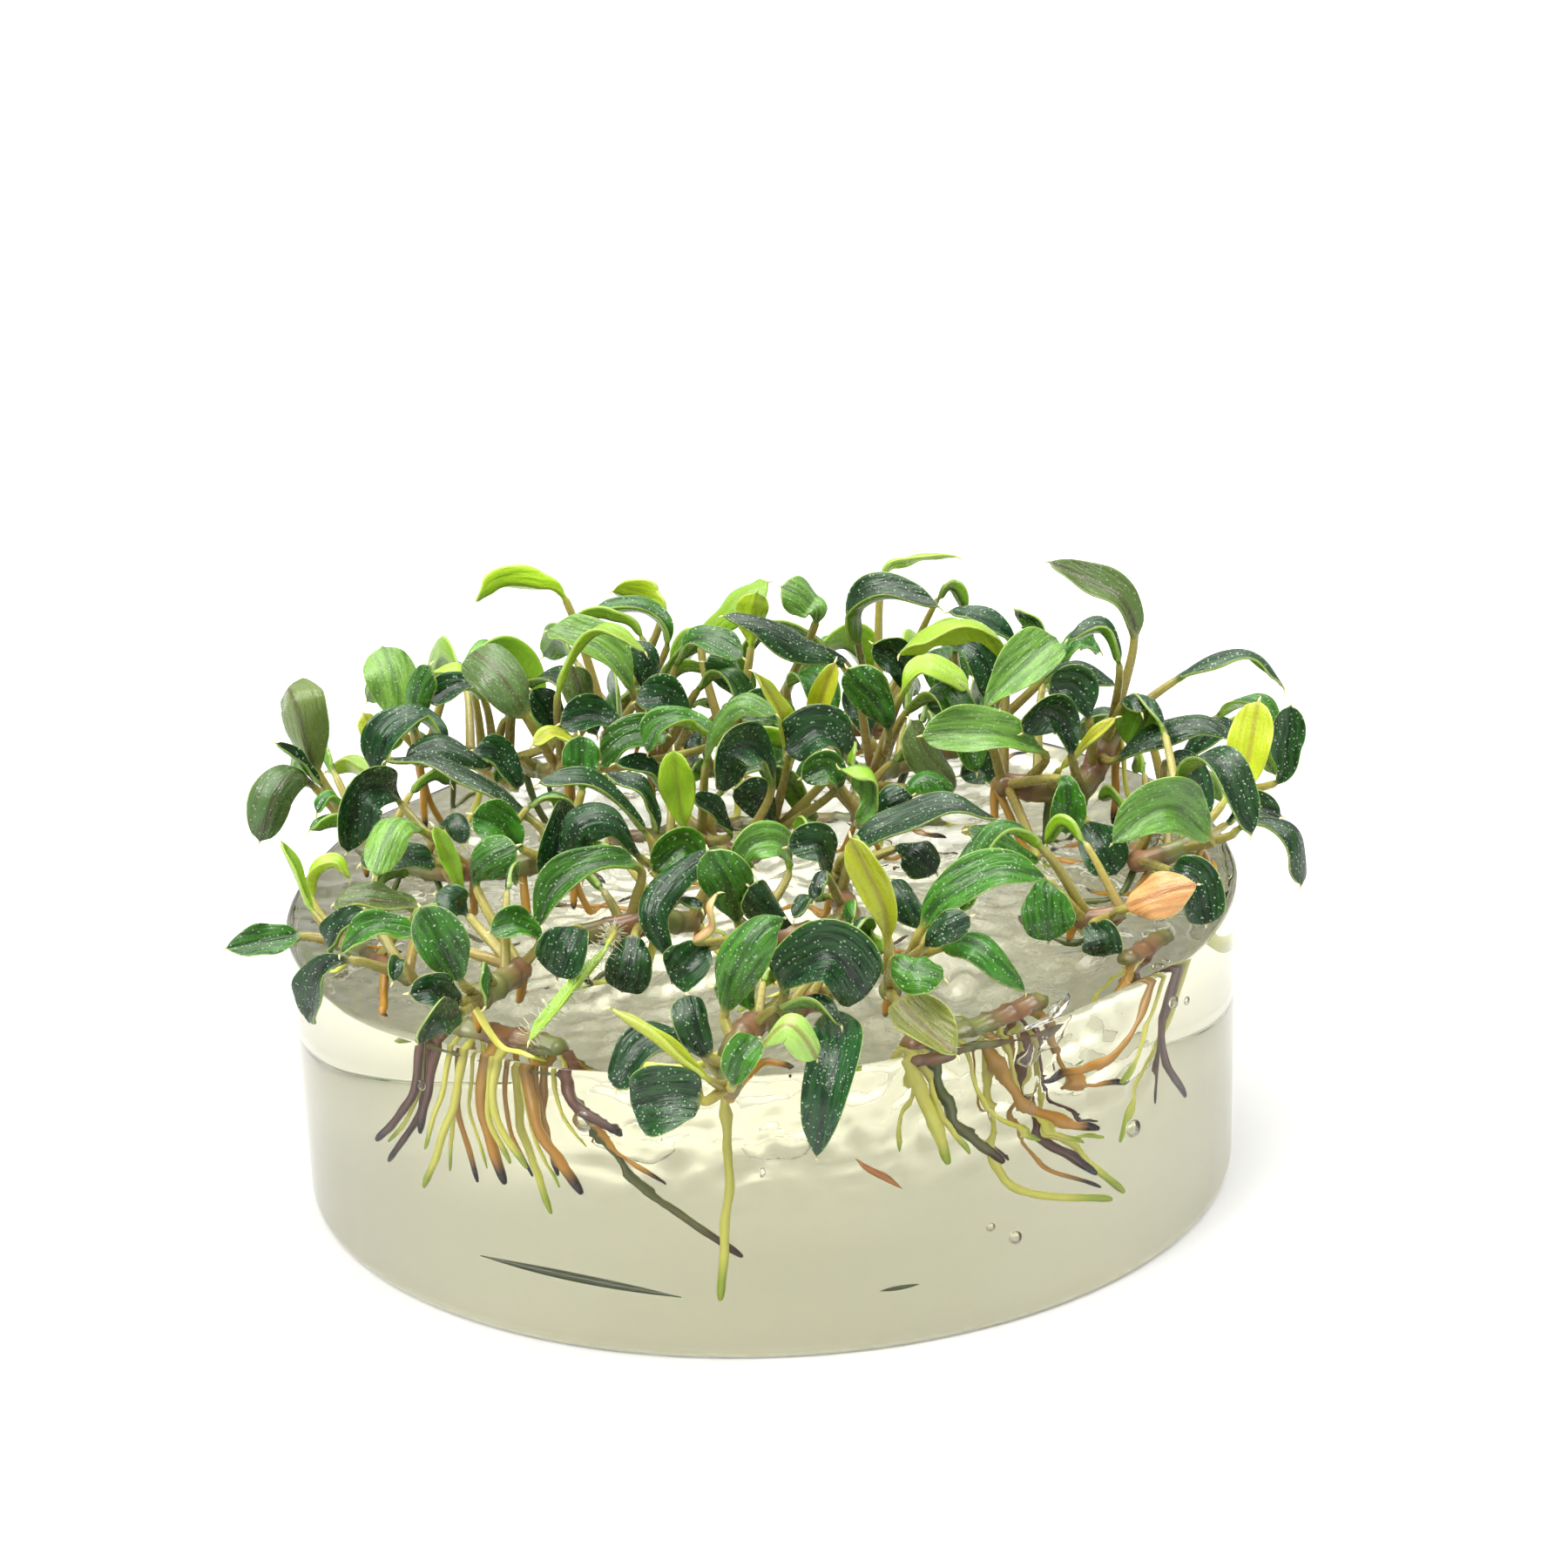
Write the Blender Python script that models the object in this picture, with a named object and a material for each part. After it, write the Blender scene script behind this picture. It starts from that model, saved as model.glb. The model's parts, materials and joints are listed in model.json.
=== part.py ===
"""Bucephalandra as it comes out of a culture cup: a puck of clear gel with a cushion of plantlets on it.

Millimetres are used throughout and turned into metres where a mesh is made. The origin is the
middle of the gel's flat underside, +Z is up and the front of the puck faces -Y.
"""

import math
import random

import bmesh
import bpy
from mathutils import Vector
from mathutils.bvhtree import BVHTree

MM = 0.001
UP = Vector((0, 0, 1))

# The gel puck: a low tapered disc, a little thicker at the back right
GEL_TOP_RADIUS = 42.2
GEL_FOOT_RADIUS = 41.8
GEL_HEIGHT = 26.0
GEL_TILT = 1.2
GEL_TILT_TOWARDS = math.radians(45)
GEL_LIP = 0.5
GEL_SIDES = 36
GEL_RINGS = (0.0, 0.5, 0.9)
GEL_BENDING = 1.34
GAP = 0.3

# Where leaves and stems are seen from the front: their places are read in a square picture of the
# puck, across and down in pixels, and "back" is the distance in mm behind the puck's middle
VIEW_FROM = Vector((2.4, -300.0, 135.8))
VIEW_DOWN = math.radians(18.6)
VIEW_ROLL = math.radians(2.2)
VIEW_MIDDLE = 900
VIEW_FOCAL = 4104

# Leaves
BLADE_THICKNESS = 0.6
STALK_THICKNESS = 1.1
BUD_OFFSET = 0.35
BUD_SPACING = 1.3
BUD_MARGIN = 0.9
FINE = 120
LOOSE_START = 2.0
LEAF_FINE = 200
BEND_SHARE = 0.75
SHORTEST_STALK = 12
BLUNT_SHAPE = (2.6, 1.0, 0.5)
POINTED_SHAPE = (2.83, 0.75, 0.75)
STALK_STEPS = 1
LOOSE_BLADE_STEPS = 4
SEEN_BLADE_STEPS = 3
DEEP_BLADE_STEPS = 2
TURN_STEPS = 12
LOOSE_TRIMS = (0, 1.0, 2.0, 3.0)
SEEN_MOVES = (
    (0, 0), (0, 0.4), (0.7, 0.2), (-0.7, 0.2), (0.7, 0.8), (-0.7, 0.8), (1.4, 0.4), (-1.4, 0.4),
    (1.4, 1.2), (-1.4, 1.2), (2.4, 0.8), (-2.4, 0.8), (0, 1.6), (3.2, 1.4), (-3.2, 1.4),
)
ROOT_POINTS = 3

# Crowns are the knots of the rhizomes that leaves grow from: across, down, back
CROWNS = {
    "west_rim": (412, 968, 6),
    "west_inner": (520, 1000, -6),
    "west_back": (478, 872, 18),
    "southwest_rim": (384, 1078, -13),
    "southwest_inner": (474, 1124, -24),
    "left_front": (542, 1150, -33),
    "left_front_inner": (604, 1108, -26),
    "mid_left_end": (652, 1078, -23),
    "mid_left": (722, 1062, -22),
    "mid_left_inner": (800, 1058, -17),
    "strap_left": (652, 985, -5),
    "strap_mid": (752, 1000, -10),
    "back_left": (560, 868, 22),
    "back_left_inner": (652, 895, 11),
    "front_knob": (838, 1262, -45),
    "front_rise": (842, 1200, -42.5),
    "front_red": (885, 1166, -36.5),
    "front_red_inner": (952, 1143, -30),
    "right_front": (1018, 1143, -33),
    "right_front_inner": (1046, 1098, -25),
    "middle": (965, 1066, -21),
    "middle_up": (958, 1000, -11),
    "middle_left": (850, 1072, -20),
    "mid_centre": (845, 985, -2),
    "mid_centre_left": (798, 962, 0),
    "centre_knob": (888, 958, 5),
    "centre_right": (990, 945, 3),
    "centre_far": (1000, 890, 15),
    "back_mid_left": (745, 888, 15),
    "back_mid": (850, 880, 20),
    "back_far_left": (690, 845, 28),
    "back_far": (880, 838, 32),
    "back_far_right": (1020, 835, 31),
    "back_right": (1130, 850, 22),
    "right_high": (1283, 822, 8),
    "right_bend": (1262, 868, 7),
    "right_low": (1240, 905, 5),
    "right_inner": (1190, 905, 4),
    "right_inner_end": (1140, 898, 4),
    "right_rim": (1376, 968, -7),
    "right_rim_inner": (1308, 990, -8),
    "right_back": (1340, 905, 14),
    "right_under": (1232, 1058, -19),
    "right_under_rim": (1290, 1050, -18),
}

# Plantlets: the crowns that each rhizome runs through, and its radius in mm
PLANTLETS = {
    "plantlet_west": (("west_rim", "west_inner", "strap_left"), 1.3),
    "plantlet_west_back": (("west_back", "back_left", "back_left_inner"), 1.1),
    "plantlet_southwest": (("southwest_rim", "southwest_inner"), 1.0),
    "plantlet_left_front": (("left_front", "left_front_inner"), 1.5),
    "plantlet_mid_left": (("mid_left_end", "mid_left", "mid_left_inner"), 1.3),
    "plantlet_front": (("front_knob", "front_rise", "front_red", "front_red_inner"), 1.3),
    "plantlet_right_front": (("right_front", "right_front_inner"), 1.2),
    "plantlet_middle": (("middle_left", "middle", "middle_up"), 1.3),
    "plantlet_centre": (("strap_mid", "mid_centre_left", "mid_centre", "centre_knob"), 1.3),
    "plantlet_centre_right": (("centre_right", "centre_far", "back_right"), 1.3),
    "plantlet_back": (("back_mid_left", "back_mid"), 1.2),
    "plantlet_back_far": (("back_far_left", "back_far", "back_far_right"), 1.2),
    "plantlet_right": (("right_high", "right_bend", "right_low", "right_inner", "right_inner_end"), 1.5),
    "plantlet_right_rim": (("right_rim", "right_rim_inner", "right_back"), 1.3),
    "plantlet_right_under": (("right_under", "right_under_rim"), 1.2),
}

# Leaves read from the front view. Each has its crown, its blade's points from the stalk's end to the
# tip (across, down, back), its width in mm, and the turn of its upper face: 0 faces the viewer,
# 90 the sky and 180 shows the viewer its underside
SEEN_LEAVES = {
    "wedge": ("west_rim", [(364, 885, 4), (352, 845, 3), (342, 806, 3), (338, 797, 6)], 4.4, 170),
    "rolled_west": ("west_rim", [(372, 905, 2), (345, 872, 1), (320, 852, 0)], 1.3, 60),
    "hanging_west": ("west_rim", [(362, 905, 3), (340, 890, 0), (316, 912, -3), (300, 966, -4)], 4.2, 30),
    "lime_west": ("west_rim", [(430, 905, 10), (408, 880, 12), (374, 882, 12)], 2.8, 60),
    "arched_west": ("west_back", [(512, 858, 10), (485, 822, 10), (445, 842, 8), (428, 893, 7)], 4.2, 65),
    "long_strap": ("strap_left", [(615, 945, -3), (560, 902, -2), (500, 872, -1), (444, 865, 0)], 3.4, 65),
    "round_west": ("west_inner", [(462, 925, 2), (445, 903, -1), (412, 915, -4), (402, 978, -5)], 4.4, 25),
    "pale_broad": ("west_back", [(462, 838, 17), (455, 790, 18), (440, 742, 20)], 5.6, 15),
    "grey_behind": ("west_back", [(475, 842, 14), (478, 800, 13), (488, 768, 12)], 3.2, 30),
    "yellow_west": ("west_back", [(446, 872, 17), (430, 845, 17), (420, 820, 17)], 2.6, 20),
    "lime_under": ("back_left", [(545, 800, 18), (530, 766, 17), (497, 765, 16)], 2.4, 110),
    "dark_arch": ("back_left", [(556, 808, 15), (530, 790, 14), (492, 806, 12)], 3.0, 60),
    "grey_wedge": ("back_left_inner", [(603, 822, 8), (580, 785, 8), (545, 742, 10)], 4.8, 20),
    "paddle_top": (
        "back_far_left", [(650, 690, 28), (615, 670, 27), (575, 668, 26), (545, 688, 24)], 3.4, 140,
    ),
    "pale_tongue": ("back_mid_left", [(727, 795, 9), (692, 745, 9), (630, 718, 10)], 4.6, 30),
    "bowed_lime": ("back_left_inner", [(640, 800, 5), (655, 755, 5), (690, 722, 5), (742, 740, 4)], 2.6, 100),
    "top_blue": ("back_far_left", [(765, 745, 22), (745, 700, 22), (680, 697, 21)], 2.8, 60),
    "top_lime": ("back_far_left", [(758, 715, 27), (748, 688, 28), (708, 672, 29)], 3.4, 120),
    "thin_lime_top": ("back_mid_left", [(738, 735, 17), (700, 706, 17), (655, 704, 17)], 2.0, 110),
    "pale_arch": ("back_mid_left", [(775, 768, 13), (803, 733, 12), (852, 752, 10)], 3.4, 80),
    "blue_diagonal": (
        "centre_far", [(975, 768, 13), (920, 740, 12), (870, 712, 12), (834, 700, 12)], 3.8, 50,
    ),
    "backlit": ("back_mid", [(862, 745, 20), (863, 710, 20), (868, 680, 20)], 3.4, 170),
    "pale_tip": ("back_mid", [(805, 745, 23), (835, 702, 23), (876, 665, 23)], 4.4, 40),
    "fan_top": ("back_far", [(936, 716, 27), (928, 692, 27), (905, 672, 26)], 4.2, 30),
    "arch_top": (
        "back_far_right", [(985, 740, 20), (982, 697, 19), (1020, 680, 18), (1078, 692, 17)], 4.2, 85,
    ),
    "lime_strap": ("back_far_right", [(1012, 668, 31), (1045, 642, 31), (1097, 632, 31)], 2.6, 110),
    "small_arch": ("back_far_right", [(1075, 690, 25), (1095, 674, 25), (1110, 698, 25)], 1.6, 90),
    "lime_arch": (
        "right_inner_end", [(1152, 762, 7), (1125, 722, 6), (1075, 722, 5), (1030, 745, 4)], 4.6, 125,
    ),
    "dark_top_right": ("back_right", [(1165, 755, 21), (1140, 716, 21), (1092, 699, 21)], 3.6, 60),
    "dark_hanging_top": (
        "back_right", [(1096, 752, 16), (1116, 744, 14), (1136, 772, 13), (1142, 806, 12)], 3.2, 25,
    ),
    "pale_pointed": (
        "right_inner_end", [(1132, 817, 1), (1156, 782, 2), (1190, 748, 4), (1214, 728, 6)], 5.0, 10,
    ),
    "tall_leaf": ("right_high", [(1302, 735, 9), (1290, 690, 9), (1250, 665, 10), (1206, 642, 11)], 3.8, 45),
    "dark_bow": ("right_high", [(1285, 765, 4), (1268, 722, 4), (1226, 727, 4)], 2.4, 80),
    "low_bow": ("right_inner", [(1197, 790, 9), (1232, 763, 8), (1281, 781, 7)], 2.6, 80),
    "reaching_strap": (
        "right_high", [(1345, 784, 8), (1395, 755, 8), (1440, 752, 8), (1479, 783, 8)], 3.2, 75,
    ),
    "grey_strap": ("right_bend", [(1280, 873, 3), (1320, 845, 2), (1375, 829, 1), (1416, 843, 0)], 3.4, 55),
    "pale_spade": (
        "right_inner", [(1200, 866, -1), (1150, 842, -3), (1105, 838, -4), (1062, 840, -5)], 4.6, 40,
    ),
    "dark_round_right": (
        "right_low", [(1230, 868, -1), (1220, 828, -1), (1200, 818, -2), (1178, 842, -3)], 3.9, 25,
    ),
    "thin_yellow": ("right_inner", [(1215, 885, 0), (1245, 855, 0), (1277, 822, 0)], 1.4, 60),
    "small_hanging": ("right_inner", [(1216, 894, -5), (1226, 915, -6.5), (1224, 957, -7)], 3.4, 5),
    "dark_low_right": ("right_low", [(1248, 945, -4), (1262, 968, -7), (1282, 1003, -8)], 4.4, 10),
    "pale_big": (
        "right_rim", [(1390, 965, -9), (1352, 928, -12), (1312, 936, -13), (1280, 968, -14)], 5.2, 30,
    ),
    "striped_dark": (
        "right_back", [(1338, 876, 3), (1358, 872, 1), (1372, 895, 0), (1379, 940, -2)], 3.2, 20,
    ),
    "yellow_big": ("right_rim", [(1402, 925, -6), (1430, 880, -5), (1442, 806, -4)], 4.2, 15),
    "far_right": ("right_back", [(1462, 900, 6), (1478, 850, 6), (1480, 812, 6)], 3.4, 20),
    "dark_right_rim": ("right_rim", [(1405, 948, 1), (1432, 926, 0), (1470, 935, -1)], 3.0, 60),
    "hooked_right": (
        "right_rim", [(1402, 964, -9), (1440, 942, -10), (1485, 955, -11), (1498, 1014, -12)], 3.8, 75,
    ),
    "twisted_yellow": ("centre_knob", [(903, 880, 0), (900, 830, -1), (873, 773, -2)], 2.5, 50),
    "lime_tall": ("centre_right", [(942, 866, 2), (938, 820, 2), (955, 764, 1)], 2.3, 20),
    "curved_green": (
        "mid_centre_left", [(810, 880, -3), (820, 835, -4), (850, 805, -5), (889, 816, -6)], 2.8, 65,
    ),
    "curled_dark": ("mid_centre", [(886, 905, -3), (868, 858, -5), (838, 865, -8), (838, 908, -8)], 3.8, 65),
    "lime_spade": ("mid_centre_left", [(788, 950, -5), (779, 910, -6), (775, 868, -7)], 3.4, 5),
    "long_arch": ("strap_mid", [(745, 962, -10), (715, 922, -11), (670, 896, -12), (620, 897, -13)], 2.6, 60),
    "dark_big": ("strap_mid", [(735, 985, -15), (705, 943, -16), (665, 945, -17), (642, 982, -17)], 4.0, 50),
    "blue_strap": (
        "middle_up", [(968, 985, -15), (1010, 955, -16), (1085, 926, -16), (1145, 930, -16)], 4.4, 50,
    ),
    "green_right": ("right_inner_end", [(1190, 985, -8), (1150, 964, -9), (1113, 951, -9)], 3.2, 45),
    "paddle_left": ("southwest_rim", [(347, 1075, -14), (305, 1080, -15), (260, 1087, -16)], 3.2, 25),
    "rolled_left": ("southwest_rim", [(362, 1050, -12), (345, 1010, -11), (326, 966, -10)], 1.5, 60),
    "ring_curl": (
        "southwest_rim", [(360, 1035, -9), (360, 1003, -9), (384, 989, -9), (404, 1004, -9)], 1.7, 90,
    ),
    "dark_wavy": ("west_inner", [(500, 990, -10), (460, 984, -12), (416, 988, -13)], 3.6, 40),
    "grey_purple": ("southwest_inner", [(478, 1048, -17), (440, 1035, -18), (385, 1030, -18)], 3.0, 45),
    "dark_blue": ("southwest_inner", [(425, 1056, -20), (395, 1060, -20), (370, 1093, -20)], 3.4, 40),
    "level_strap": ("left_front_inner", [(482, 1075, -25), (430, 1064, -26), (388, 1090, -27)], 3.0, 40),
    "bright_speckled": ("left_front", [(530, 1128, -36), (512, 1090, -38), (485, 1045, -38)], 4.4, 5),
    "dark_pair_upper": ("left_front", [(528, 1150, -37), (500, 1137, -40), (474, 1142, -41)], 3.0, 15),
    "dark_pair_lower": ("left_front", [(530, 1162, -38), (505, 1168, -43), (486, 1201, -44)], 3.2, 15),
    "rim_leaf": ("southwest_inner", [(405, 1103, -24), (368, 1112, -24), (348, 1174, -22)], 3.6, 30),
    "lime_thin": ("west_inner", [(530, 1025, -14), (515, 985, -15), (499, 950, -15)], 1.8, 10),
    "speckled_small": ("left_front_inner", [(548, 1022, -18), (555, 992, -19), (588, 974, -20)], 3.8, 20),
    "dark_small": ("left_front_inner", [(538, 1052, -24), (520, 1034, -25), (502, 1026, -25)], 2.8, 20),
    "pale_bow": ("mid_left", [(735, 998, -21), (690, 990, -23), (640, 1015, -25), (612, 1065, -26)], 3.6, 50),
    "dark_wet": ("mid_left_end", [(662, 1066, -29), (650, 1088, -31.5), (638, 1122, -32)], 4.5, 15),
    "dark_tongue": ("mid_left", [(728, 1076, -26), (722, 1108, -28), (712, 1140, -28)], 4.0, 5),
    "dark_sickle": (
        "mid_left_inner", [(830, 975, -18), (775, 1005, -23), (750, 1050, -26), (772, 1105, -27)], 3.2, 40,
    ),
    "green_round": ("middle_left", [(847, 1060, -21), (838, 1020, -23), (815, 985, -24)], 4.8, 5),
    "dark_disc": ("middle_left", [(812, 1088, -29), (792, 1106, -31), (768, 1128, -31)], 4.2, 10),
    "big_green": (
        "front_rise", [(832, 1165, -41), (846, 1110, -43), (878, 1066, -43), (905, 1052, -42)], 4.2, 10,
    ),
    "big_dark_arch": (
        "front_red", [(896, 1165, -37), (908, 1115, -39), (955, 1096, -40), (1003, 1140, -40)], 5.2, 35,
    ),
    "front_yellow": ("right_front", [(1020, 1108, -35), (1014, 1045, -37), (978, 970, -37)], 3.0, 5),
    "small_spade": ("right_front", [(1026, 1102, -38), (1046, 1114, -40), (1080, 1118, -41)], 3.8, 10),
    "long_right": (
        "right_front_inner", [(1052, 1078, -29), (1086, 1030, -30), (1145, 998, -30), (1202, 1003, -29)],
        4.2, 40,
    ),
    "fold_right": ("right_front_inner", [(1062, 1086, -33), (1085, 1066, -34), (1112, 1052, -34)], 2.8, 20),
    "dark_right": ("right_front_inner", [(1080, 1088, -30), (1122, 1086, -33), (1180, 1136, -34)], 3.2, 40),
    "heart": ("right_under", [(1204, 1014, -23), (1201, 1045, -25), (1206, 1079, -26)], 4.9, 5),
    "olive_dead": ("right_front", [(1030, 1150, -37), (1060, 1176, -40), (1098, 1206, -42)], 4.6, 25),
    "orange_dead": ("right_under_rim", [(1268, 1054, -21), (1312, 1034, -23), (1368, 1012, -24)], 4.2, 20),
    "dark_hook": ("right_rim_inner", [(1344, 1000, -18), (1374, 1010, -20), (1385, 1060, -21)], 3.6, 30),
    "front_left_arch": ("front_knob", [(800, 1205, -43), (745, 1195, -44), (705, 1245, -46)], 3.4, 45),
    "front_hanging": ("front_knob", [(828, 1266, -46.5), (780, 1258, -48), (724, 1266, -47.5)], 5.4, 5),
    "yellow_spear": ("front_knob", [(815, 1240, -47), (760, 1195, -48), (704, 1154, -47)], 1.5, 60),
    "front_upright": ("front_knob", [(814, 1212, -45), (797, 1180, -45), (792, 1143, -44)], 3.0, 10),
    "front_small": ("front_knob", [(841, 1246, -48), (850, 1215, -49), (872, 1190, -48)], 3.0, 10),
    "lime_brown_rib": ("front_rise", [(874, 1200, -46), (906, 1178, -47), (940, 1215, -47)], 3.0, 40),
    "hook_mid": ("back_left_inner", [(812, 858, 1), (790, 828, 0), (755, 832, -1), (738, 858, -2)], 3.0, 70),
    "green_mid": ("back_left_inner", [(690, 880, 4), (718, 850, 3), (762, 836, 3)], 4.2, 45),
    "green_upright": ("strap_left", [(668, 908, -6), (667, 876, -6), (665, 847, -6)], 3.6, 0),
    "yellow_low": ("back_left_inner", [(660, 858, 4), (636, 842, 4), (611, 850, 3)], 1.9, 60),
    "behind_strap": ("back_left", [(560, 880, 8), (512, 856, 7), (466, 862, 6)], 3.6, 50),
    "dark_drop": ("strap_left", [(600, 975, -8), (575, 948, -9), (545, 935, -10)], 4.2, 30),
    "grey_vertical": (
        "strap_left", [(662, 940, -9), (650, 936, -12), (640, 970, -14), (634, 1012, -15)], 4.0, 10,
    ),
    "speckled_mid": ("strap_mid", [(800, 1004, -15), (785, 972, -16), (750, 998, -17)], 3.6, 45),
    "dark_block": ("centre_knob", [(965, 872, 1), (940, 838, 0), (905, 862, -1)], 4.4, 40),
    "green_fan": ("centre_far", [(1020, 838, 8), (1004, 802, 7), (978, 772, 6)], 4.2, 10),
    "lime_fold": ("centre_far", [(1034, 800, 9), (1062, 766, 9), (1112, 790, 8)], 3.6, 60),
    "cup_small": ("centre_knob", [(958, 908, -3), (950, 882, -4), (924, 892, -5)], 3.2, 45),
    "round_pale": (
        "centre_right", [(985, 945, -5), (1001, 920, -6), (994, 890, -7), (966, 893, -8)], 3.4, 30,
    ),
    "dark_gap": ("centre_right", [(1012, 950, -3), (1022, 926, -4), (1046, 914, -4)], 3.4, 20),
    "dark_shelf": ("centre_right", [(1030, 918, 1), (1058, 894, 1), (1094, 906, 0)], 3.2, 50),
    "dark_droplet": ("middle_up", [(1026, 975, -12), (1050, 980, -14), (1074, 998, -15)], 3.8, 20),
    "small_top": ("back_right", [(1180, 748, 22), (1188, 716, 22), (1164, 706, 22)], 3.4, 30),
    "green_top": ("back_right", [(1216, 762, 19), (1236, 736, 19), (1264, 744, 19)], 3.6, 50),
    "dark_blue_right": ("right_bend", [(1250, 826, 3), (1234, 792, 3), (1208, 792, 2)], 4.2, 30),
    "curl_pale": (
        "middle_left", [(905, 1004, -14), (896, 966, -16), (864, 968, -18), (846, 992, -19)], 3.4, 60,
    ),
    "grey_curl": ("middle_up", [(952, 1004, -16), (940, 968, -18), (908, 974, -19)], 3.6, 45),
    "dark_shadow": ("right_under_rim", [(1254, 1064, -23), (1264, 1082, -25), (1266, 1107, -25)], 3.6, 5),
    "dark_hanging": (
        "front_red_inner", [(955, 1160, -37), (962, 1200, -44), (947, 1262, -47), (932, 1334, -47)], 4.4, 5,
    ),
    "hairy_shoot": ("mid_left", [(700, 1080, -28), (655, 1136, -33), (606, 1190, -37)], 1.3, 60),
    "dead_curl": (
        "middle_left", [(800, 1082, -31), (816, 1062, -32), (812, 1040, -32), (822, 1026, -31)], 1.3, 60,
    ),
    "deep_left": ("back_left_inner", [(714, 846, 6), (682, 822, 5), (644, 828, 4)], 3.6, 50),
    "deep_purple": ("back_left_inner", [(674, 828, 8), (666, 796, 8), (659, 766, 8)], 3.2, 20),
    "deep_blue": ("back_left", [(640, 850, 14), (628, 815, 13), (612, 793, 13)], 3.4, 20),
    "deep_round": ("back_mid_left", [(748, 800, 13), (742, 765, 13), (733, 738, 13)], 3.2, 10),
    "deep_fold": ("back_mid_left", [(788, 836, 9), (766, 804, 7), (734, 802, 6)], 4.2, 50),
    "deep_stalk_side": ("back_mid", [(850, 806, 16), (836, 770, 15), (814, 762, 14)], 3.4, 30),
    "deep_band": ("centre_knob", [(912, 838, 8), (882, 814, 7), (846, 814, 6)], 3.4, 50),
    "deep_under_curl": ("mid_centre", [(882, 955, 1), (872, 918, 0), (848, 908, -1)], 3.8, 30),
    "deep_narrow": ("mid_centre_left", [(838, 960, -3), (822, 932, -4), (798, 914, -5)], 2.6, 50),
    "deep_long": ("strap_mid", [(756, 962, -8), (742, 912, -8), (700, 884, -8)], 2.6, 60),
    "deep_long_back": ("mid_centre_left", [(772, 920, 2), (748, 886, 2), (712, 872, 1)], 2.6, 60),
    "deep_small_green": ("left_front_inner", [(620, 1080, -27), (594, 1060, -28), (566, 1066, -29)], 2.8, 40),
    "deep_square": ("back_far_right", [(1036, 792, 24), (1030, 756, 23), (1008, 742, 22)], 3.8, 30),
    "deep_upright": ("centre_far", [(1000, 850, 16), (990, 815, 17), (984, 780, 18)], 3.6, 15),
    "deep_right": ("back_right", [(1106, 840, 12), (1092, 808, 11), (1064, 802, 10)], 3.6, 40),
    "deep_brown": ("centre_far", [(1092, 906, 6), (1064, 866, 5), (1050, 828, 5)], 4.0, 20),
    "deep_behind_stem": ("back_right", [(1152, 905, 13), (1130, 882, 12), (1106, 888, 11)], 3.4, 40),
    "deep_right_back": ("right_back", [(1352, 880, 9), (1382, 838, 9), (1412, 822, 9)], 3.4, 50),
    "deep_far_left": ("back_left", [(592, 905, 10), (570, 868, 9), (545, 860, 9)], 3.4, 40),
    "deep_front": ("middle", [(912, 1066, -21), (884, 1044, -22), (862, 1018, -23)], 3.6, 30),
    "deep_behind_green": ("front_red", [(866, 1160, -36), (852, 1134, -36), (826, 1134, -37)], 3.4, 30),
    "deep_mid_right": (
        "right_front_inner", [(1062, 1072, -22), (1044, 1040, -21), (1028, 1008, -20)], 3.4, 20,
    ),
}

# The leaves that are solids of their own. The others are fused to the plantlet they grow from
LOOSE_LEAVES = (
    "long_strap", "round_west", "pale_broad", "paddle_top", "pale_tongue", "bowed_lime",
    "blue_diagonal", "arch_top", "lime_arch", "pale_pointed", "tall_leaf", "reaching_strap", "pale_spade",
    "pale_big", "yellow_big", "hooked_right", "twisted_yellow", "curved_green", "curled_dark",
    "long_arch", "dark_big", "blue_strap", "paddle_left", "level_strap", "bright_speckled", "rim_leaf",
    "pale_bow", "dark_sickle", "big_green", "big_dark_arch", "front_yellow", "long_right",
    "front_hanging", "dark_hanging", "orange_dead",
)

# Leaves deep in the cushion, whose blades have fewer sections
DEEP_LEAVES = (
    "deep_left", "deep_purple", "deep_blue", "deep_round", "deep_fold", "deep_stalk_side", "deep_band",
    "deep_under_curl", "deep_narrow", "deep_long", "deep_long_back", "deep_small_green", "deep_square",
    "deep_upright", "deep_right", "deep_brown", "deep_behind_stem", "deep_right_back", "deep_far_left",
    "deep_front", "deep_behind_green", "deep_mid_right",
)

# Leaves whose blades are widest at the middle and run to a point
POINTED_LEAVES = (
    "blue_strap", "long_right", "long_strap", "blue_diagonal", "reaching_strap", "grey_strap", "arch_top",
    "lime_strap", "tall_leaf", "dark_right", "dark_hanging", "level_strap", "paddle_left", "olive_dead",
    "pale_big", "dark_sickle", "big_green", "pale_bow", "twisted_yellow", "yellow_spear", "orange_dead",
)

# Leaves that only show from the sides, the back and above: how many each crown grows
HIDDEN_LEAVES = {
    "west_rim": 1, "west_inner": 1, "west_back": 2, "back_left": 3, "mid_centre_left": 1, "back_mid_left": 1,
    "back_mid": 1, "back_far_left": 4, "back_far": 4, "back_far_right": 4, "back_right": 2, "right_back": 3,
    "right_rim": 1, "right_rim_inner": 1, "right_under": 2, "centre_far": 1, "centre_right": 1,
}
HIDDEN_LENGTH = (9, 15)
HIDDEN_WIDTH = (3.2, 4.8)
HIDDEN_STALK = (3, 7)
SEED = 11

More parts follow.
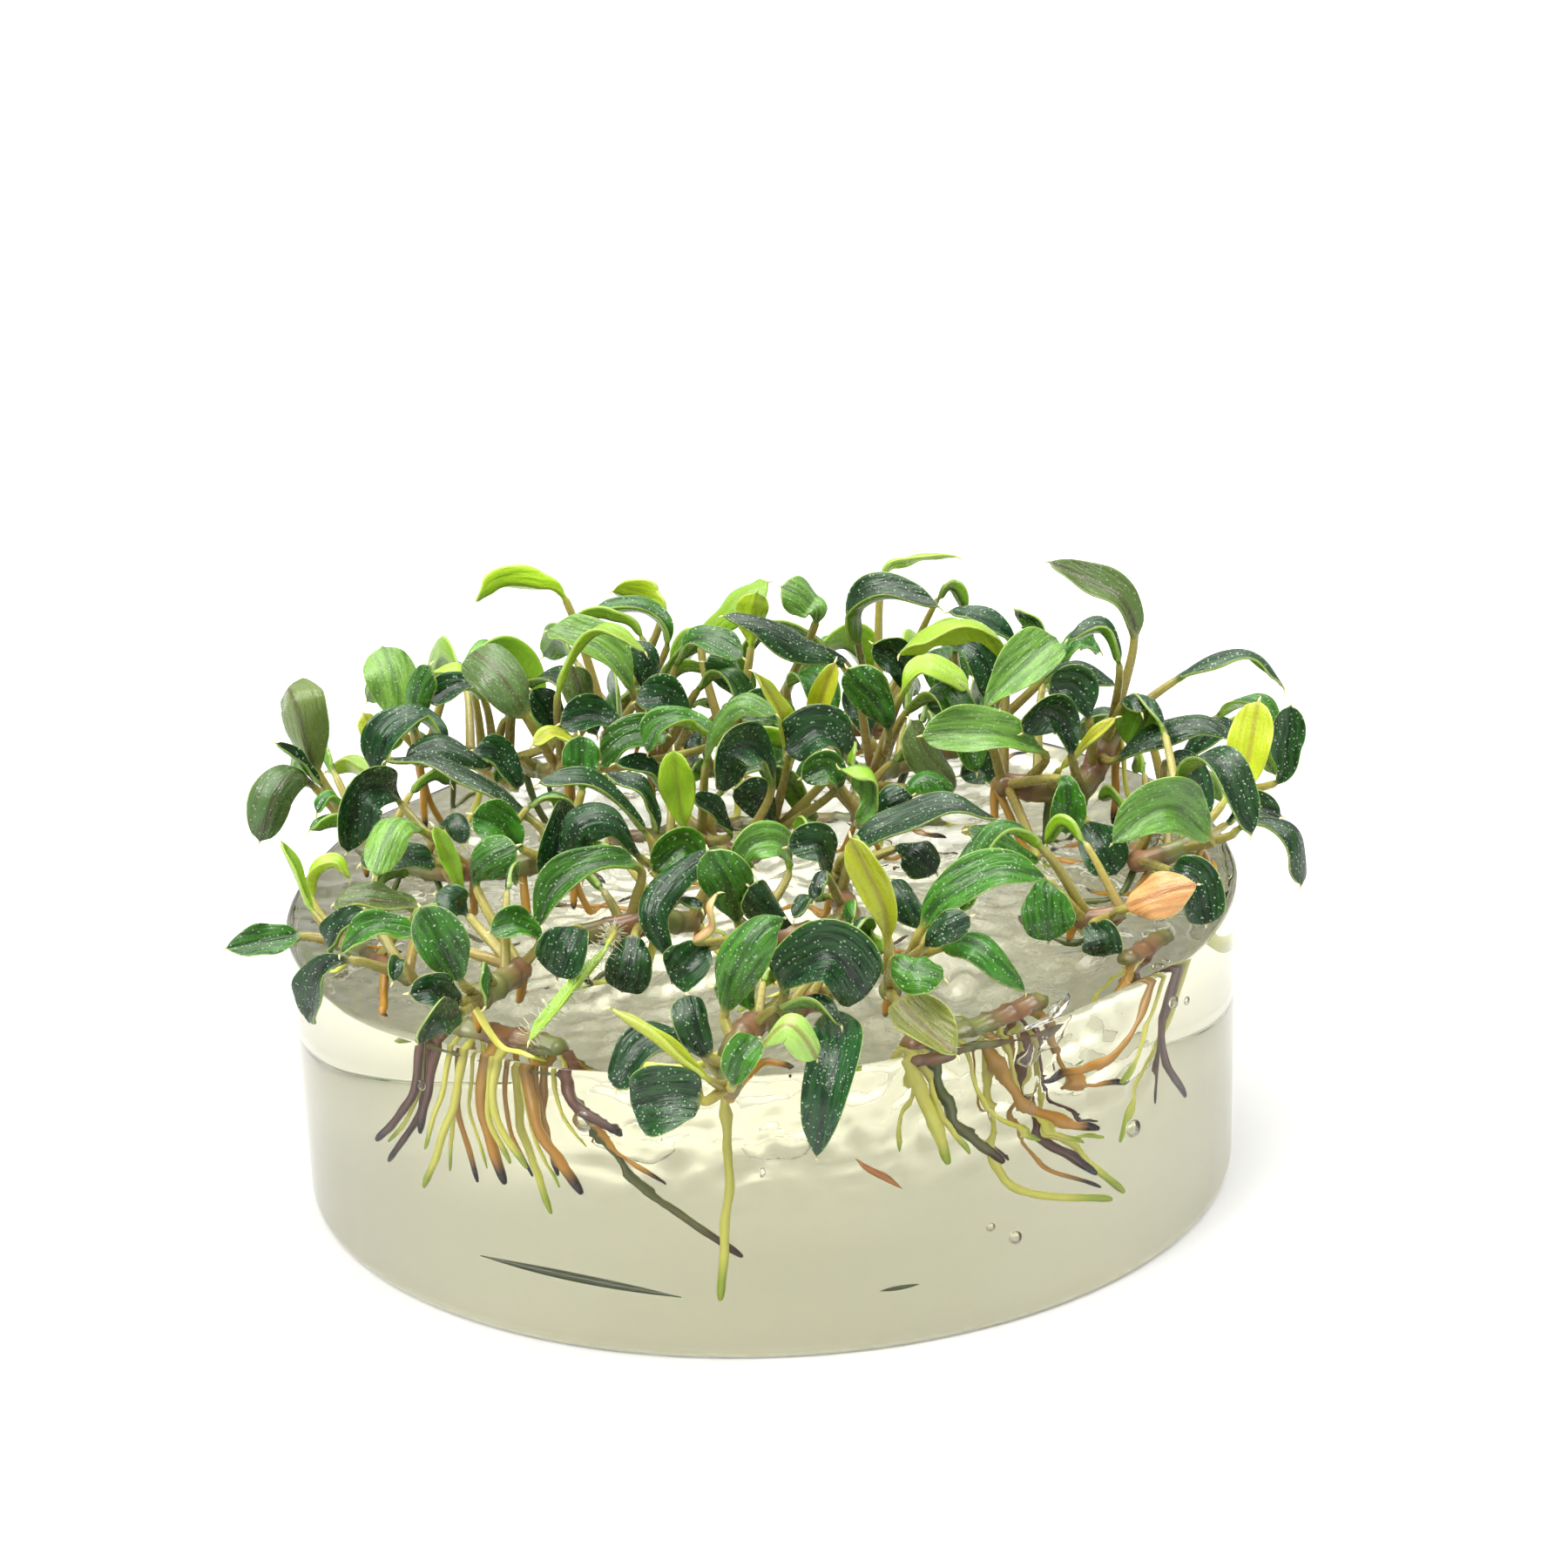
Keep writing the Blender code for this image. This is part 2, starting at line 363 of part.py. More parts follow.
# Root tufts: the stub in the gel's top that the roots spring from (x, y in mm), and its radius
ROOT_STUBS = {
    "roots_left": ([(-27, -28), (-22, -31), (-16, -34)], 1.6),
    "roots_front": ([(-4.5, -38.4), (-2, -38.6)], 1.0),
    "roots_right": ([(11, -37), (17, -34), (23, -29.5)], 1.5),
    "roots_right_rim": ([(30, -23), (34.5, -17)], 1.3),
    "roots_back": ([(-14, 13), (2, 17), (17, 13)], 1.4),
}
STUB_SUNK = 0.5
ANCHOR_OFFSET = Vector((0.22, 0.13, -0.3))

# Roots seen through the gel's front: the tuft, where along its stub, the places that the root runs
# through (across, down, and mm behind the gel's front), and its thickness in mm
ROOTS = (
    ("roots_left", 0.0, [(476, 1255, 3), (433, 1308, 3)], 1.1),
    ("roots_left", 0.05, [(480, 1290, 6), (447, 1332, 6)], 0.9),
    ("roots_left", 0.15, [(488, 1262, 2.5), (483, 1300, 2.5)], 1.2),
    ("roots_left", 0.35, [(518, 1280, 2.2), (487, 1362, 2.2)], 1.0),
    ("roots_left", 0.3, [(528, 1290, 7), (549, 1356, 7)], 0.8),
    ("roots_left", 0.5, [(556, 1280, 3.5), (580, 1358, 3)], 1.5),
    ("roots_left", 0.6, [(563, 1262, 1.8), (605, 1340, 2)], 1.0),
    ("roots_left", 0.7, [(600, 1300, 6.5), (633, 1392, 6)], 0.9),
    ("roots_left", 0.75, [(612, 1280, 2.2), (668, 1370, 1.8)], 1.4),
    ("roots_left", 0.9, [(626, 1300, 5), (640, 1350, 5)], 0.9),
    ("roots_left", 1.0, [(660, 1265, 2.8), (716, 1303, 2.4)], 1.4),
    ("roots_left", 0.95, [(720, 1345, 4.5), (852, 1442, 3.5)], 1.0),
    ("roots_front", 0.5, [(836, 1330, 1.8), (827, 1492, 1.6)], 1.1),
    ("roots_right", 0.0, [(1066, 1270, 1.8), (1088, 1335, 1.8)], 1.5),
    ("roots_right", 0.15, [(1100, 1290, 3), (1152, 1335, 3)], 1.4),
    ("roots_right", 0.5, [(1160, 1262, 2.5), (1262, 1296, 2.5)], 1.3),
    ("roots_right", 0.75, [(1185, 1300, 6), (1195, 1335, 6), (1258, 1347, 4)], 1.1),
    ("roots_right", 0.9, [(1240, 1250, 5), (1293, 1240, 5)], 1.2),
    ("roots_right", 0.55, [(1165, 1395, 7), (1276, 1376, 5)], 1.0),
    ("roots_right", 0.8, [(1215, 1320, 9), (1290, 1368, 6)], 1.0),
    ("roots_right", 0.1, [(1040, 1270, 6), (1032, 1325, 6)], 1.0),
    ("roots_right_rim", 0.3, [(1278, 1216, 1.6), (1200, 1241, 1.4)], 1.1),
    ("roots_right_rim", 0.7, [(1330, 1215, 5), (1360, 1258, 4)], 1.1),
    ("roots_right_rim", 1.0, [(1312, 1240, 9), (1285, 1310, 8)], 0.9),
)

# Roots at the back of the gel: the tuft, where along its stub, the places in mm, and the thickness
ROOTS_BEHIND = (
    ("roots_back", 0.0, [(-17, 15, 17), (-21, 18, 10)], 1.0),
    ("roots_back", 0.45, [(0, 21, 18), (-5, 25, 11)], 1.0),
    ("roots_back", 1.0, [(23, 16, 19), (27, 15, 12)], 1.0),
)

GREEN = (0.05, 0.16, 0.06)
OLIVE = (0.20, 0.17, 0.06)
ROOT_TAN = (0.45, 0.33, 0.10)
GEL_CLEAR = (0.78, 0.78, 0.66)


def seen(across, down, back):
    """The place, in mm, that the front view shows at this pixel and this distance back."""
    ahead = Vector((0, math.cos(VIEW_DOWN), -math.sin(VIEW_DOWN)))
    level_up = Vector((0, math.sin(VIEW_DOWN), math.cos(VIEW_DOWN)))
    right = Vector((math.cos(VIEW_ROLL), 0, 0)) - math.sin(VIEW_ROLL) * level_up
    up = Vector((math.sin(VIEW_ROLL), 0, 0)) + math.cos(VIEW_ROLL) * level_up
    ray = ahead + right * ((across - VIEW_MIDDLE) / VIEW_FOCAL) + up * ((VIEW_MIDDLE - down) / VIEW_FOCAL)
    return VIEW_FROM + ray * ((back - VIEW_FROM.y) / ray.y)


def gel_wall(z):
    """Radius of the gel's side at height z."""
    share = min(max(z / GEL_HEIGHT, 0), 1)
    return GEL_FOOT_RADIUS + (GEL_TOP_RADIUS - GEL_FOOT_RADIUS) * share


def seen_inside(across, down, depth):
    """The place in the gel that the front view shows at this pixel, depth mm behind the gel's front.
    The line of sight bends where it enters the gel."""
    sight = (seen(across, down, -GEL_FOOT_RADIUS) - VIEW_FROM).normalized()
    flat = Vector((sight.x, sight.y))
    start = Vector((VIEW_FROM.x, VIEW_FROM.y))
    half = start.dot(flat)
    reach = half ** 2 - flat.length_squared * (start.length_squared - GEL_FOOT_RADIUS ** 2)
    hit = VIEW_FROM + sight * ((-half - math.sqrt(max(reach, 0))) / flat.length_squared)
    outward = Vector((hit.x, hit.y, 0)).normalized()
    into = -sight.dot(outward)
    bent = math.sqrt(1 - (1 - into ** 2) / GEL_BENDING ** 2)
    inner = sight / GEL_BENDING + outward * (into / GEL_BENDING - bent)
    return hit + inner * (depth / max(inner.y, 0.3))


def gel_top(x, y):
    """Height of the gel's top at x, y: tilted a little, with a low lip round the rim."""
    towards = math.atan2(y, x) - GEL_TILT_TOWARDS
    out = min(math.hypot(x, y) / GEL_TOP_RADIUS, 1.0)
    lip = GEL_LIP * out ** 8
    ripple = 0.35 * math.sin(0.23 * x + 1.1) * math.cos(0.19 * y - 0.4)
    return GEL_HEIGHT - GEL_LIP + GEL_TILT * out * math.cos(towards) + lip + ripple


def smooth(points, count):
    """Points at even distances along a smooth curve through the given ones."""
    ends = [points[0] * 2 - points[1]] + list(points) + [points[-1] * 2 - points[-2]]
    fine = [points[0]]
    for a, b, c, d in zip(ends, ends[1:], ends[2:], ends[3:]):
        for step in range(1, 13):
            t = step / 12
            fine.append(
                0.5 * (2 * b + (c - a) * t + (2 * a - 5 * b + 4 * c - d) * t ** 2
                       + (3 * b - a - 3 * c + d) * t ** 3)
            )
    return spaced(fine, count)


def spaced(points, count):
    """The same line with count points at even distances."""
    run = [0.0]
    for a, b in zip(points, points[1:]):
        run.append(run[-1] + (b - a).length)
    made = []
    place = 0
    for index in range(count):
        want = run[-1] * index / (count - 1)
        while place < len(run) - 2 and run[place + 1] < want:
            place += 1
        share = (want - run[place]) / max(run[place + 1] - run[place], 1e-9)
        made.append(points[place].lerp(points[place + 1], min(share, 1.0)))
    return made


def directions(points):
    """The direction of the line at each of its points."""
    made = []
    for index in range(len(points)):
        before = points[max(index - 1, 0)]
        after = points[min(index + 1, len(points) - 1)]
        made.append((after - before).normalized())
    return made


def face_normals(points, turn):
    """Which way the upper face looks at each point: set at the middle by turn, and carried along."""
    along = directions(points)
    middle = len(points) // 2
    viewer = (VIEW_FROM - points[middle]).normalized()
    tangent = along[middle]
    flat = (viewer - tangent * viewer.dot(tangent)).normalized()
    side = tangent.cross(flat)
    if side.z < 0:
        side = -side
    start = math.cos(turn) * flat + math.sin(turn) * side
    normals = [start] * len(points)
    for order in (range(middle + 1, len(points)), range(middle - 1, -1, -1)):
        carried = start
        for index in order:
            carried = (carried - along[index] * carried.dot(along[index])).normalized()
            normals[index] = carried
    return normals


def blade_width(share, is_pointed):
    """Width of a blade as a share of its widest, from its base at 0 to its tip at 1. A pointed blade is
    widest at its middle, and the others beyond it."""
    scale, rise, fall = POINTED_SHAPE if is_pointed else BLUNT_SHAPE
    return scale * max(share, 0.02) ** rise * max(1 - share, 0.0) ** fall


def blade_half(leaf, share):
    """Half the width of a leaf's blade, in mm."""
    return leaf["width"] / 2 * blade_width(share, leaf["name"] in POINTED_LEAVES)


def bend_limit(line, along, side, index):
    """The half width at which a leaf that bends edgewise would fold into itself."""
    before = max(index - 1, 0)
    edgewise = abs((along[index + 1] - along[before]).dot(side))
    return BEND_SHARE * (line[index + 1] - line[before]).length / max(edgewise, 0.01)


def leaf_sections(leaf, stalk_steps, blade_steps):
    """The rings of a leaf's solid: a thin stalk, then a flat four-sided blade, up to its tip."""
    start = leaf["crown"]
    stalk = smooth([start] + leaf["points"], LEAF_FINE)
    base_at = nearest(stalk, leaf["points"][0])
    stalk_line = spaced(stalk[: base_at + 1], stalk_steps + 1)[:-1]
    blade_line = spaced(stalk[base_at:], blade_steps + 1)
    line = stalk_line + blade_line
    normals = face_normals(line, leaf["turn"])
    along = directions(line)
    rings = []
    for index, point in enumerate(line[:-1]):
        side = along[index].cross(normals[index])
        share = (index - stalk_steps) / blade_steps
        half = STALK_THICKNESS / 2
        if share > 0:
            half = max(half, min(blade_half(leaf, share), bend_limit(line, along, side, index)))
        thick = STALK_THICKNESS / 2 if share <= 0 else BLADE_THICKNESS / 2 * (1 - 0.4 * share) + 0.05
        rings.append([
            point + side * half,
            point + normals[index] * thick,
            point - side * half,
            point - normals[index] * thick,
        ])
    return rings, line[-1]


def nearest(points, place):
    """Index of the point nearest to a place."""
    return min(range(len(points)), key=lambda index: (points[index] - place).length_squared)


def skin(rings, tip):
    """Vertices and faces of the loft through the rings, closed by a cap at its foot and a point at its tip.
    Every face's diagonal starts from an even corner, so the two sides of a thin twisted leaf stay apart."""
    places = [point for ring in rings for point in ring] + [tip]
    sides = len(rings[0])
    faces = [tuple(reversed(range(sides)))]
    for level in range(len(rings) - 1):
        for corner in range(sides):
            here = level * sides + corner
            beside = level * sides + (corner + 1) % sides
            if corner % 2 == 0:
                faces.append((here, beside, beside + sides))
                faces.append((here, beside + sides, here + sides))
            else:
                faces.append((here, beside, here + sides))
                faces.append((beside, beside + sides, here + sides))
    last = (len(rings) - 1) * sides
    for corner in range(sides):
        faces.append((last + corner, last + (corner + 1) % sides, len(places) - 1))
    return places, faces


def tree_of(places, faces):
    """A search tree of a piece, for telling whether others touch it."""
    return BVHTree.FromPolygons([tuple(place) for place in places], faces)


def swollen(rings, tip, gap):
    """The rings of a leaf grown by a gap all round."""
    grown = []
    for ring in rings:
        middle = sum(ring, Vector()) / len(ring)
        grown.append([place + (place - middle).normalized() * gap for place in ring])
    ahead = (tip - sum(rings[-1], Vector()) / len(rings[-1])).normalized()
    return grown, tip + ahead * gap


def in_gel(place):
    """Whether a place is inside the gel, or nearer to it than the gap."""
    margin = GAP + 0.15
    if math.hypot(place.x, place.y) > gel_wall(place.z) + margin:
        return False
    return place.z < gel_top(place.x, place.y) + margin


def rhizome_line(name):
    """Points along a plantlet's rhizome."""
    crowns, _ = PLANTLETS[name]
    knots = [seen(*CROWNS[crown]) for crown in crowns]
    return smooth(knots, 2 * len(knots) - 1)


def plantlet_of(crown):
    """The plantlet that a crown belongs to."""
    return next(name for name, (crowns, _) in PLANTLETS.items() if crown in crowns)


def bud(crown, order, towards):
    """Where a crown's leaf starts: the leaves of a crown stand in a row along the rhizome."""
    line = spaced(rhizome_line(plantlet_of(crown)), FINE)
    step = (line[-1] - line[-2]).length
    shift = (order + 1) // 2 * (1 if order % 2 else -1) * BUD_SPACING / step
    place = nearest(line, seen(*CROWNS[crown])) + round(shift)
    margin = round(BUD_MARGIN / step)
    start = line[min(max(place, margin), FINE - 1 - margin)]
    return start + (towards - start).normalized() * BUD_OFFSET


def seen_leaf(name):
    """A leaf from the front view, with its places in mm."""
    crown, blade, width, turn = SEEN_LEAVES[name]
    before = [other for other in SEEN_LEAVES if SEEN_LEAVES[other][0] == crown]
    points = [seen(*place) for place in blade]
    return {
        "name": name,
        "crown_name": crown,
        "crown": bud(crown, before.index(name), points[0]),
        "points": points,
        "width": width,
        "turn": math.radians(turn),
    }


def hidden_leaf(crown, number, chance):
    """A leaf that arches up and out from a crown, in a direction that the crown's other leaves leave free."""
    start = seen(*CROWNS[crown])
    azimuth = number * 2.4 + chance.uniform(-0.5, 0.5) + start.x
    outward = Vector((math.cos(azimuth), math.sin(azimuth), 0))
    stalk = chance.uniform(*HIDDEN_STALK)
    length = chance.uniform(*HIDDEN_LENGTH) * 0.85
    lean = chance.uniform(0.35, 1.0)
    base = start + outward * stalk * lean + UP * stalk
    crest = base + outward * length * 0.45 + UP * length * 0.22
    tip = base + outward * length * 0.85 - UP * length * chance.uniform(0.0, 0.35)
    return {
        "name": f"{crown}_{number}",
        "crown_name": crown,
        "crown": bud(crown, number + 1, base),
        "points": [base, crest, tip],
        "width": chance.uniform(*HIDDEN_WIDTH),
        "turn": math.radians(90),
    }


def moved(leaf, back, lift, narrowing):
    """The leaf with its blade set back, lifted and made narrower, its crown kept."""
    changed = dict(leaf)
    changed["width"] = leaf["width"] * narrowing
    changed["points"] = [
        place + Vector((0, back, lift)) * (0.6 + 0.5 * index / len(leaf["points"]))
        for index, place in enumerate(leaf["points"])
    ]
    return changed


def seen_options(leaf, is_loose):
    """The places that a leaf from the front view is tried in, the least changed first."""
    trims = LOOSE_TRIMS if is_loose else (None,)
    options = []
    for narrowing in (1.0, 0.85):
        for back, lift in SEEN_MOVES:
            for trim in trims:
                tried = leaf if trim is None else loosened(leaf, LOOSE_START + trim)
                options.append(moved(tried, back, lift, narrowing))
    return options


def turned(leaf, step):
    """A hidden leaf swung about its crown by another angle at each step."""
    changed = dict(leaf)
    angle = step * 0.7
    raised = 0.15 * step
    points = []
    for place in leaf["points"]:
        arm = place - leaf["crown"]
        swung = Vector((
            arm.x * math.cos(angle) - arm.y * math.sin(angle),
            arm.x * math.sin(angle) + arm.y * math.cos(angle),
            arm.z * (1 + raised * 0.4),
        ))
        points.append(leaf["crown"] + swung)
    changed["points"] = points
    return changed


def loosened(leaf, start):
    """The leaf with its foot cut short, so that it starts this far from its crown."""
    line = smooth([leaf["crown"]] + leaf["points"], LEAF_FINE)
    foot = next(index for index, place in enumerate(line) if (place - leaf["crown"]).length > start)
    base = max(nearest(line, leaf["points"][0]), foot + SHORTEST_STALK)
    changed = dict(leaf)
    changed["bud"] = leaf["crown"]
    changed["crown"] = line[foot]
    beyond = [place for place in leaf["points"][1:] if nearest(line, place) > base + SHORTEST_STALK]
    changed["points"] = [line[base]] + beyond
    return changed


class Thicket:
    """The pieces placed so far, and whether a new one is clear of them."""

    def __init__(self):
        self.pieces = []

    def add(self, owner, rings, tip, stalk_rings=0):
        """Remember a piece of the named node. Its first rings are its stalk."""
        places, faces = skin(rings, tip)
        blade_places, blade_faces = skin(rings[stalk_rings:], tip)
        middle = sum(places, Vector()) / len(places)
        reach = max((place - middle).length for place in places)
        self.pieces.append((owner, middle, reach, tree_of(places, faces), tree_of(blade_places, blade_faces)))

    def clear(self, owner, rings, tip, stalk_rings):
        """Whether the piece, grown by the gap, misses the gel, other nodes and its own node's blades."""
        grown, far = swollen(rings, tip, GAP)
        places, faces = skin(grown, far)
        if any(in_gel(place) for place in places):
            return False
        whole = tree_of(places, faces)
        blade = tree_of(*skin(rings[stalk_rings:], tip))
        middle = sum(places, Vector()) / len(places)
        reach = max((place - middle).length for place in places)
        for other, centre, size, tree, blade_tree in self.pieces:
            if (centre - middle).length > size + reach:
                continue
            if other == owner:
                if blade_tree.overlap(blade):
                    return False
            elif tree.overlap(whole):
                return False
        return True


def tube_rings(points, radii, sides=6):
    """Rings round a line, for telling whether leaves touch a rhizome."""
    rings = []
    for point, along, radius in zip(points, directions(points), radii):
        side = along.orthogonal().normalized()
        lift = along.cross(side)
        angles = [2 * math.pi * corner / sides for corner in range(sides)]
        rings.append([point + (side * math.cos(a) + lift * math.sin(a)) * radius for a in angles])
    return rings


def rhizome_radii(name, count):
    """Radius along a rhizome: swollen at its crowns, thin at its ends."""
    crowns, radius = PLANTLETS[name]
    per_crown = (count - 1) / (len(crowns) - 1)
    radii = []
    for index in range(count):
        off_knot = abs(index / per_crown - round(index / per_crown)) * 2
        radii.append(radius * (1.0 - 0.18 * off_knot))
    radii[0] *= 0.8
    radii[-1] *= 0.8
    return radii


def place_leaf(owner, thicket, options, steps):
    """Put a leaf in the thicket at the first of its options that is clear. Returns it, or None."""
    stalk_steps, blade_steps = steps
    for option in options:
        rings, tip = leaf_sections(option, stalk_steps, blade_steps)
        if thicket.clear(owner, rings, tip, stalk_steps):
            thicket.add(owner, rings, tip, stalk_steps)
            return {"leaf": option, "owner": owner, "rings": rings, "tip": tip}
    return None


def blade_steps_of(name):
    """How many sections a leaf's blade has: the loose leaves are the finest."""
    if name in LOOSE_LEAVES:
        return LOOSE_BLADE_STEPS
    return DEEP_BLADE_STEPS if name in DEEP_LEAVES else SEEN_BLADE_STEPS


def grow_leaves():
    """Every leaf that finds room: those seen from the front first, then those that other sides show."""
    thicket = Thicket()
    for name in PLANTLETS:
        line = rhizome_line(name)
        rings = tube_rings(line, rhizome_radii(name, len(line)))
        thicket.add(name, rings[:-1], line[-1], len(rings) - 2)
    grown = []
    for is_loose in (False, True):
        for name in SEEN_LEAVES:
            if (name in LOOSE_LEAVES) != is_loose:
                continue
            leaf = seen_leaf(name)
            owner = name if is_loose else plantlet_of(leaf["crown_name"])
            steps = (STALK_STEPS, blade_steps_of(name))
            grown.append(place_leaf(owner, thicket, seen_options(leaf, is_loose), steps))
            if grown[-1] is None:
                print("no room for", name)
    chance = random.Random(SEED)
    for crown, count in HIDDEN_LEAVES.items():
        for number in range(count):
            leaf = hidden_leaf(crown, number, chance)
            options = [turned(leaf, step) for step in range(TURN_STEPS)]
            steps = (STALK_STEPS, DEEP_BLADE_STEPS)
            grown.append(place_leaf(plantlet_of(crown), thicket, options, steps))
            if grown[-1] is None:
                print("no room for", leaf["name"])
    return [piece for piece in grown if piece]


def stub_line(name):
    """The stub that a tuft's roots spring from, half sunk in the gel's top."""
    places, _ = ROOT_STUBS[name]
    return smooth([Vector((x, y, gel_top(x, y) - STUB_SUNK)) for x, y in places], 5)


def root_lines(name):
    """The lines and thicknesses of a tuft's roots."""
    stub = stub_line(name)
    fine = spaced(stub, 21)
    made = []
    for tuft, share, places, thickness in ROOTS:
        if tuft == name:
            run = [fine[round(share * 20)]] + [seen_inside(*place) for place in places]
            made.append((smooth(run, ROOT_POINTS), thickness))
    for tuft, share, places, thickness in ROOTS_BEHIND:
        if tuft == name:
            run = [fine[round(share * 20)]] + [Vector(place) for place in places]
            made.append((smooth(run, ROOT_POINTS), thickness))
    return made


def material(name, colour, roughness):
    """A plain Principled material."""
    made = bpy.data.materials.new(name)
    made.use_nodes = True
    shader = made.node_tree.nodes["Principled BSDF"]
    shader.inputs["Base Color"].default_value = (*colour, 1)
    shader.inputs["Roughness"].default_value = roughness
    return made


def add_object(name, places, faces, collection):
    """An object whose mesh is made from places in mm, facing out."""
    mesh = bpy.data.meshes.new(name)
    mesh.from_pydata([tuple(place * MM) for place in places], [], faces)
    work = bmesh.new()
    work.from_mesh(mesh)
    bmesh.ops.recalc_face_normals(work, faces=work.faces)
    work.to_mesh(mesh)
    work.free()
    made = bpy.data.objects.new(name, mesh)
    collection.objects.link(made)
    return made


def add_tube(name, points, radii, collection, sides=1):
    """A tapered tube through the points: a beveled curve turned into one closed mesh."""
    curve = bpy.data.curves.new(name, "CURVE")
    curve.dimensions = "3D"
    curve.bevel_depth = MM
    curve.bevel_resolution = sides
    curve.use_fill_caps = True
    spline = curve.splines.new("POLY")
    spline.points.add(len(points) - 1)
    for place, radius, knot in zip(points, radii, spline.points):
        knot.co = (*(place * MM), 1)
        knot.radius = radius
    guide = bpy.data.objects.new(name + "_line", curve)
    collection.objects.link(guide)
    bpy.context.view_layer.update()
    mesh = bpy.data.meshes.new_from_object(guide.evaluated_get(bpy.context.evaluated_depsgraph_get()))
    bpy.data.objects.remove(guide)
    work = bmesh.new()
    work.from_mesh(mesh)
    bmesh.ops.remove_doubles(work, verts=work.verts, dist=1e-7)
    bmesh.ops.recalc_face_normals(work, faces=work.faces)
    work.to_mesh(mesh)
    work.free()
    made = bpy.data.objects.new(name, mesh)
    collection.objects.link(made)
    return made


def join_with(target, collection, operation):
    """A Boolean between an object and everything in a collection."""
    change = target.modifiers.new(operation.lower(), "BOOLEAN")
    change.operation = operation
    change.operand_type = "COLLECTION"
    change.collection = collection
    change.solver = "EXACT"


def gel_rings():
    """Rings of the gel puck, from the middle of its foot up its side and over its top."""
    angles = [2 * math.pi * corner / GEL_SIDES for corner in range(GEL_SIDES)]
    outlines = [(GEL_FOOT_RADIUS - 0.6, 0.0), (GEL_FOOT_RADIUS, 0.6), (GEL_TOP_RADIUS, None)]
    rings = []
    for radius, height in outlines:
        ring = [Vector((radius * math.cos(a), radius * math.sin(a), height or 0)) for a in angles]
        if height is None:
            for place in ring:
                place.z = gel_top(place.x, place.y)
        rings.append(ring)
    for share in reversed(GEL_RINGS[1:]):
        radius = GEL_TOP_RADIUS * share
        ring = [Vector((radius * math.cos(a), radius * math.sin(a), 0)) for a in angles]
        for place in ring:
            place.z = gel_top(place.x, place.y)
        rings.append(ring)
    return rings


def lengthened(line, extra):
    """The line carried on past its last point."""
    return line[:-1] + [line[-1] + (line[-1] - line[-2]).normalized() * extra]


def make_gel(collection, cutters):
    """The gel puck, with an open pocket for each root tuft."""
    middle = Vector((0, 0, gel_top(0, 0)))
    gel = add_object("gel", *skin(gel_rings(), middle), collection)
    gel.data.materials.append(material("gel", GEL_CLEAR, 0.1))
    for name, (_, radius) in ROOT_STUBS.items():
        stub = stub_line(name)
        ends = [stub[0] * 2 - stub[1]] + stub + [stub[-1] * 2 - stub[-2]]
        run = [stub[0] + (ends[0] - stub[0]).normalized() * 2 * GAP] + stub[1:-1]
        run.append(stub[-1] + (ends[-1] - stub[-1]).normalized() * 2 * GAP)
        add_tube(name + "_pocket", run, [radius + GAP * 1.3] * len(run), cutters, 1)
        for number, (line, thickness) in enumerate(root_lines(name)):
            wide = [thickness / 2 + GAP * 1.4] * len(line)
            add_tube(f"{name}_pocket_{number}", lengthened(line, 2 * GAP), wide, cutters, 0)
    return [(gel, cutters, "DIFFERENCE")]


def make_root_tuft(name, collection, helpers):
    """One tuft: its stub with the roots fused to it."""
    stub = stub_line(name)
    radius = ROOT_STUBS[name][1]
    tuft = add_tube(name, stub, [radius * 0.8, radius, radius, radius, radius * 0.8], collection, 1)
    tuft.data.materials.append(material(name, ROOT_TAN, 0.5))
    group = bpy.data.collections.new(name + "_roots")
    helpers.children.link(group)
    for number, (line, thickness) in enumerate(root_lines(name)):
        radii = [thickness / 2] * (len(line) - 1) + [thickness * 0.3]
        add_tube(f"{name}_{number}", line, radii, group, 0)
    return [(tuft, group, "UNION")]


def anchor_lines(name):
    """Short roots that hold a plantlet's crowns up off the gel."""
    crowns, radius = PLANTLETS[name]
    line = spaced(rhizome_line(name), FINE)
    made = []
    for crown in crowns[::2]:
        top = line[nearest(line, seen(*CROWNS[crown]))]
        if math.hypot(top.x, top.y) > GEL_TOP_RADIUS - 1.5:
            continue
        foot = Vector((top.x * 0.985, top.y * 0.985, 0))
        foot.z = gel_top(foot.x, foot.y) + GAP + 0.35
        if top.z - foot.z > radius + 0.3:
            made.append([top + ANCHOR_OFFSET, foot])
    return made


def make_plantlet(name, leaves, collection, helpers):
    """One plantlet: its creeping rhizome with its small leaves and short roots fused to it."""
    line = rhizome_line(name)
    plantlet = add_tube(name, line, rhizome_radii(name, len(line)), collection, 1)
    plantlet.data.materials.append(material(name, OLIVE, 0.4))
    group = bpy.data.collections.new(name + "_leaves")
    helpers.children.link(group)
    for piece in leaves:
        add_object(piece["leaf"]["name"] + "_fused", *skin(piece["rings"], piece["tip"]), group)
    for number, run in enumerate(anchor_lines(name)):
        add_tube(f"{name}_anchor_{number}", run, [0.55, 0.5], group, 0)
    return [(plantlet, group, "UNION")]


def hide_helpers(collection):
    """Keep cutters and fused pieces out of renders, and show them as wires."""
    for piece in collection.all_objects:
        piece.hide_render = True
        piece.display_type = "WIRE"


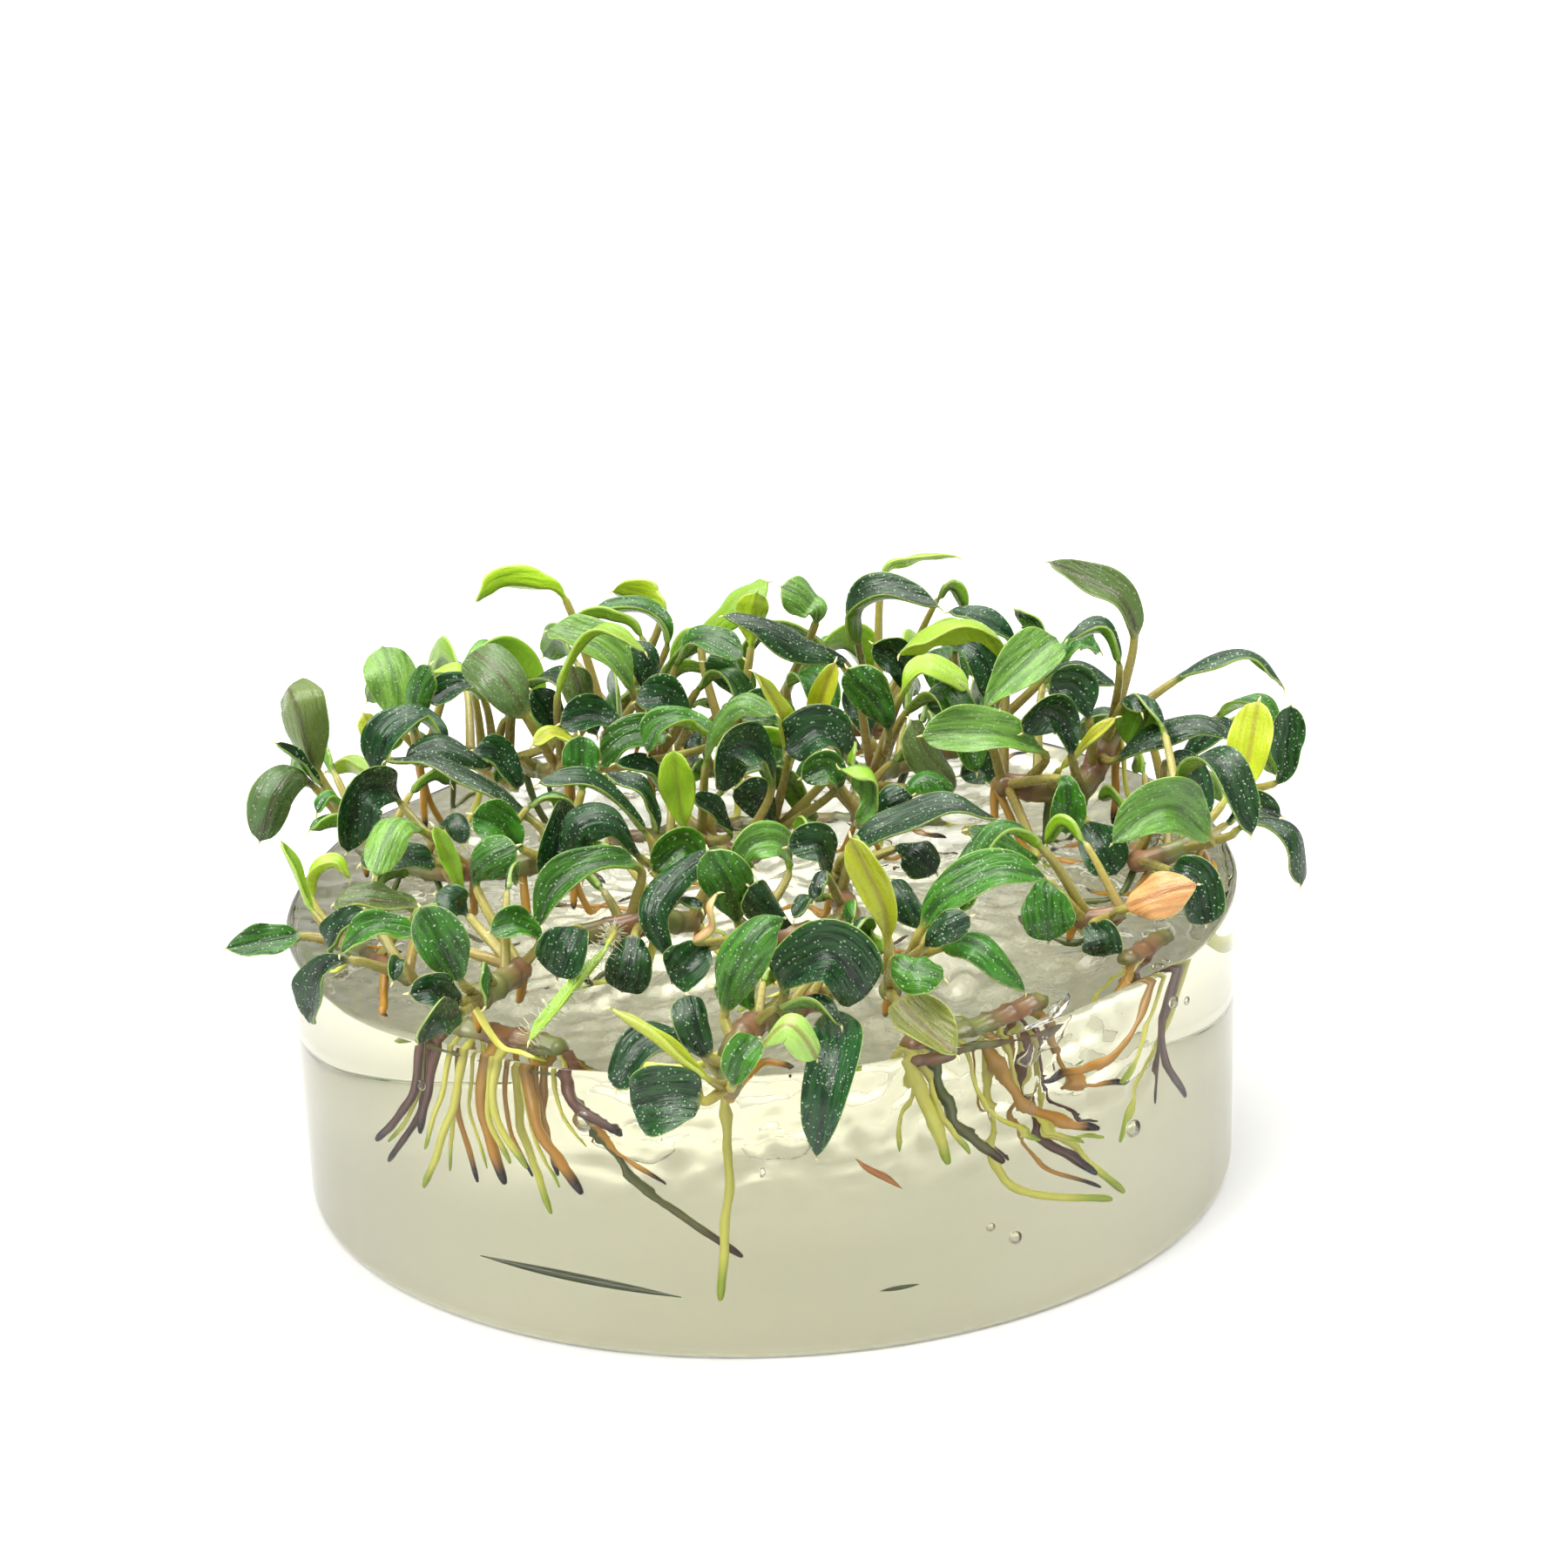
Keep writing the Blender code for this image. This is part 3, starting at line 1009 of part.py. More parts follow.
def main():
    for old in list(bpy.data.objects):
        bpy.data.objects.remove(old)
    parts = bpy.data.collections.new("bucephalandra")
    cutters = bpy.data.collections.new("cutters")
    helpers = bpy.data.collections.new("fused_pieces")
    for collection in (parts, cutters, helpers):
        bpy.context.scene.collection.children.link(collection)
    joins = make_gel(parts, cutters)
    for name in ROOT_STUBS:
        joins += make_root_tuft(name, parts, helpers)
    leaves = grow_leaves()
    for name in PLANTLETS:
        own = [piece for piece in leaves if piece["owner"] == name]
        joins += make_plantlet(name, own, parts, helpers)
    leaf_green = material("leaf", GREEN, 0.35)
    for piece in leaves:
        if piece["owner"] in SEEN_LEAVES:
            leaf = add_object("leaf_" + piece["owner"], *skin(piece["rings"], piece["tip"]), parts)
            leaf.data.materials.append(leaf_green)
    hide_helpers(cutters)
    hide_helpers(helpers)
    for target, group, operation in joins:
        join_with(target, group, operation)


if __name__ == "__main__":
    main()
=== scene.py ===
"""The look of the bucephalandra: fine leaves, rhizomes, roots and clear gel, in place of the solids.

Millimetres are used throughout and turned into metres where a mesh is made. The origin is the
middle of the gel's flat underside, +Z is up and the front of the puck faces -Y.
"""

import json
import math
import random

import bpy
import numpy as np
from mathutils import Matrix, Vector, noise
from mathutils.bvhtree import BVHTree

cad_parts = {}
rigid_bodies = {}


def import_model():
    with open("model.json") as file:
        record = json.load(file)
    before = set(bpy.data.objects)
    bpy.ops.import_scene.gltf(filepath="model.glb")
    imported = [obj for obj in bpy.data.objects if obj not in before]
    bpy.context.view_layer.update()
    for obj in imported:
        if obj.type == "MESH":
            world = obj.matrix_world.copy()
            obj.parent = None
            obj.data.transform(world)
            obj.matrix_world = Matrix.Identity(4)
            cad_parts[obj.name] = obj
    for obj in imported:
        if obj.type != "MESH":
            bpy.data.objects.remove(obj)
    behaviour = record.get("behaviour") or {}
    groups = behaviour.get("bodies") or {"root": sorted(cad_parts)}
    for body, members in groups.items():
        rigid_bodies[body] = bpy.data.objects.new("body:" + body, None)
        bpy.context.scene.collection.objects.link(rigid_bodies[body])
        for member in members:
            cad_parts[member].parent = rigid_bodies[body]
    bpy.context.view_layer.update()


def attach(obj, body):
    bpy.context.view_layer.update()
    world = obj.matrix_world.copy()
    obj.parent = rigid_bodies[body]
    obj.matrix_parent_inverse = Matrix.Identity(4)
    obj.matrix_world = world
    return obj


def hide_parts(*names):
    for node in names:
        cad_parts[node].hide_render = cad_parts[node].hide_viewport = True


MM = 0.001
UP = Vector((0, 0, 1))

# The gel puck: a low tapered disc, a little thicker at the back right
GEL_TOP_RADIUS = 42.2
GEL_FOOT_RADIUS = 41.8
GEL_HEIGHT = 26.0
GEL_TILT = 1.2
GEL_TILT_TOWARDS = math.radians(45)
GEL_LIP = 0.5
GEL_BENDING = 1.34
GAP = 0.3

# Where leaves and stems are seen from the front: their places are read in a square picture of the
# puck, across and down in pixels, and "back" is the distance in mm behind the puck's middle
VIEW_FROM = Vector((2.4, -300.0, 135.8))
VIEW_DOWN = math.radians(18.6)
VIEW_ROLL = math.radians(2.2)
VIEW_MIDDLE = 900
VIEW_FOCAL = 4104

# Leaves
BLADE_THICKNESS = 0.6
STALK_THICKNESS = 1.1
BUD_OFFSET = 0.35
BUD_SPACING = 1.3
BUD_MARGIN = 0.9
FINE = 120
LOOSE_START = 2.0
LEAF_FINE = 200
BEND_SHARE = 0.75
SHORTEST_STALK = 12
BLUNT_SHAPE = (2.6, 1.0, 0.5)
POINTED_SHAPE = (2.83, 0.75, 0.75)
STALK_STEPS = 1
LOOSE_BLADE_STEPS = 4
SEEN_BLADE_STEPS = 3
DEEP_BLADE_STEPS = 2
TURN_STEPS = 12
LOOSE_TRIMS = (0, 1.0, 2.0, 3.0)
SEEN_MOVES = (
    (0, 0), (0, 0.4), (0.7, 0.2), (-0.7, 0.2), (0.7, 0.8), (-0.7, 0.8), (1.4, 0.4), (-1.4, 0.4),
    (1.4, 1.2), (-1.4, 1.2), (2.4, 0.8), (-2.4, 0.8), (0, 1.6), (3.2, 1.4), (-3.2, 1.4),
)
ROOT_POINTS = 3

# Crowns are the knots of the rhizomes that leaves grow from: across, down, back
CROWNS = {
    "west_rim": (412, 968, 6),
    "west_inner": (520, 1000, -6),
    "west_back": (478, 872, 18),
    "southwest_rim": (384, 1078, -13),
    "southwest_inner": (474, 1124, -24),
    "left_front": (542, 1150, -33),
    "left_front_inner": (604, 1108, -26),
    "mid_left_end": (652, 1078, -23),
    "mid_left": (722, 1062, -22),
    "mid_left_inner": (800, 1058, -17),
    "strap_left": (652, 985, -5),
    "strap_mid": (752, 1000, -10),
    "back_left": (560, 868, 22),
    "back_left_inner": (652, 895, 11),
    "front_knob": (838, 1262, -45),
    "front_rise": (842, 1200, -42.5),
    "front_red": (885, 1166, -36.5),
    "front_red_inner": (952, 1143, -30),
    "right_front": (1018, 1143, -33),
    "right_front_inner": (1046, 1098, -25),
    "middle": (965, 1066, -21),
    "middle_up": (958, 1000, -11),
    "middle_left": (850, 1072, -20),
    "mid_centre": (845, 985, -2),
    "mid_centre_left": (798, 962, 0),
    "centre_knob": (888, 958, 5),
    "centre_right": (990, 945, 3),
    "centre_far": (1000, 890, 15),
    "back_mid_left": (745, 888, 15),
    "back_mid": (850, 880, 20),
    "back_far_left": (690, 845, 28),
    "back_far": (880, 838, 32),
    "back_far_right": (1020, 835, 31),
    "back_right": (1130, 850, 22),
    "right_high": (1283, 822, 8),
    "right_bend": (1262, 868, 7),
    "right_low": (1240, 905, 5),
    "right_inner": (1190, 905, 4),
    "right_inner_end": (1140, 898, 4),
    "right_rim": (1376, 968, -7),
    "right_rim_inner": (1308, 990, -8),
    "right_back": (1340, 905, 14),
    "right_under": (1232, 1058, -19),
    "right_under_rim": (1290, 1050, -18),
}

# Plantlets: the crowns that each rhizome runs through, and its radius in mm
PLANTLETS = {
    "plantlet_west": (("west_rim", "west_inner", "strap_left"), 1.3),
    "plantlet_west_back": (("west_back", "back_left", "back_left_inner"), 1.1),
    "plantlet_southwest": (("southwest_rim", "southwest_inner"), 1.0),
    "plantlet_left_front": (("left_front", "left_front_inner"), 1.5),
    "plantlet_mid_left": (("mid_left_end", "mid_left", "mid_left_inner"), 1.3),
    "plantlet_front": (("front_knob", "front_rise", "front_red", "front_red_inner"), 1.3),
    "plantlet_right_front": (("right_front", "right_front_inner"), 1.2),
    "plantlet_middle": (("middle_left", "middle", "middle_up"), 1.3),
    "plantlet_centre": (("strap_mid", "mid_centre_left", "mid_centre", "centre_knob"), 1.3),
    "plantlet_centre_right": (("centre_right", "centre_far", "back_right"), 1.3),
    "plantlet_back": (("back_mid_left", "back_mid"), 1.2),
    "plantlet_back_far": (("back_far_left", "back_far", "back_far_right"), 1.2),
    "plantlet_right": (("right_high", "right_bend", "right_low", "right_inner", "right_inner_end"), 1.5),
    "plantlet_right_rim": (("right_rim", "right_rim_inner", "right_back"), 1.3),
    "plantlet_right_under": (("right_under", "right_under_rim"), 1.2),
}

# Leaves read from the front view. Each has its crown, its blade's points from the stalk's end to the
# tip (across, down, back), its width in mm, and the turn of its upper face: 0 faces the viewer,
# 90 the sky and 180 shows the viewer its underside
SEEN_LEAVES = {
    "wedge": ("west_rim", [(364, 885, 4), (352, 845, 3), (342, 806, 3), (338, 797, 6)], 4.4, 170),
    "rolled_west": ("west_rim", [(372, 905, 2), (345, 872, 1), (320, 852, 0)], 1.3, 60),
    "hanging_west": ("west_rim", [(362, 905, 3), (340, 890, 0), (316, 912, -3), (300, 966, -4)], 4.2, 30),
    "lime_west": ("west_rim", [(430, 905, 10), (408, 880, 12), (374, 882, 12)], 2.8, 60),
    "arched_west": ("west_back", [(512, 858, 10), (485, 822, 10), (445, 842, 8), (428, 893, 7)], 4.2, 65),
    "long_strap": ("strap_left", [(615, 945, -3), (560, 902, -2), (500, 872, -1), (444, 865, 0)], 3.4, 65),
    "round_west": ("west_inner", [(462, 925, 2), (445, 903, -1), (412, 915, -4), (402, 978, -5)], 4.4, 25),
    "pale_broad": ("west_back", [(462, 838, 17), (455, 790, 18), (440, 742, 20)], 5.6, 15),
    "grey_behind": ("west_back", [(475, 842, 14), (478, 800, 13), (488, 768, 12)], 3.2, 30),
    "yellow_west": ("west_back", [(446, 872, 17), (430, 845, 17), (420, 820, 17)], 2.6, 20),
    "lime_under": ("back_left", [(545, 800, 18), (530, 766, 17), (497, 765, 16)], 2.4, 110),
    "dark_arch": ("back_left", [(556, 808, 15), (530, 790, 14), (492, 806, 12)], 3.0, 60),
    "grey_wedge": ("back_left_inner", [(603, 822, 8), (580, 785, 8), (545, 742, 10)], 4.8, 20),
    "paddle_top": (
        "back_far_left", [(650, 690, 28), (615, 670, 27), (575, 668, 26), (545, 688, 24)], 3.4, 140,
    ),
    "pale_tongue": ("back_mid_left", [(727, 795, 9), (692, 745, 9), (630, 718, 10)], 4.6, 30),
    "bowed_lime": ("back_left_inner", [(640, 800, 5), (655, 755, 5), (690, 722, 5), (742, 740, 4)], 2.6, 100),
    "top_blue": ("back_far_left", [(765, 745, 22), (745, 700, 22), (680, 697, 21)], 2.8, 60),
    "top_lime": ("back_far_left", [(758, 715, 27), (748, 688, 28), (708, 672, 29)], 3.4, 120),
    "thin_lime_top": ("back_mid_left", [(738, 735, 17), (700, 706, 17), (655, 704, 17)], 2.0, 110),
    "pale_arch": ("back_mid_left", [(775, 768, 13), (803, 733, 12), (852, 752, 10)], 3.4, 80),
    "blue_diagonal": (
        "centre_far", [(975, 768, 13), (920, 740, 12), (870, 712, 12), (834, 700, 12)], 3.8, 50,
    ),
    "backlit": ("back_mid", [(862, 745, 20), (863, 710, 20), (868, 680, 20)], 3.4, 170),
    "pale_tip": ("back_mid", [(805, 745, 23), (835, 702, 23), (876, 665, 23)], 4.4, 40),
    "fan_top": ("back_far", [(936, 716, 27), (928, 692, 27), (905, 672, 26)], 4.2, 30),
    "arch_top": (
        "back_far_right", [(985, 740, 20), (982, 697, 19), (1020, 680, 18), (1078, 692, 17)], 4.2, 85,
    ),
    "lime_strap": ("back_far_right", [(1012, 668, 31), (1045, 642, 31), (1097, 632, 31)], 2.6, 110),
    "small_arch": ("back_far_right", [(1075, 690, 25), (1095, 674, 25), (1110, 698, 25)], 1.6, 90),
    "lime_arch": (
        "right_inner_end", [(1152, 762, 7), (1125, 722, 6), (1075, 722, 5), (1030, 745, 4)], 4.6, 125,
    ),
    "dark_top_right": ("back_right", [(1165, 755, 21), (1140, 716, 21), (1092, 699, 21)], 3.6, 60),
    "dark_hanging_top": (
        "back_right", [(1096, 752, 16), (1116, 744, 14), (1136, 772, 13), (1142, 806, 12)], 3.2, 25,
    ),
    "pale_pointed": (
        "right_inner_end", [(1132, 817, 1), (1156, 782, 2), (1190, 748, 4), (1214, 728, 6)], 5.0, 10,
    ),
    "tall_leaf": ("right_high", [(1302, 735, 9), (1290, 690, 9), (1250, 665, 10), (1206, 642, 11)], 3.8, 45),
    "dark_bow": ("right_high", [(1285, 765, 4), (1268, 722, 4), (1226, 727, 4)], 2.4, 80),
    "low_bow": ("right_inner", [(1197, 790, 9), (1232, 763, 8), (1281, 781, 7)], 2.6, 80),
    "reaching_strap": (
        "right_high", [(1345, 784, 8), (1395, 755, 8), (1440, 752, 8), (1479, 783, 8)], 3.2, 75,
    ),
    "grey_strap": ("right_bend", [(1280, 873, 3), (1320, 845, 2), (1375, 829, 1), (1416, 843, 0)], 3.4, 55),
    "pale_spade": (
        "right_inner", [(1200, 866, -1), (1150, 842, -3), (1105, 838, -4), (1062, 840, -5)], 4.6, 40,
    ),
    "dark_round_right": (
        "right_low", [(1230, 868, -1), (1220, 828, -1), (1200, 818, -2), (1178, 842, -3)], 3.9, 25,
    ),
    "thin_yellow": ("right_inner", [(1215, 885, 0), (1245, 855, 0), (1277, 822, 0)], 1.4, 60),
    "small_hanging": ("right_inner", [(1216, 894, -5), (1226, 915, -6.5), (1224, 957, -7)], 3.4, 5),
    "dark_low_right": ("right_low", [(1248, 945, -4), (1262, 968, -7), (1282, 1003, -8)], 4.4, 10),
    "pale_big": (
        "right_rim", [(1390, 965, -9), (1352, 928, -12), (1312, 936, -13), (1280, 968, -14)], 5.2, 30,
    ),
    "striped_dark": (
        "right_back", [(1338, 876, 3), (1358, 872, 1), (1372, 895, 0), (1379, 940, -2)], 3.2, 20,
    ),
    "yellow_big": ("right_rim", [(1402, 925, -6), (1430, 880, -5), (1442, 806, -4)], 4.2, 15),
    "far_right": ("right_back", [(1462, 900, 6), (1478, 850, 6), (1480, 812, 6)], 3.4, 20),
    "dark_right_rim": ("right_rim", [(1405, 948, 1), (1432, 926, 0), (1470, 935, -1)], 3.0, 60),
    "hooked_right": (
        "right_rim", [(1402, 964, -9), (1440, 942, -10), (1485, 955, -11), (1498, 1014, -12)], 3.8, 75,
    ),
    "twisted_yellow": ("centre_knob", [(903, 880, 0), (900, 830, -1), (873, 773, -2)], 2.5, 50),
    "lime_tall": ("centre_right", [(942, 866, 2), (938, 820, 2), (955, 764, 1)], 2.3, 20),
    "curved_green": (
        "mid_centre_left", [(810, 880, -3), (820, 835, -4), (850, 805, -5), (889, 816, -6)], 2.8, 65,
    ),
    "curled_dark": ("mid_centre", [(886, 905, -3), (868, 858, -5), (838, 865, -8), (838, 908, -8)], 3.8, 65),
    "lime_spade": ("mid_centre_left", [(788, 950, -5), (779, 910, -6), (775, 868, -7)], 3.4, 5),
    "long_arch": ("strap_mid", [(745, 962, -10), (715, 922, -11), (670, 896, -12), (620, 897, -13)], 2.6, 60),
    "dark_big": ("strap_mid", [(735, 985, -15), (705, 943, -16), (665, 945, -17), (642, 982, -17)], 4.0, 50),
    "blue_strap": (
        "middle_up", [(968, 985, -15), (1010, 955, -16), (1085, 926, -16), (1145, 930, -16)], 4.4, 50,
    ),
    "green_right": ("right_inner_end", [(1190, 985, -8), (1150, 964, -9), (1113, 951, -9)], 3.2, 45),
    "paddle_left": ("southwest_rim", [(347, 1075, -14), (305, 1080, -15), (260, 1087, -16)], 3.2, 25),
    "rolled_left": ("southwest_rim", [(362, 1050, -12), (345, 1010, -11), (326, 966, -10)], 1.5, 60),
    "ring_curl": (
        "southwest_rim", [(360, 1035, -9), (360, 1003, -9), (384, 989, -9), (404, 1004, -9)], 1.7, 90,
    ),
    "dark_wavy": ("west_inner", [(500, 990, -10), (460, 984, -12), (416, 988, -13)], 3.6, 40),
    "grey_purple": ("southwest_inner", [(478, 1048, -17), (440, 1035, -18), (385, 1030, -18)], 3.0, 45),
    "dark_blue": ("southwest_inner", [(425, 1056, -20), (395, 1060, -20), (370, 1093, -20)], 3.4, 40),
    "level_strap": ("left_front_inner", [(482, 1075, -25), (430, 1064, -26), (388, 1090, -27)], 3.0, 40),
    "bright_speckled": ("left_front", [(530, 1128, -36), (512, 1090, -38), (485, 1045, -38)], 4.4, 5),
    "dark_pair_upper": ("left_front", [(528, 1150, -37), (500, 1137, -40), (474, 1142, -41)], 3.0, 15),
    "dark_pair_lower": ("left_front", [(530, 1162, -38), (505, 1168, -43), (486, 1201, -44)], 3.2, 15),
    "rim_leaf": ("southwest_inner", [(405, 1103, -24), (368, 1112, -24), (348, 1174, -22)], 3.6, 30),
    "lime_thin": ("west_inner", [(530, 1025, -14), (515, 985, -15), (499, 950, -15)], 1.8, 10),
    "speckled_small": ("left_front_inner", [(548, 1022, -18), (555, 992, -19), (588, 974, -20)], 3.8, 20),
    "dark_small": ("left_front_inner", [(538, 1052, -24), (520, 1034, -25), (502, 1026, -25)], 2.8, 20),
    "pale_bow": ("mid_left", [(735, 998, -21), (690, 990, -23), (640, 1015, -25), (612, 1065, -26)], 3.6, 50),
    "dark_wet": ("mid_left_end", [(662, 1066, -29), (650, 1088, -31.5), (638, 1122, -32)], 4.5, 15),
    "dark_tongue": ("mid_left", [(728, 1076, -26), (722, 1108, -28), (712, 1140, -28)], 4.0, 5),
    "dark_sickle": (
        "mid_left_inner", [(830, 975, -18), (775, 1005, -23), (750, 1050, -26), (772, 1105, -27)], 3.2, 40,
    ),
    "green_round": ("middle_left", [(847, 1060, -21), (838, 1020, -23), (815, 985, -24)], 4.8, 5),
    "dark_disc": ("middle_left", [(812, 1088, -29), (792, 1106, -31), (768, 1128, -31)], 4.2, 10),
    "big_green": (
        "front_rise", [(832, 1165, -41), (846, 1110, -43), (878, 1066, -43), (905, 1052, -42)], 4.2, 10,
    ),
    "big_dark_arch": (
        "front_red", [(896, 1165, -37), (908, 1115, -39), (955, 1096, -40), (1003, 1140, -40)], 5.2, 35,
    ),
    "front_yellow": ("right_front", [(1020, 1108, -35), (1014, 1045, -37), (978, 970, -37)], 3.0, 5),
    "small_spade": ("right_front", [(1026, 1102, -38), (1046, 1114, -40), (1080, 1118, -41)], 3.8, 10),
    "long_right": (
        "right_front_inner", [(1052, 1078, -29), (1086, 1030, -30), (1145, 998, -30), (1202, 1003, -29)],
        4.2, 40,
    ),
    "fold_right": ("right_front_inner", [(1062, 1086, -33), (1085, 1066, -34), (1112, 1052, -34)], 2.8, 20),
    "dark_right": ("right_front_inner", [(1080, 1088, -30), (1122, 1086, -33), (1180, 1136, -34)], 3.2, 40),
    "heart": ("right_under", [(1204, 1014, -23), (1201, 1045, -25), (1206, 1079, -26)], 4.9, 5),
    "olive_dead": ("right_front", [(1030, 1150, -37), (1060, 1176, -40), (1098, 1206, -42)], 4.6, 25),
    "orange_dead": ("right_under_rim", [(1268, 1054, -21), (1312, 1034, -23), (1368, 1012, -24)], 4.2, 20),
    "dark_hook": ("right_rim_inner", [(1344, 1000, -18), (1374, 1010, -20), (1385, 1060, -21)], 3.6, 30),
    "front_left_arch": ("front_knob", [(800, 1205, -43), (745, 1195, -44), (705, 1245, -46)], 3.4, 45),
    "front_hanging": ("front_knob", [(828, 1266, -46.5), (780, 1258, -48), (724, 1266, -47.5)], 5.4, 5),
    "yellow_spear": ("front_knob", [(815, 1240, -47), (760, 1195, -48), (704, 1154, -47)], 1.5, 60),
    "front_upright": ("front_knob", [(814, 1212, -45), (797, 1180, -45), (792, 1143, -44)], 3.0, 10),
    "front_small": ("front_knob", [(841, 1246, -48), (850, 1215, -49), (872, 1190, -48)], 3.0, 10),
    "lime_brown_rib": ("front_rise", [(874, 1200, -46), (906, 1178, -47), (940, 1215, -47)], 3.0, 40),
    "hook_mid": ("back_left_inner", [(812, 858, 1), (790, 828, 0), (755, 832, -1), (738, 858, -2)], 3.0, 70),
    "green_mid": ("back_left_inner", [(690, 880, 4), (718, 850, 3), (762, 836, 3)], 4.2, 45),
    "green_upright": ("strap_left", [(668, 908, -6), (667, 876, -6), (665, 847, -6)], 3.6, 0),
    "yellow_low": ("back_left_inner", [(660, 858, 4), (636, 842, 4), (611, 850, 3)], 1.9, 60),
    "behind_strap": ("back_left", [(560, 880, 8), (512, 856, 7), (466, 862, 6)], 3.6, 50),
    "dark_drop": ("strap_left", [(600, 975, -8), (575, 948, -9), (545, 935, -10)], 4.2, 30),
    "grey_vertical": (
        "strap_left", [(662, 940, -9), (650, 936, -12), (640, 970, -14), (634, 1012, -15)], 4.0, 10,
    ),
    "speckled_mid": ("strap_mid", [(800, 1004, -15), (785, 972, -16), (750, 998, -17)], 3.6, 45),
    "dark_block": ("centre_knob", [(965, 872, 1), (940, 838, 0), (905, 862, -1)], 4.4, 40),
    "green_fan": ("centre_far", [(1020, 838, 8), (1004, 802, 7), (978, 772, 6)], 4.2, 10),
    "lime_fold": ("centre_far", [(1034, 800, 9), (1062, 766, 9), (1112, 790, 8)], 3.6, 60),
    "cup_small": ("centre_knob", [(958, 908, -3), (950, 882, -4), (924, 892, -5)], 3.2, 45),
    "round_pale": (
        "centre_right", [(985, 945, -5), (1001, 920, -6), (994, 890, -7), (966, 893, -8)], 3.4, 30,
    ),
    "dark_gap": ("centre_right", [(1012, 950, -3), (1022, 926, -4), (1046, 914, -4)], 3.4, 20),
    "dark_shelf": ("centre_right", [(1030, 918, 1), (1058, 894, 1), (1094, 906, 0)], 3.2, 50),
    "dark_droplet": ("middle_up", [(1026, 975, -12), (1050, 980, -14), (1074, 998, -15)], 3.8, 20),
    "small_top": ("back_right", [(1180, 748, 22), (1188, 716, 22), (1164, 706, 22)], 3.4, 30),
    "green_top": ("back_right", [(1216, 762, 19), (1236, 736, 19), (1264, 744, 19)], 3.6, 50),
    "dark_blue_right": ("right_bend", [(1250, 826, 3), (1234, 792, 3), (1208, 792, 2)], 4.2, 30),
    "curl_pale": (
        "middle_left", [(905, 1004, -14), (896, 966, -16), (864, 968, -18), (846, 992, -19)], 3.4, 60,
    ),
    "grey_curl": ("middle_up", [(952, 1004, -16), (940, 968, -18), (908, 974, -19)], 3.6, 45),
    "dark_shadow": ("right_under_rim", [(1254, 1064, -23), (1264, 1082, -25), (1266, 1107, -25)], 3.6, 5),
    "dark_hanging": (
        "front_red_inner", [(955, 1160, -37), (962, 1200, -44), (947, 1262, -47), (932, 1334, -47)], 4.4, 5,
    ),
    "hairy_shoot": ("mid_left", [(700, 1080, -28), (655, 1136, -33), (606, 1190, -37)], 1.3, 60),
    "dead_curl": (
        "middle_left", [(800, 1082, -31), (816, 1062, -32), (812, 1040, -32), (822, 1026, -31)], 1.3, 60,
    ),
    "deep_left": ("back_left_inner", [(714, 846, 6), (682, 822, 5), (644, 828, 4)], 3.6, 50),
    "deep_purple": ("back_left_inner", [(674, 828, 8), (666, 796, 8), (659, 766, 8)], 3.2, 20),
    "deep_blue": ("back_left", [(640, 850, 14), (628, 815, 13), (612, 793, 13)], 3.4, 20),
    "deep_round": ("back_mid_left", [(748, 800, 13), (742, 765, 13), (733, 738, 13)], 3.2, 10),
    "deep_fold": ("back_mid_left", [(788, 836, 9), (766, 804, 7), (734, 802, 6)], 4.2, 50),
    "deep_stalk_side": ("back_mid", [(850, 806, 16), (836, 770, 15), (814, 762, 14)], 3.4, 30),
    "deep_band": ("centre_knob", [(912, 838, 8), (882, 814, 7), (846, 814, 6)], 3.4, 50),
    "deep_under_curl": ("mid_centre", [(882, 955, 1), (872, 918, 0), (848, 908, -1)], 3.8, 30),
    "deep_narrow": ("mid_centre_left", [(838, 960, -3), (822, 932, -4), (798, 914, -5)], 2.6, 50),
    "deep_long": ("strap_mid", [(756, 962, -8), (742, 912, -8), (700, 884, -8)], 2.6, 60),
    "deep_long_back": ("mid_centre_left", [(772, 920, 2), (748, 886, 2), (712, 872, 1)], 2.6, 60),
    "deep_small_green": ("left_front_inner", [(620, 1080, -27), (594, 1060, -28), (566, 1066, -29)], 2.8, 40),
    "deep_square": ("back_far_right", [(1036, 792, 24), (1030, 756, 23), (1008, 742, 22)], 3.8, 30),
    "deep_upright": ("centre_far", [(1000, 850, 16), (990, 815, 17), (984, 780, 18)], 3.6, 15),
    "deep_right": ("back_right", [(1106, 840, 12), (1092, 808, 11), (1064, 802, 10)], 3.6, 40),
    "deep_brown": ("centre_far", [(1092, 906, 6), (1064, 866, 5), (1050, 828, 5)], 4.0, 20),
    "deep_behind_stem": ("back_right", [(1152, 905, 13), (1130, 882, 12), (1106, 888, 11)], 3.4, 40),
    "deep_right_back": ("right_back", [(1352, 880, 9), (1382, 838, 9), (1412, 822, 9)], 3.4, 50),
    "deep_far_left": ("back_left", [(592, 905, 10), (570, 868, 9), (545, 860, 9)], 3.4, 40),
    "deep_front": ("middle", [(912, 1066, -21), (884, 1044, -22), (862, 1018, -23)], 3.6, 30),
    "deep_behind_green": ("front_red", [(866, 1160, -36), (852, 1134, -36), (826, 1134, -37)], 3.4, 30),
    "deep_mid_right": (
        "right_front_inner", [(1062, 1072, -22), (1044, 1040, -21), (1028, 1008, -20)], 3.4, 20,
    ),
}

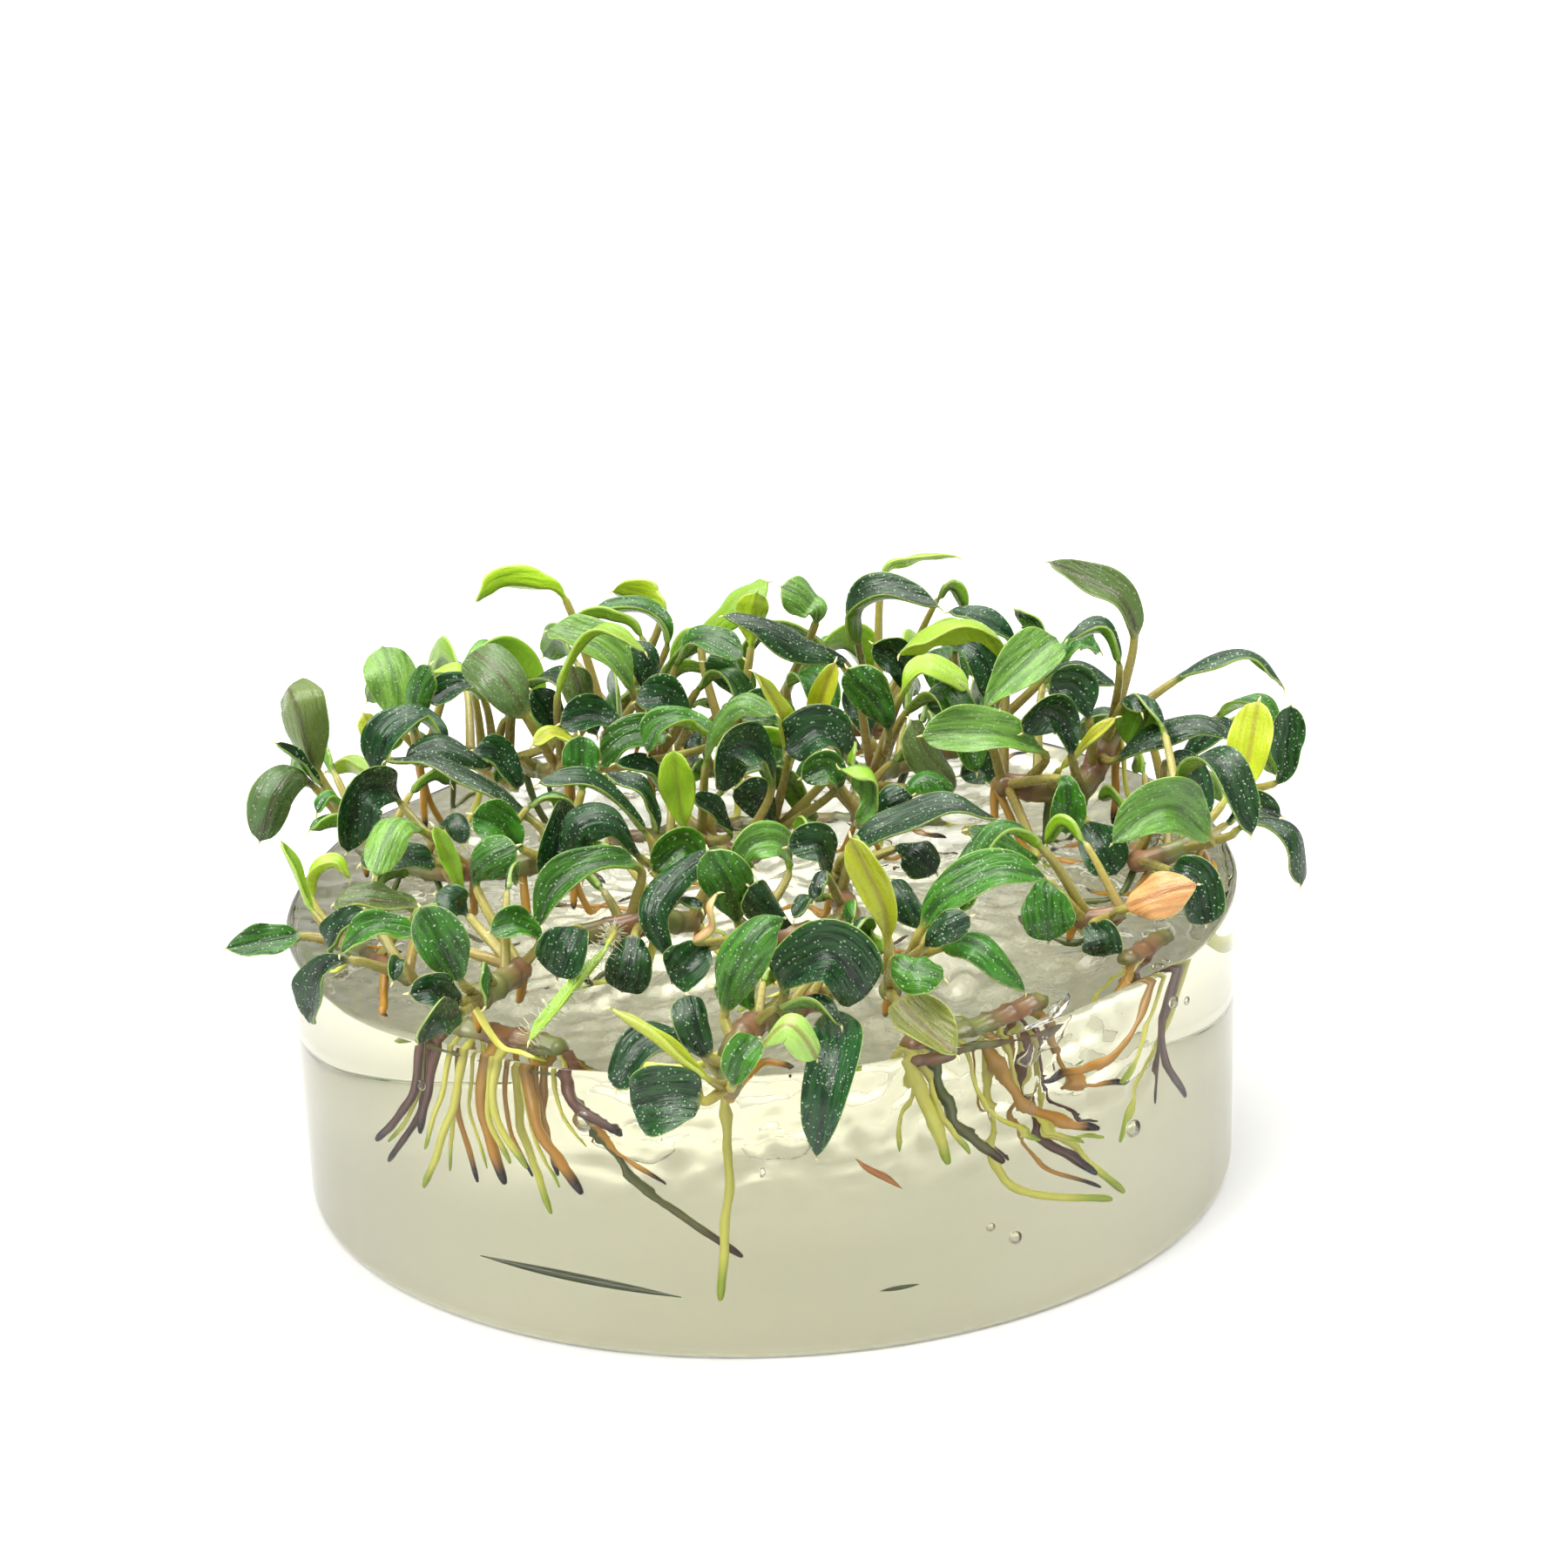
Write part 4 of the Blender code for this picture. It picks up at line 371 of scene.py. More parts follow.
# The leaves that are solids of their own. The others are fused to the plantlet they grow from
LOOSE_LEAVES = (
    "long_strap", "round_west", "pale_broad", "paddle_top", "pale_tongue", "bowed_lime",
    "blue_diagonal", "arch_top", "lime_arch", "pale_pointed", "tall_leaf", "reaching_strap", "pale_spade",
    "pale_big", "yellow_big", "hooked_right", "twisted_yellow", "curved_green", "curled_dark",
    "long_arch", "dark_big", "blue_strap", "paddle_left", "level_strap", "bright_speckled", "rim_leaf",
    "pale_bow", "dark_sickle", "big_green", "big_dark_arch", "front_yellow", "long_right",
    "front_hanging", "dark_hanging", "orange_dead",
)

# Leaves deep in the cushion, whose blades have fewer sections
DEEP_LEAVES = (
    "deep_left", "deep_purple", "deep_blue", "deep_round", "deep_fold", "deep_stalk_side", "deep_band",
    "deep_under_curl", "deep_narrow", "deep_long", "deep_long_back", "deep_small_green", "deep_square",
    "deep_upright", "deep_right", "deep_brown", "deep_behind_stem", "deep_right_back", "deep_far_left",
    "deep_front", "deep_behind_green", "deep_mid_right",
)

# Leaves whose blades are widest at the middle and run to a point
POINTED_LEAVES = (
    "blue_strap", "long_right", "long_strap", "blue_diagonal", "reaching_strap", "grey_strap", "arch_top",
    "lime_strap", "tall_leaf", "dark_right", "dark_hanging", "level_strap", "paddle_left", "olive_dead",
    "pale_big", "dark_sickle", "big_green", "pale_bow", "twisted_yellow", "yellow_spear", "orange_dead",
)

# Leaves that only show from the sides, the back and above: how many each crown grows
HIDDEN_LEAVES = {
    "west_rim": 1, "west_inner": 1, "west_back": 2, "back_left": 3, "mid_centre_left": 1, "back_mid_left": 1,
    "back_mid": 1, "back_far_left": 4, "back_far": 4, "back_far_right": 4, "back_right": 2, "right_back": 3,
    "right_rim": 1, "right_rim_inner": 1, "right_under": 2, "centre_far": 1, "centre_right": 1,
}
HIDDEN_LENGTH = (9, 15)
HIDDEN_WIDTH = (3.2, 4.8)
HIDDEN_STALK = (3, 7)
SEED = 11

# Root tufts: the stub in the gel's top that the roots spring from (x, y in mm), and its radius
ROOT_STUBS = {
    "roots_left": ([(-27, -28), (-22, -31), (-16, -34)], 1.6),
    "roots_front": ([(-4.5, -38.4), (-2, -38.6)], 1.0),
    "roots_right": ([(11, -37), (17, -34), (23, -29.5)], 1.5),
    "roots_right_rim": ([(30, -23), (34.5, -17)], 1.3),
    "roots_back": ([(-14, 13), (2, 17), (17, 13)], 1.4),
}
STUB_SUNK = 0.5
ANCHOR_OFFSET = Vector((0.22, 0.13, -0.3))

# Roots seen through the gel's front: the tuft, where along its stub, the places that the root runs
# through (across, down, and mm behind the gel's front), and its thickness in mm
ROOTS = (
    ("roots_left", 0.0, [(476, 1255, 3), (433, 1308, 3)], 1.1),
    ("roots_left", 0.05, [(480, 1290, 6), (447, 1332, 6)], 0.9),
    ("roots_left", 0.15, [(488, 1262, 2.5), (483, 1300, 2.5)], 1.2),
    ("roots_left", 0.35, [(518, 1280, 2.2), (487, 1362, 2.2)], 1.0),
    ("roots_left", 0.3, [(528, 1290, 7), (549, 1356, 7)], 0.8),
    ("roots_left", 0.5, [(556, 1280, 3.5), (580, 1358, 3)], 1.5),
    ("roots_left", 0.6, [(563, 1262, 1.8), (605, 1340, 2)], 1.0),
    ("roots_left", 0.7, [(600, 1300, 6.5), (633, 1392, 6)], 0.9),
    ("roots_left", 0.75, [(612, 1280, 2.2), (668, 1370, 1.8)], 1.4),
    ("roots_left", 0.9, [(626, 1300, 5), (640, 1350, 5)], 0.9),
    ("roots_left", 1.0, [(660, 1265, 2.8), (716, 1303, 2.4)], 1.4),
    ("roots_left", 0.95, [(720, 1345, 4.5), (852, 1442, 3.5)], 1.0),
    ("roots_front", 0.5, [(836, 1330, 1.8), (827, 1492, 1.6)], 1.1),
    ("roots_right", 0.0, [(1066, 1270, 1.8), (1088, 1335, 1.8)], 1.5),
    ("roots_right", 0.15, [(1100, 1290, 3), (1152, 1335, 3)], 1.4),
    ("roots_right", 0.5, [(1160, 1262, 2.5), (1262, 1296, 2.5)], 1.3),
    ("roots_right", 0.75, [(1185, 1300, 6), (1195, 1335, 6), (1258, 1347, 4)], 1.1),
    ("roots_right", 0.9, [(1240, 1250, 5), (1293, 1240, 5)], 1.2),
    ("roots_right", 0.55, [(1165, 1395, 7), (1276, 1376, 5)], 1.0),
    ("roots_right", 0.8, [(1215, 1320, 9), (1290, 1368, 6)], 1.0),
    ("roots_right", 0.1, [(1040, 1270, 6), (1032, 1325, 6)], 1.0),
    ("roots_right_rim", 0.3, [(1278, 1216, 1.6), (1200, 1241, 1.4)], 1.1),
    ("roots_right_rim", 0.7, [(1330, 1215, 5), (1360, 1258, 4)], 1.1),
    ("roots_right_rim", 1.0, [(1312, 1240, 9), (1285, 1310, 8)], 0.9),
)

# Roots at the back of the gel: the tuft, where along its stub, the places in mm, and the thickness
ROOTS_BEHIND = (
    ("roots_back", 0.0, [(-17, 15, 17), (-21, 18, 10)], 1.0),
    ("roots_back", 0.45, [(0, 21, 18), (-5, 25, 11)], 1.0),
    ("roots_back", 1.0, [(23, 16, 19), (27, 15, 12)], 1.0),
)

# Fine leaves: points round a ring, rings along the stalk and along the blade
LEAF_ROUND = 24
STALK_RINGS = 12
BLADE_RINGS = 30
STALK_FOOT = 0.95
STALK_NECK = 0.7
BLADE_DEPTH = 0.5
FULLNESS = 1.05
SLIMNESS = 0.94
BAND_FULLNESS = 0.5
BAND_LEAVES = (
    "front_hanging", "big_dark_arch", "dark_tongue", "dark_hook", "wedge", "grey_wedge", "curled_dark",
    "front_left_arch", "dark_block", "grey_purple", "front_upright", "dark_wavy",
)
NECK_REACH = 0.06
NECK_LEAST = 0.6
NECK_FULL_WIDTH = 8
FLAT_FROM = 0.16
BLADE_THINNING = 0.45
LEAST_DEPTH = 0.05
BODY_ROUNDNESS = 0.8
EDGE_DEPTH = 0.16
GROOVE_DEPTH = 0.13
GROOVE_WIDTH = 0.24
KEEL_DEPTH = 0.2
KEEL_WIDTH = 0.3
OFF_EDGE = 0.05
TIP_CALM = 0.15
TIP_HOOK = 0.8
TIP_HOOK_WIDTH = 0.22
TIP_HOOK_RINGS = 4
TIP_HOOK_BEND = 0.9
FOLDS = (0.25, 0.75)
FOLD_SIDES = (-1, 1, 1)
FOLD_CURVE = 1.6
FOLD_MIDDLE = 0.3
RIPPLES = (0.05, 0.16)
WAVES = (1.2, 2.4)
PHASES = (0, 6.28)
TWISTS = (-0.45, 0.45)
TWIST_CURVE = 1.5
TIP_CURLS = (0.1, 0.55)
CURL_FROM = 0.55

# Leaf colours in linear values: upper face, underside, midrib, and how thickly pale dots cover it
LEAF_LOOKS = {
    "dark": ((0.011, 0.056, 0.012), (0.100, 0.230, 0.012), (0.002, 0.008, 0.004), 1.0),
    "green": ((0.036, 0.150, 0.009), (0.160, 0.330, 0.010), (0.007, 0.032, 0.003), 1.0),
    "pale": ((0.145, 0.310, 0.048), (0.260, 0.430, 0.025), (0.045, 0.110, 0.016), 0.9),
    "ribbed": ((0.300, 0.480, 0.090), (0.340, 0.520, 0.120), (0.160, 0.050, 0.030), 0.3),
    "lime": ((0.240, 0.430, 0.018), (0.340, 0.520, 0.020), (0.220, 0.310, 0.025), 0.3),
    "yellow": ((0.400, 0.470, 0.018), (0.500, 0.540, 0.025), (0.260, 0.200, 0.020), 0.3),
    "brown": ((0.080, 0.140, 0.035), (0.130, 0.175, 0.040), (0.060, 0.045, 0.022), 0.6),
    "olive": ((0.260, 0.270, 0.050), (0.300, 0.300, 0.060), (0.130, 0.050, 0.030), 0.5),
    "dead": ((0.640, 0.360, 0.150), (0.660, 0.400, 0.190), (0.300, 0.120, 0.040), 0.4),
}
LOOKS_OF = {
    "green": (
        "paddle_left", "level_strap", "bright_speckled", "big_green", "long_right", "small_spade",
        "green_round", "green_right", "heart", "pale_bow", "speckled_small", "small_hanging", "pale_arch",
        "grey_behind", "dark_right", "front_small", "top_blue", "green_mid", "green_upright",
        "speckled_mid", "green_fan", "cup_small", "dark_shelf", "small_top", "green_top", "hook_mid",
        "dark_drop", "deep_stalk_side", "deep_small_green", "deep_right", "deep_behind_green",
    ),
    "pale": (
        "pale_broad", "pale_tongue", "pale_pointed", "pale_spade", "pale_big", "curved_green", "fan_top",
        "thin_lime_top", "curl_pale", "round_pale",
    ),
    "lime": (
        "lime_west", "lime_under", "bowed_lime", "top_lime", "lime_strap", "lime_arch", "lime_spade",
        "paddle_top", "pale_tip", "lime_fold", "rolled_left", "backlit", "lime_thin",
        "ring_curl", "hairy_shoot",
    ),
    "yellow": (
        "lime_tall", "twisted_yellow", "yellow_big", "front_yellow", "yellow_spear", "thin_yellow",
        "yellow_west", "yellow_low",
    ),
    "brown": ("wedge", "grey_wedge", "grey_purple", "tall_leaf", "hanging_west", "deep_purple", "deep_brown"),
    "ribbed": ("lime_brown_rib",),
    "olive": ("olive_dead",),
    "dead": ("orange_dead", "dead_curl"),
}
HIDDEN_LOOKS = ("dark", "dark", "green", "green", "pale")
STALK_COLOUR = (0.330, 0.290, 0.070)
STALK_RED = (0.210, 0.085, 0.040)
LEAF_EDGE = (0.420, 0.520, 0.150)
DOT_COLOUR = (0.420, 0.560, 0.380)
TIP_COLOUR = (0.800, 0.740, 0.350)
LEAF_TONES = (0.8, 1.25)
LEAF_WARMTHS = (0.9, 1.15)
STALK_REDS = (0.0, 0.6)
STALK_COLOUR_REACH = 0.1
BASE_TONE = 1.12
TIP_FADE = 0.22
PATTERN_SPREAD = 100

# Dots, sheen and thin edges of leaves
DOTS_PER_MM = 3.2
DOT_SIZE = 0.17
DOT_EDGE = 0.05
DOT_STRENGTH = 0.65
DOT_SCATTER = 0.9
DOT_SIZE_NOISE = 2.5
DOT_SIZE_SPREAD = 0.14
DOT_BUMP = 0.6
RIB_WIDTHS = (0.38, 0.05)
EDGE_WIDTHS = (0.08, 0.02)
STREAK_LEVELS = (0.42, 0.68)
GRAIN_SCALE = 4.0
GRAIN_OF_STREAKS = 6.0
SHEEN_SCALE = 1.3
SHEEN_LEVELS = (0.3, 0.7)
STREAK_STRETCH = (2.6, 0.3, 0.0)
STREAK_STRENGTH = 0.75
RIB_STRENGTH = 0.6
EDGE_STRENGTH = 0.5
ROUGH_LOW = 0.2
ROUGH_HIGH = 0.36
BUMP_STRENGTH = 0.6
BUMP_METRES = 0.00006
GLOW_THROUGH = 0.22
GLOW_COLOUR = (0.7, 1.0, 0.25)

# Rhizomes
RHIZOME_ROUND = 14
RHIZOME_STEP = 0.35
RING_SPACING = 2.3
RING_SWELL = 0.14
RING_SHARPNESS = 0.12
RHIZOME_SLIMNESS = 0.88
RHIZOME_ENDS = (0.8, 0.45)
RED_BAND_TURN = 0.7
RED_BAND_DEPTH = 0.7
SCAR_DEPTH = 0.55
RHIZOME_OLIVE = (0.180, 0.200, 0.060)
RHIZOME_RED = (0.260, 0.085, 0.055)
RHIZOME_SCAR = (0.080, 0.045, 0.025)

# Roots: colours along them from the stub to the tip
ROOT_ROUND = 10
ROOT_STEP = 0.4
ROOT_SLIMNESS = 0.85
ROOT_WANDER = 0.3
ROOT_TAPER = 0.25
ROOT_BUMPS = 0.05
ROOT_BUMP_TURN = 2.1
ROOT_SWAY_ACROSS = 0.9
ROOT_SWAY_UP = 0.7
ROOT_TIP = (0.95, 0.8, 0.5)
ROOT_MIDDLE_AT = 0.7
ROOT_TIP_FROM = 0.8
ROOT_TIP_BLEND = 0.12
LEAST_TUBE_STEPS = 8
CREEPING_KINDS = ("tan", "tan", "green", "cream")
FINE_ROOT_KINDS = ("cream", "cream", "tan", "dark")
ROOT_LOOKS = {
    "cream": ((0.620, 0.580, 0.130), (0.700, 0.690, 0.130), (0.330, 0.430, 0.030)),
    "tan": ((0.330, 0.190, 0.035), (0.520, 0.250, 0.030), (0.012, 0.006, 0.006)),
    "dark": ((0.160, 0.070, 0.040), (0.090, 0.035, 0.025), (0.012, 0.007, 0.008)),
    "green": ((0.060, 0.110, 0.020), (0.110, 0.110, 0.030), (0.050, 0.025, 0.010)),
}
ROOT_KINDS = (
    "dark", "dark", "dark", "cream", "tan", "tan", "cream", "cream", "tan", "tan", "dark", "green",
    "cream", "cream", "green", "tan", "dark", "tan", "cream", "cream", "cream", "tan", "dark", "cream",
)

# Gel
GEL_FINE_SIDES = 400
GEL_SIDE_RINGS = 52
GEL_TOP_RINGS = 60
GEL_TORN_FROM = math.radians(-118)
GEL_TORN_TO = math.radians(-38)
GEL_TORN_LOW = 13.0
GEL_TORN_DEPTH = 1.5
GEL_TORN_BLEND = 0.25
GEL_TORN_RISE = 5
GEL_WAVE = 0.06
GEL_WAVE_SPREAD = 4
GEL_WAVE_RISE = 0.08
GEL_FOLDS = ((0.3, 0.3, 5.0, 1.0), (0.8, 0.6, 9.0, 0.5))
GEL_FOOT_BEVEL = ((0.7, 0.02), (0.2, 0.22), (0.0, 0.7))
GEL_RIM_DROP = 0.9
GEL_TOP_SPREAD = 1.15
GEL_CALM_FROM = 0.88
GEL_ROUGH = ((0.22, 3.1, 0.6), (0.5, 7.7, 0.5))
GEL_CREASES = (0.8, 1.3, 0.5)
GEL_TINT = (0.985, 0.985, 0.960, 1)
GEL_ABSORBS = (0.76, 0.74, 0.32, 1)
GEL_DENSITY = 8.0
GEL_FOOT_ROUGHNESS = 0.45
GEL_ROUGHNESS = 0.0
BUBBLE_RINGS = 10
BUBBLE_SIDES = 18

# Stage
LENS_MM = 82.08
SENSOR_MM = 36.0
FLOOR_SIZE = 4.0
FLOOR_WHITE = (0.62, 0.62, 0.63, 1)
FLOOR_ROUGHNESS = 0.6

# Sky: its even light, then soft bright patches: towards, how narrow, how bright
SKY_COLOUR = (1.0, 0.995, 0.965, 1)
SKY_BASE = 0.45
SKY_LOBES = (
    ((-0.10, -0.12, 1.0), 8, 5.2),
    ((-0.50, -0.45, 0.74), 40, 14.0),
    ((0.45, -0.20, 0.87), 60, 10.0),
    ((0.10, 0.42, 0.90), 50, 8.0),
    ((0.0, 1.0, 0.25), 2, 0.32),
)

# Bubbles in the gel: across, down, mm behind its front, radius in mm
BUBBLES = (
    (485, 1245, 2.0, 0.5), (670, 1285, 2.5, 0.9), (1300, 1295, 2.5, 0.8), (1345, 1150, 3.0, 0.6),
    (1360, 1148, 3.0, 0.4), (1165, 1420, 2.5, 0.6), (1137, 1408, 3.0, 0.4), (875, 1345, 4.0, 0.3),
)

# Slivers in the gel, the dark ones a painted reflection: their two ends across and down, mm behind its front,
# and their height
SLIVERS = (
    ((552, 1441), (782, 1489), 1.6, 0.8),
    ((1010, 1482), (1055, 1474), 1.5, 0.4),
    ((982, 1332), (1036, 1366), 2.0, 0.6),
)
# The two dark olive colours are painted reflection: they stand in for the dark plants that thin air gaps in
# the gel mirror. The third is orange.
SLIVER_COLOURS = ((0.050, 0.065, 0.020), (0.050, 0.065, 0.020), (0.480, 0.180, 0.050))

# Thin torn hollows in the gel, seen as bright rims: across, down, mm behind its front, half length in mm,
# and lean in radians
CRACKS = (
    (735, 1318, 5.0, 3.4, 0.15), (900, 1322, 4.5, 3.0, 0.1), (1205, 1192, 1.6, 3.4, -0.6),
)
CRACK_THICKNESS = 0.12
CRACK_BREADTH = 0.35
CRACK_RAGGEDNESS = 0.5
CRACK_RAG_SPREAD = 1.3
CRACK_BOW = 0.12
CRACK_BEND = 0.5
CRACK_BEND_SPREAD = 0.8
CRACK_SPIN = 0.9
SLIVER_STEPS = 24
SLIVER_SIDES = 10

# Fine growth: extra thin roots in each tuft, roots creeping over the gel, and young leaves on rhizomes
FINE_ROOT_SHARE = 0.55
FINE_ROOT_REACH = 0.8
CREEPING_SPACING = 3.2
CREEPING_LENGTH = (5, 13)
CREEPING_WIDTH = (0.5, 1.0)
CREEPING_STEPS = (0.3, 0.6, 0.85, 1.0)
CREEPING_FAN = 2.1
CREEPING_BEND = 0.4
CREEPING_RIM = 2.0
CREEPING_LIFT = 0.25
CREEPING_SINK = 2.2
YOUNG_SPACING = 1.3
YOUNG_REACH = 45.0
YOUNG_LENGTH = (3.0, 6.5)
YOUNG_STALK = (1.0, 6.0)
YOUNG_WIDTH = (1.4, 2.4)
YOUNG_FAN = 2.4
YOUNG_SWING = 0.7
YOUNG_OUT = 1.2
YOUNG_CREST_RISE = (0.1, 0.35)
YOUNG_TIP_RISE = (-0.3, 0.2)
YOUNG_TRIES = 8
YOUNG_LOOKS = ("dark", "dark", "green")

# The lime shoot at the left front that is thick with white root hairs
HAIRY_LEAF = "hairy_shoot"
HAIRS = 260
HAIR_LENGTH = (0.5, 1.1)
HAIR_WIDTH = 0.05
HAIR_COLOUR = (0.75, 0.80, 0.50)
HAIR_FOOT = 0.3
HAIR_LEAN = 0.3


def view_axes():
    """Which way is right, up and ahead in the front view."""
    ahead = Vector((0, math.cos(VIEW_DOWN), -math.sin(VIEW_DOWN)))
    level_up = Vector((0, math.sin(VIEW_DOWN), math.cos(VIEW_DOWN)))
    right = Vector((math.cos(VIEW_ROLL), 0, 0)) - math.sin(VIEW_ROLL) * level_up
    up = Vector((math.sin(VIEW_ROLL), 0, 0)) + math.cos(VIEW_ROLL) * level_up
    return right, up, ahead


def seen(across, down, back):
    """The place, in mm, that the front view shows at this pixel and this distance back."""
    right, up, ahead = view_axes()
    ray = ahead + right * ((across - VIEW_MIDDLE) / VIEW_FOCAL) + up * ((VIEW_MIDDLE - down) / VIEW_FOCAL)
    return VIEW_FROM + ray * ((back - VIEW_FROM.y) / ray.y)


def gel_wall(z):
    """Radius of the gel's side at height z."""
    share = min(max(z / GEL_HEIGHT, 0), 1)
    return GEL_FOOT_RADIUS + (GEL_TOP_RADIUS - GEL_FOOT_RADIUS) * share


def seen_inside(across, down, depth):
    """The place in the gel that the front view shows at this pixel, depth mm behind the gel's front.
    The line of sight bends where it enters the gel."""
    sight = (seen(across, down, -GEL_FOOT_RADIUS) - VIEW_FROM).normalized()
    flat = Vector((sight.x, sight.y))
    start = Vector((VIEW_FROM.x, VIEW_FROM.y))
    half = start.dot(flat)
    reach = half ** 2 - flat.length_squared * (start.length_squared - GEL_FOOT_RADIUS ** 2)
    hit = VIEW_FROM + sight * ((-half - math.sqrt(max(reach, 0))) / flat.length_squared)
    outward = Vector((hit.x, hit.y, 0)).normalized()
    into = -sight.dot(outward)
    bent = math.sqrt(1 - (1 - into ** 2) / GEL_BENDING ** 2)
    inner = sight / GEL_BENDING + outward * (into / GEL_BENDING - bent)
    return hit + inner * (depth / max(inner.y, 0.3))


def gel_top(x, y):
    """Height of the gel's top at x, y: tilted a little, with a low lip round the rim."""
    towards = math.atan2(y, x) - GEL_TILT_TOWARDS
    out = min(math.hypot(x, y) / GEL_TOP_RADIUS, 1.0)
    lip = GEL_LIP * out ** 8
    ripple = 0.35 * math.sin(0.23 * x + 1.1) * math.cos(0.19 * y - 0.4)
    return GEL_HEIGHT - GEL_LIP + GEL_TILT * out * math.cos(towards) + lip + ripple


def smooth(points, count):
    """Points at even distances along a smooth curve through the given ones."""
    ends = [points[0] * 2 - points[1]] + list(points) + [points[-1] * 2 - points[-2]]
    fine = [points[0]]
    for a, b, c, d in zip(ends, ends[1:], ends[2:], ends[3:]):
        for step in range(1, 13):
            t = step / 12
            fine.append(
                0.5 * (2 * b + (c - a) * t + (2 * a - 5 * b + 4 * c - d) * t ** 2
                       + (3 * b - a - 3 * c + d) * t ** 3)
            )
    return spaced(fine, count)


def spaced(points, count):
    """The same line with count points at even distances."""
    run = [0.0]
    for a, b in zip(points, points[1:]):
        run.append(run[-1] + (b - a).length)
    made = []
    place = 0
    for index in range(count):
        want = run[-1] * index / (count - 1)
        while place < len(run) - 2 and run[place + 1] < want:
            place += 1
        share = (want - run[place]) / max(run[place + 1] - run[place], 1e-9)
        made.append(points[place].lerp(points[place + 1], min(share, 1.0)))
    return made


def line_length(line):
    """How long a line is."""
    return sum((b - a).length for a, b in zip(line, line[1:]))


def directions(points):
    """The direction of the line at each of its points."""
    made = []
    for index in range(len(points)):
        before = points[max(index - 1, 0)]
        after = points[min(index + 1, len(points) - 1)]
        made.append((after - before).normalized())
    return made


def face_normals(points, turn):
    """Which way the upper face looks at each point: set at the middle by turn, and carried along."""
    along = directions(points)
    middle = len(points) // 2
    viewer = (VIEW_FROM - points[middle]).normalized()
    tangent = along[middle]
    flat = (viewer - tangent * viewer.dot(tangent)).normalized()
    side = tangent.cross(flat)
    if side.z < 0:
        side = -side
    start = math.cos(turn) * flat + math.sin(turn) * side
    normals = [start] * len(points)
    for order in (range(middle + 1, len(points)), range(middle - 1, -1, -1)):
        carried = start
        for index in order:
            carried = (carried - along[index] * carried.dot(along[index])).normalized()
            normals[index] = carried
    return normals


def blade_width(share, is_pointed):
    """Width of a blade as a share of its widest, from its base at 0 to its tip at 1. A pointed blade is
    widest at its middle, and the others beyond it."""
    scale, rise, fall = POINTED_SHAPE if is_pointed else BLUNT_SHAPE
    return scale * max(share, 0.02) ** rise * max(1 - share, 0.0) ** fall


def blade_half(leaf, share):
    """Half the width of a leaf's blade, in mm."""
    return leaf["width"] / 2 * blade_width(share, leaf["name"] in POINTED_LEAVES)


def bend_limit(line, along, side, index):
    """The half width at which a leaf that bends edgewise would fold into itself."""
    before = max(index - 1, 0)
    edgewise = abs((along[index + 1] - along[before]).dot(side))
    return BEND_SHARE * (line[index + 1] - line[before]).length / max(edgewise, 0.01)


def leaf_sections(leaf, stalk_steps, blade_steps):
    """The rings of a leaf's solid: a thin stalk, then a flat four-sided blade, up to its tip."""
    start = leaf["crown"]
    stalk = smooth([start] + leaf["points"], LEAF_FINE)
    base_at = nearest(stalk, leaf["points"][0])
    stalk_line = spaced(stalk[: base_at + 1], stalk_steps + 1)[:-1]
    blade_line = spaced(stalk[base_at:], blade_steps + 1)
    line = stalk_line + blade_line
    normals = face_normals(line, leaf["turn"])
    along = directions(line)
    rings = []
    for index, point in enumerate(line[:-1]):
        side = along[index].cross(normals[index])
        share = (index - stalk_steps) / blade_steps
        half = STALK_THICKNESS / 2
        if share > 0:
            half = max(half, min(blade_half(leaf, share), bend_limit(line, along, side, index)))
        thick = STALK_THICKNESS / 2 if share <= 0 else BLADE_THICKNESS / 2 * (1 - 0.4 * share) + 0.05
        rings.append([
            point + side * half,
            point + normals[index] * thick,
            point - side * half,
            point - normals[index] * thick,
        ])
    return rings, line[-1]


def nearest(points, place):
    """Index of the point nearest to a place."""
    return min(range(len(points)), key=lambda index: (points[index] - place).length_squared)


def skin(rings, tip):
    """Vertices and faces of the loft through the rings, closed by a cap at its foot and a point at its tip.
    Every face's diagonal starts from an even corner, so the two sides of a thin twisted leaf stay apart."""
    places = [point for ring in rings for point in ring] + [tip]
    sides = len(rings[0])
    faces = [tuple(reversed(range(sides)))]
    for level in range(len(rings) - 1):
        for corner in range(sides):
            here = level * sides + corner
            beside = level * sides + (corner + 1) % sides
            if corner % 2 == 0:
                faces.append((here, beside, beside + sides))
                faces.append((here, beside + sides, here + sides))
            else:
                faces.append((here, beside, here + sides))
                faces.append((beside, beside + sides, here + sides))
    last = (len(rings) - 1) * sides
    for corner in range(sides):
        faces.append((last + corner, last + (corner + 1) % sides, len(places) - 1))
    return places, faces


def tree_of(places, faces):
    """A search tree of a piece, for telling whether others touch it."""
    return BVHTree.FromPolygons([tuple(place) for place in places], faces)


def swollen(rings, tip, gap):
    """The rings of a leaf grown by a gap all round."""
    grown = []
    for ring in rings:
        middle = sum(ring, Vector()) / len(ring)
        grown.append([place + (place - middle).normalized() * gap for place in ring])
    ahead = (tip - sum(rings[-1], Vector()) / len(rings[-1])).normalized()
    return grown, tip + ahead * gap


def in_gel(place):
    """Whether a place is inside the gel, or nearer to it than the gap."""
    margin = GAP + 0.15
    if math.hypot(place.x, place.y) > gel_wall(place.z) + margin:
        return False
    return place.z < gel_top(place.x, place.y) + margin


def rhizome_line(name):
    """Points along a plantlet's rhizome."""
    crowns, _ = PLANTLETS[name]
    knots = [seen(*CROWNS[crown]) for crown in crowns]
    return smooth(knots, 2 * len(knots) - 1)


def plantlet_of(crown):
    """The plantlet that a crown belongs to."""
    return next(name for name, (crowns, _) in PLANTLETS.items() if crown in crowns)


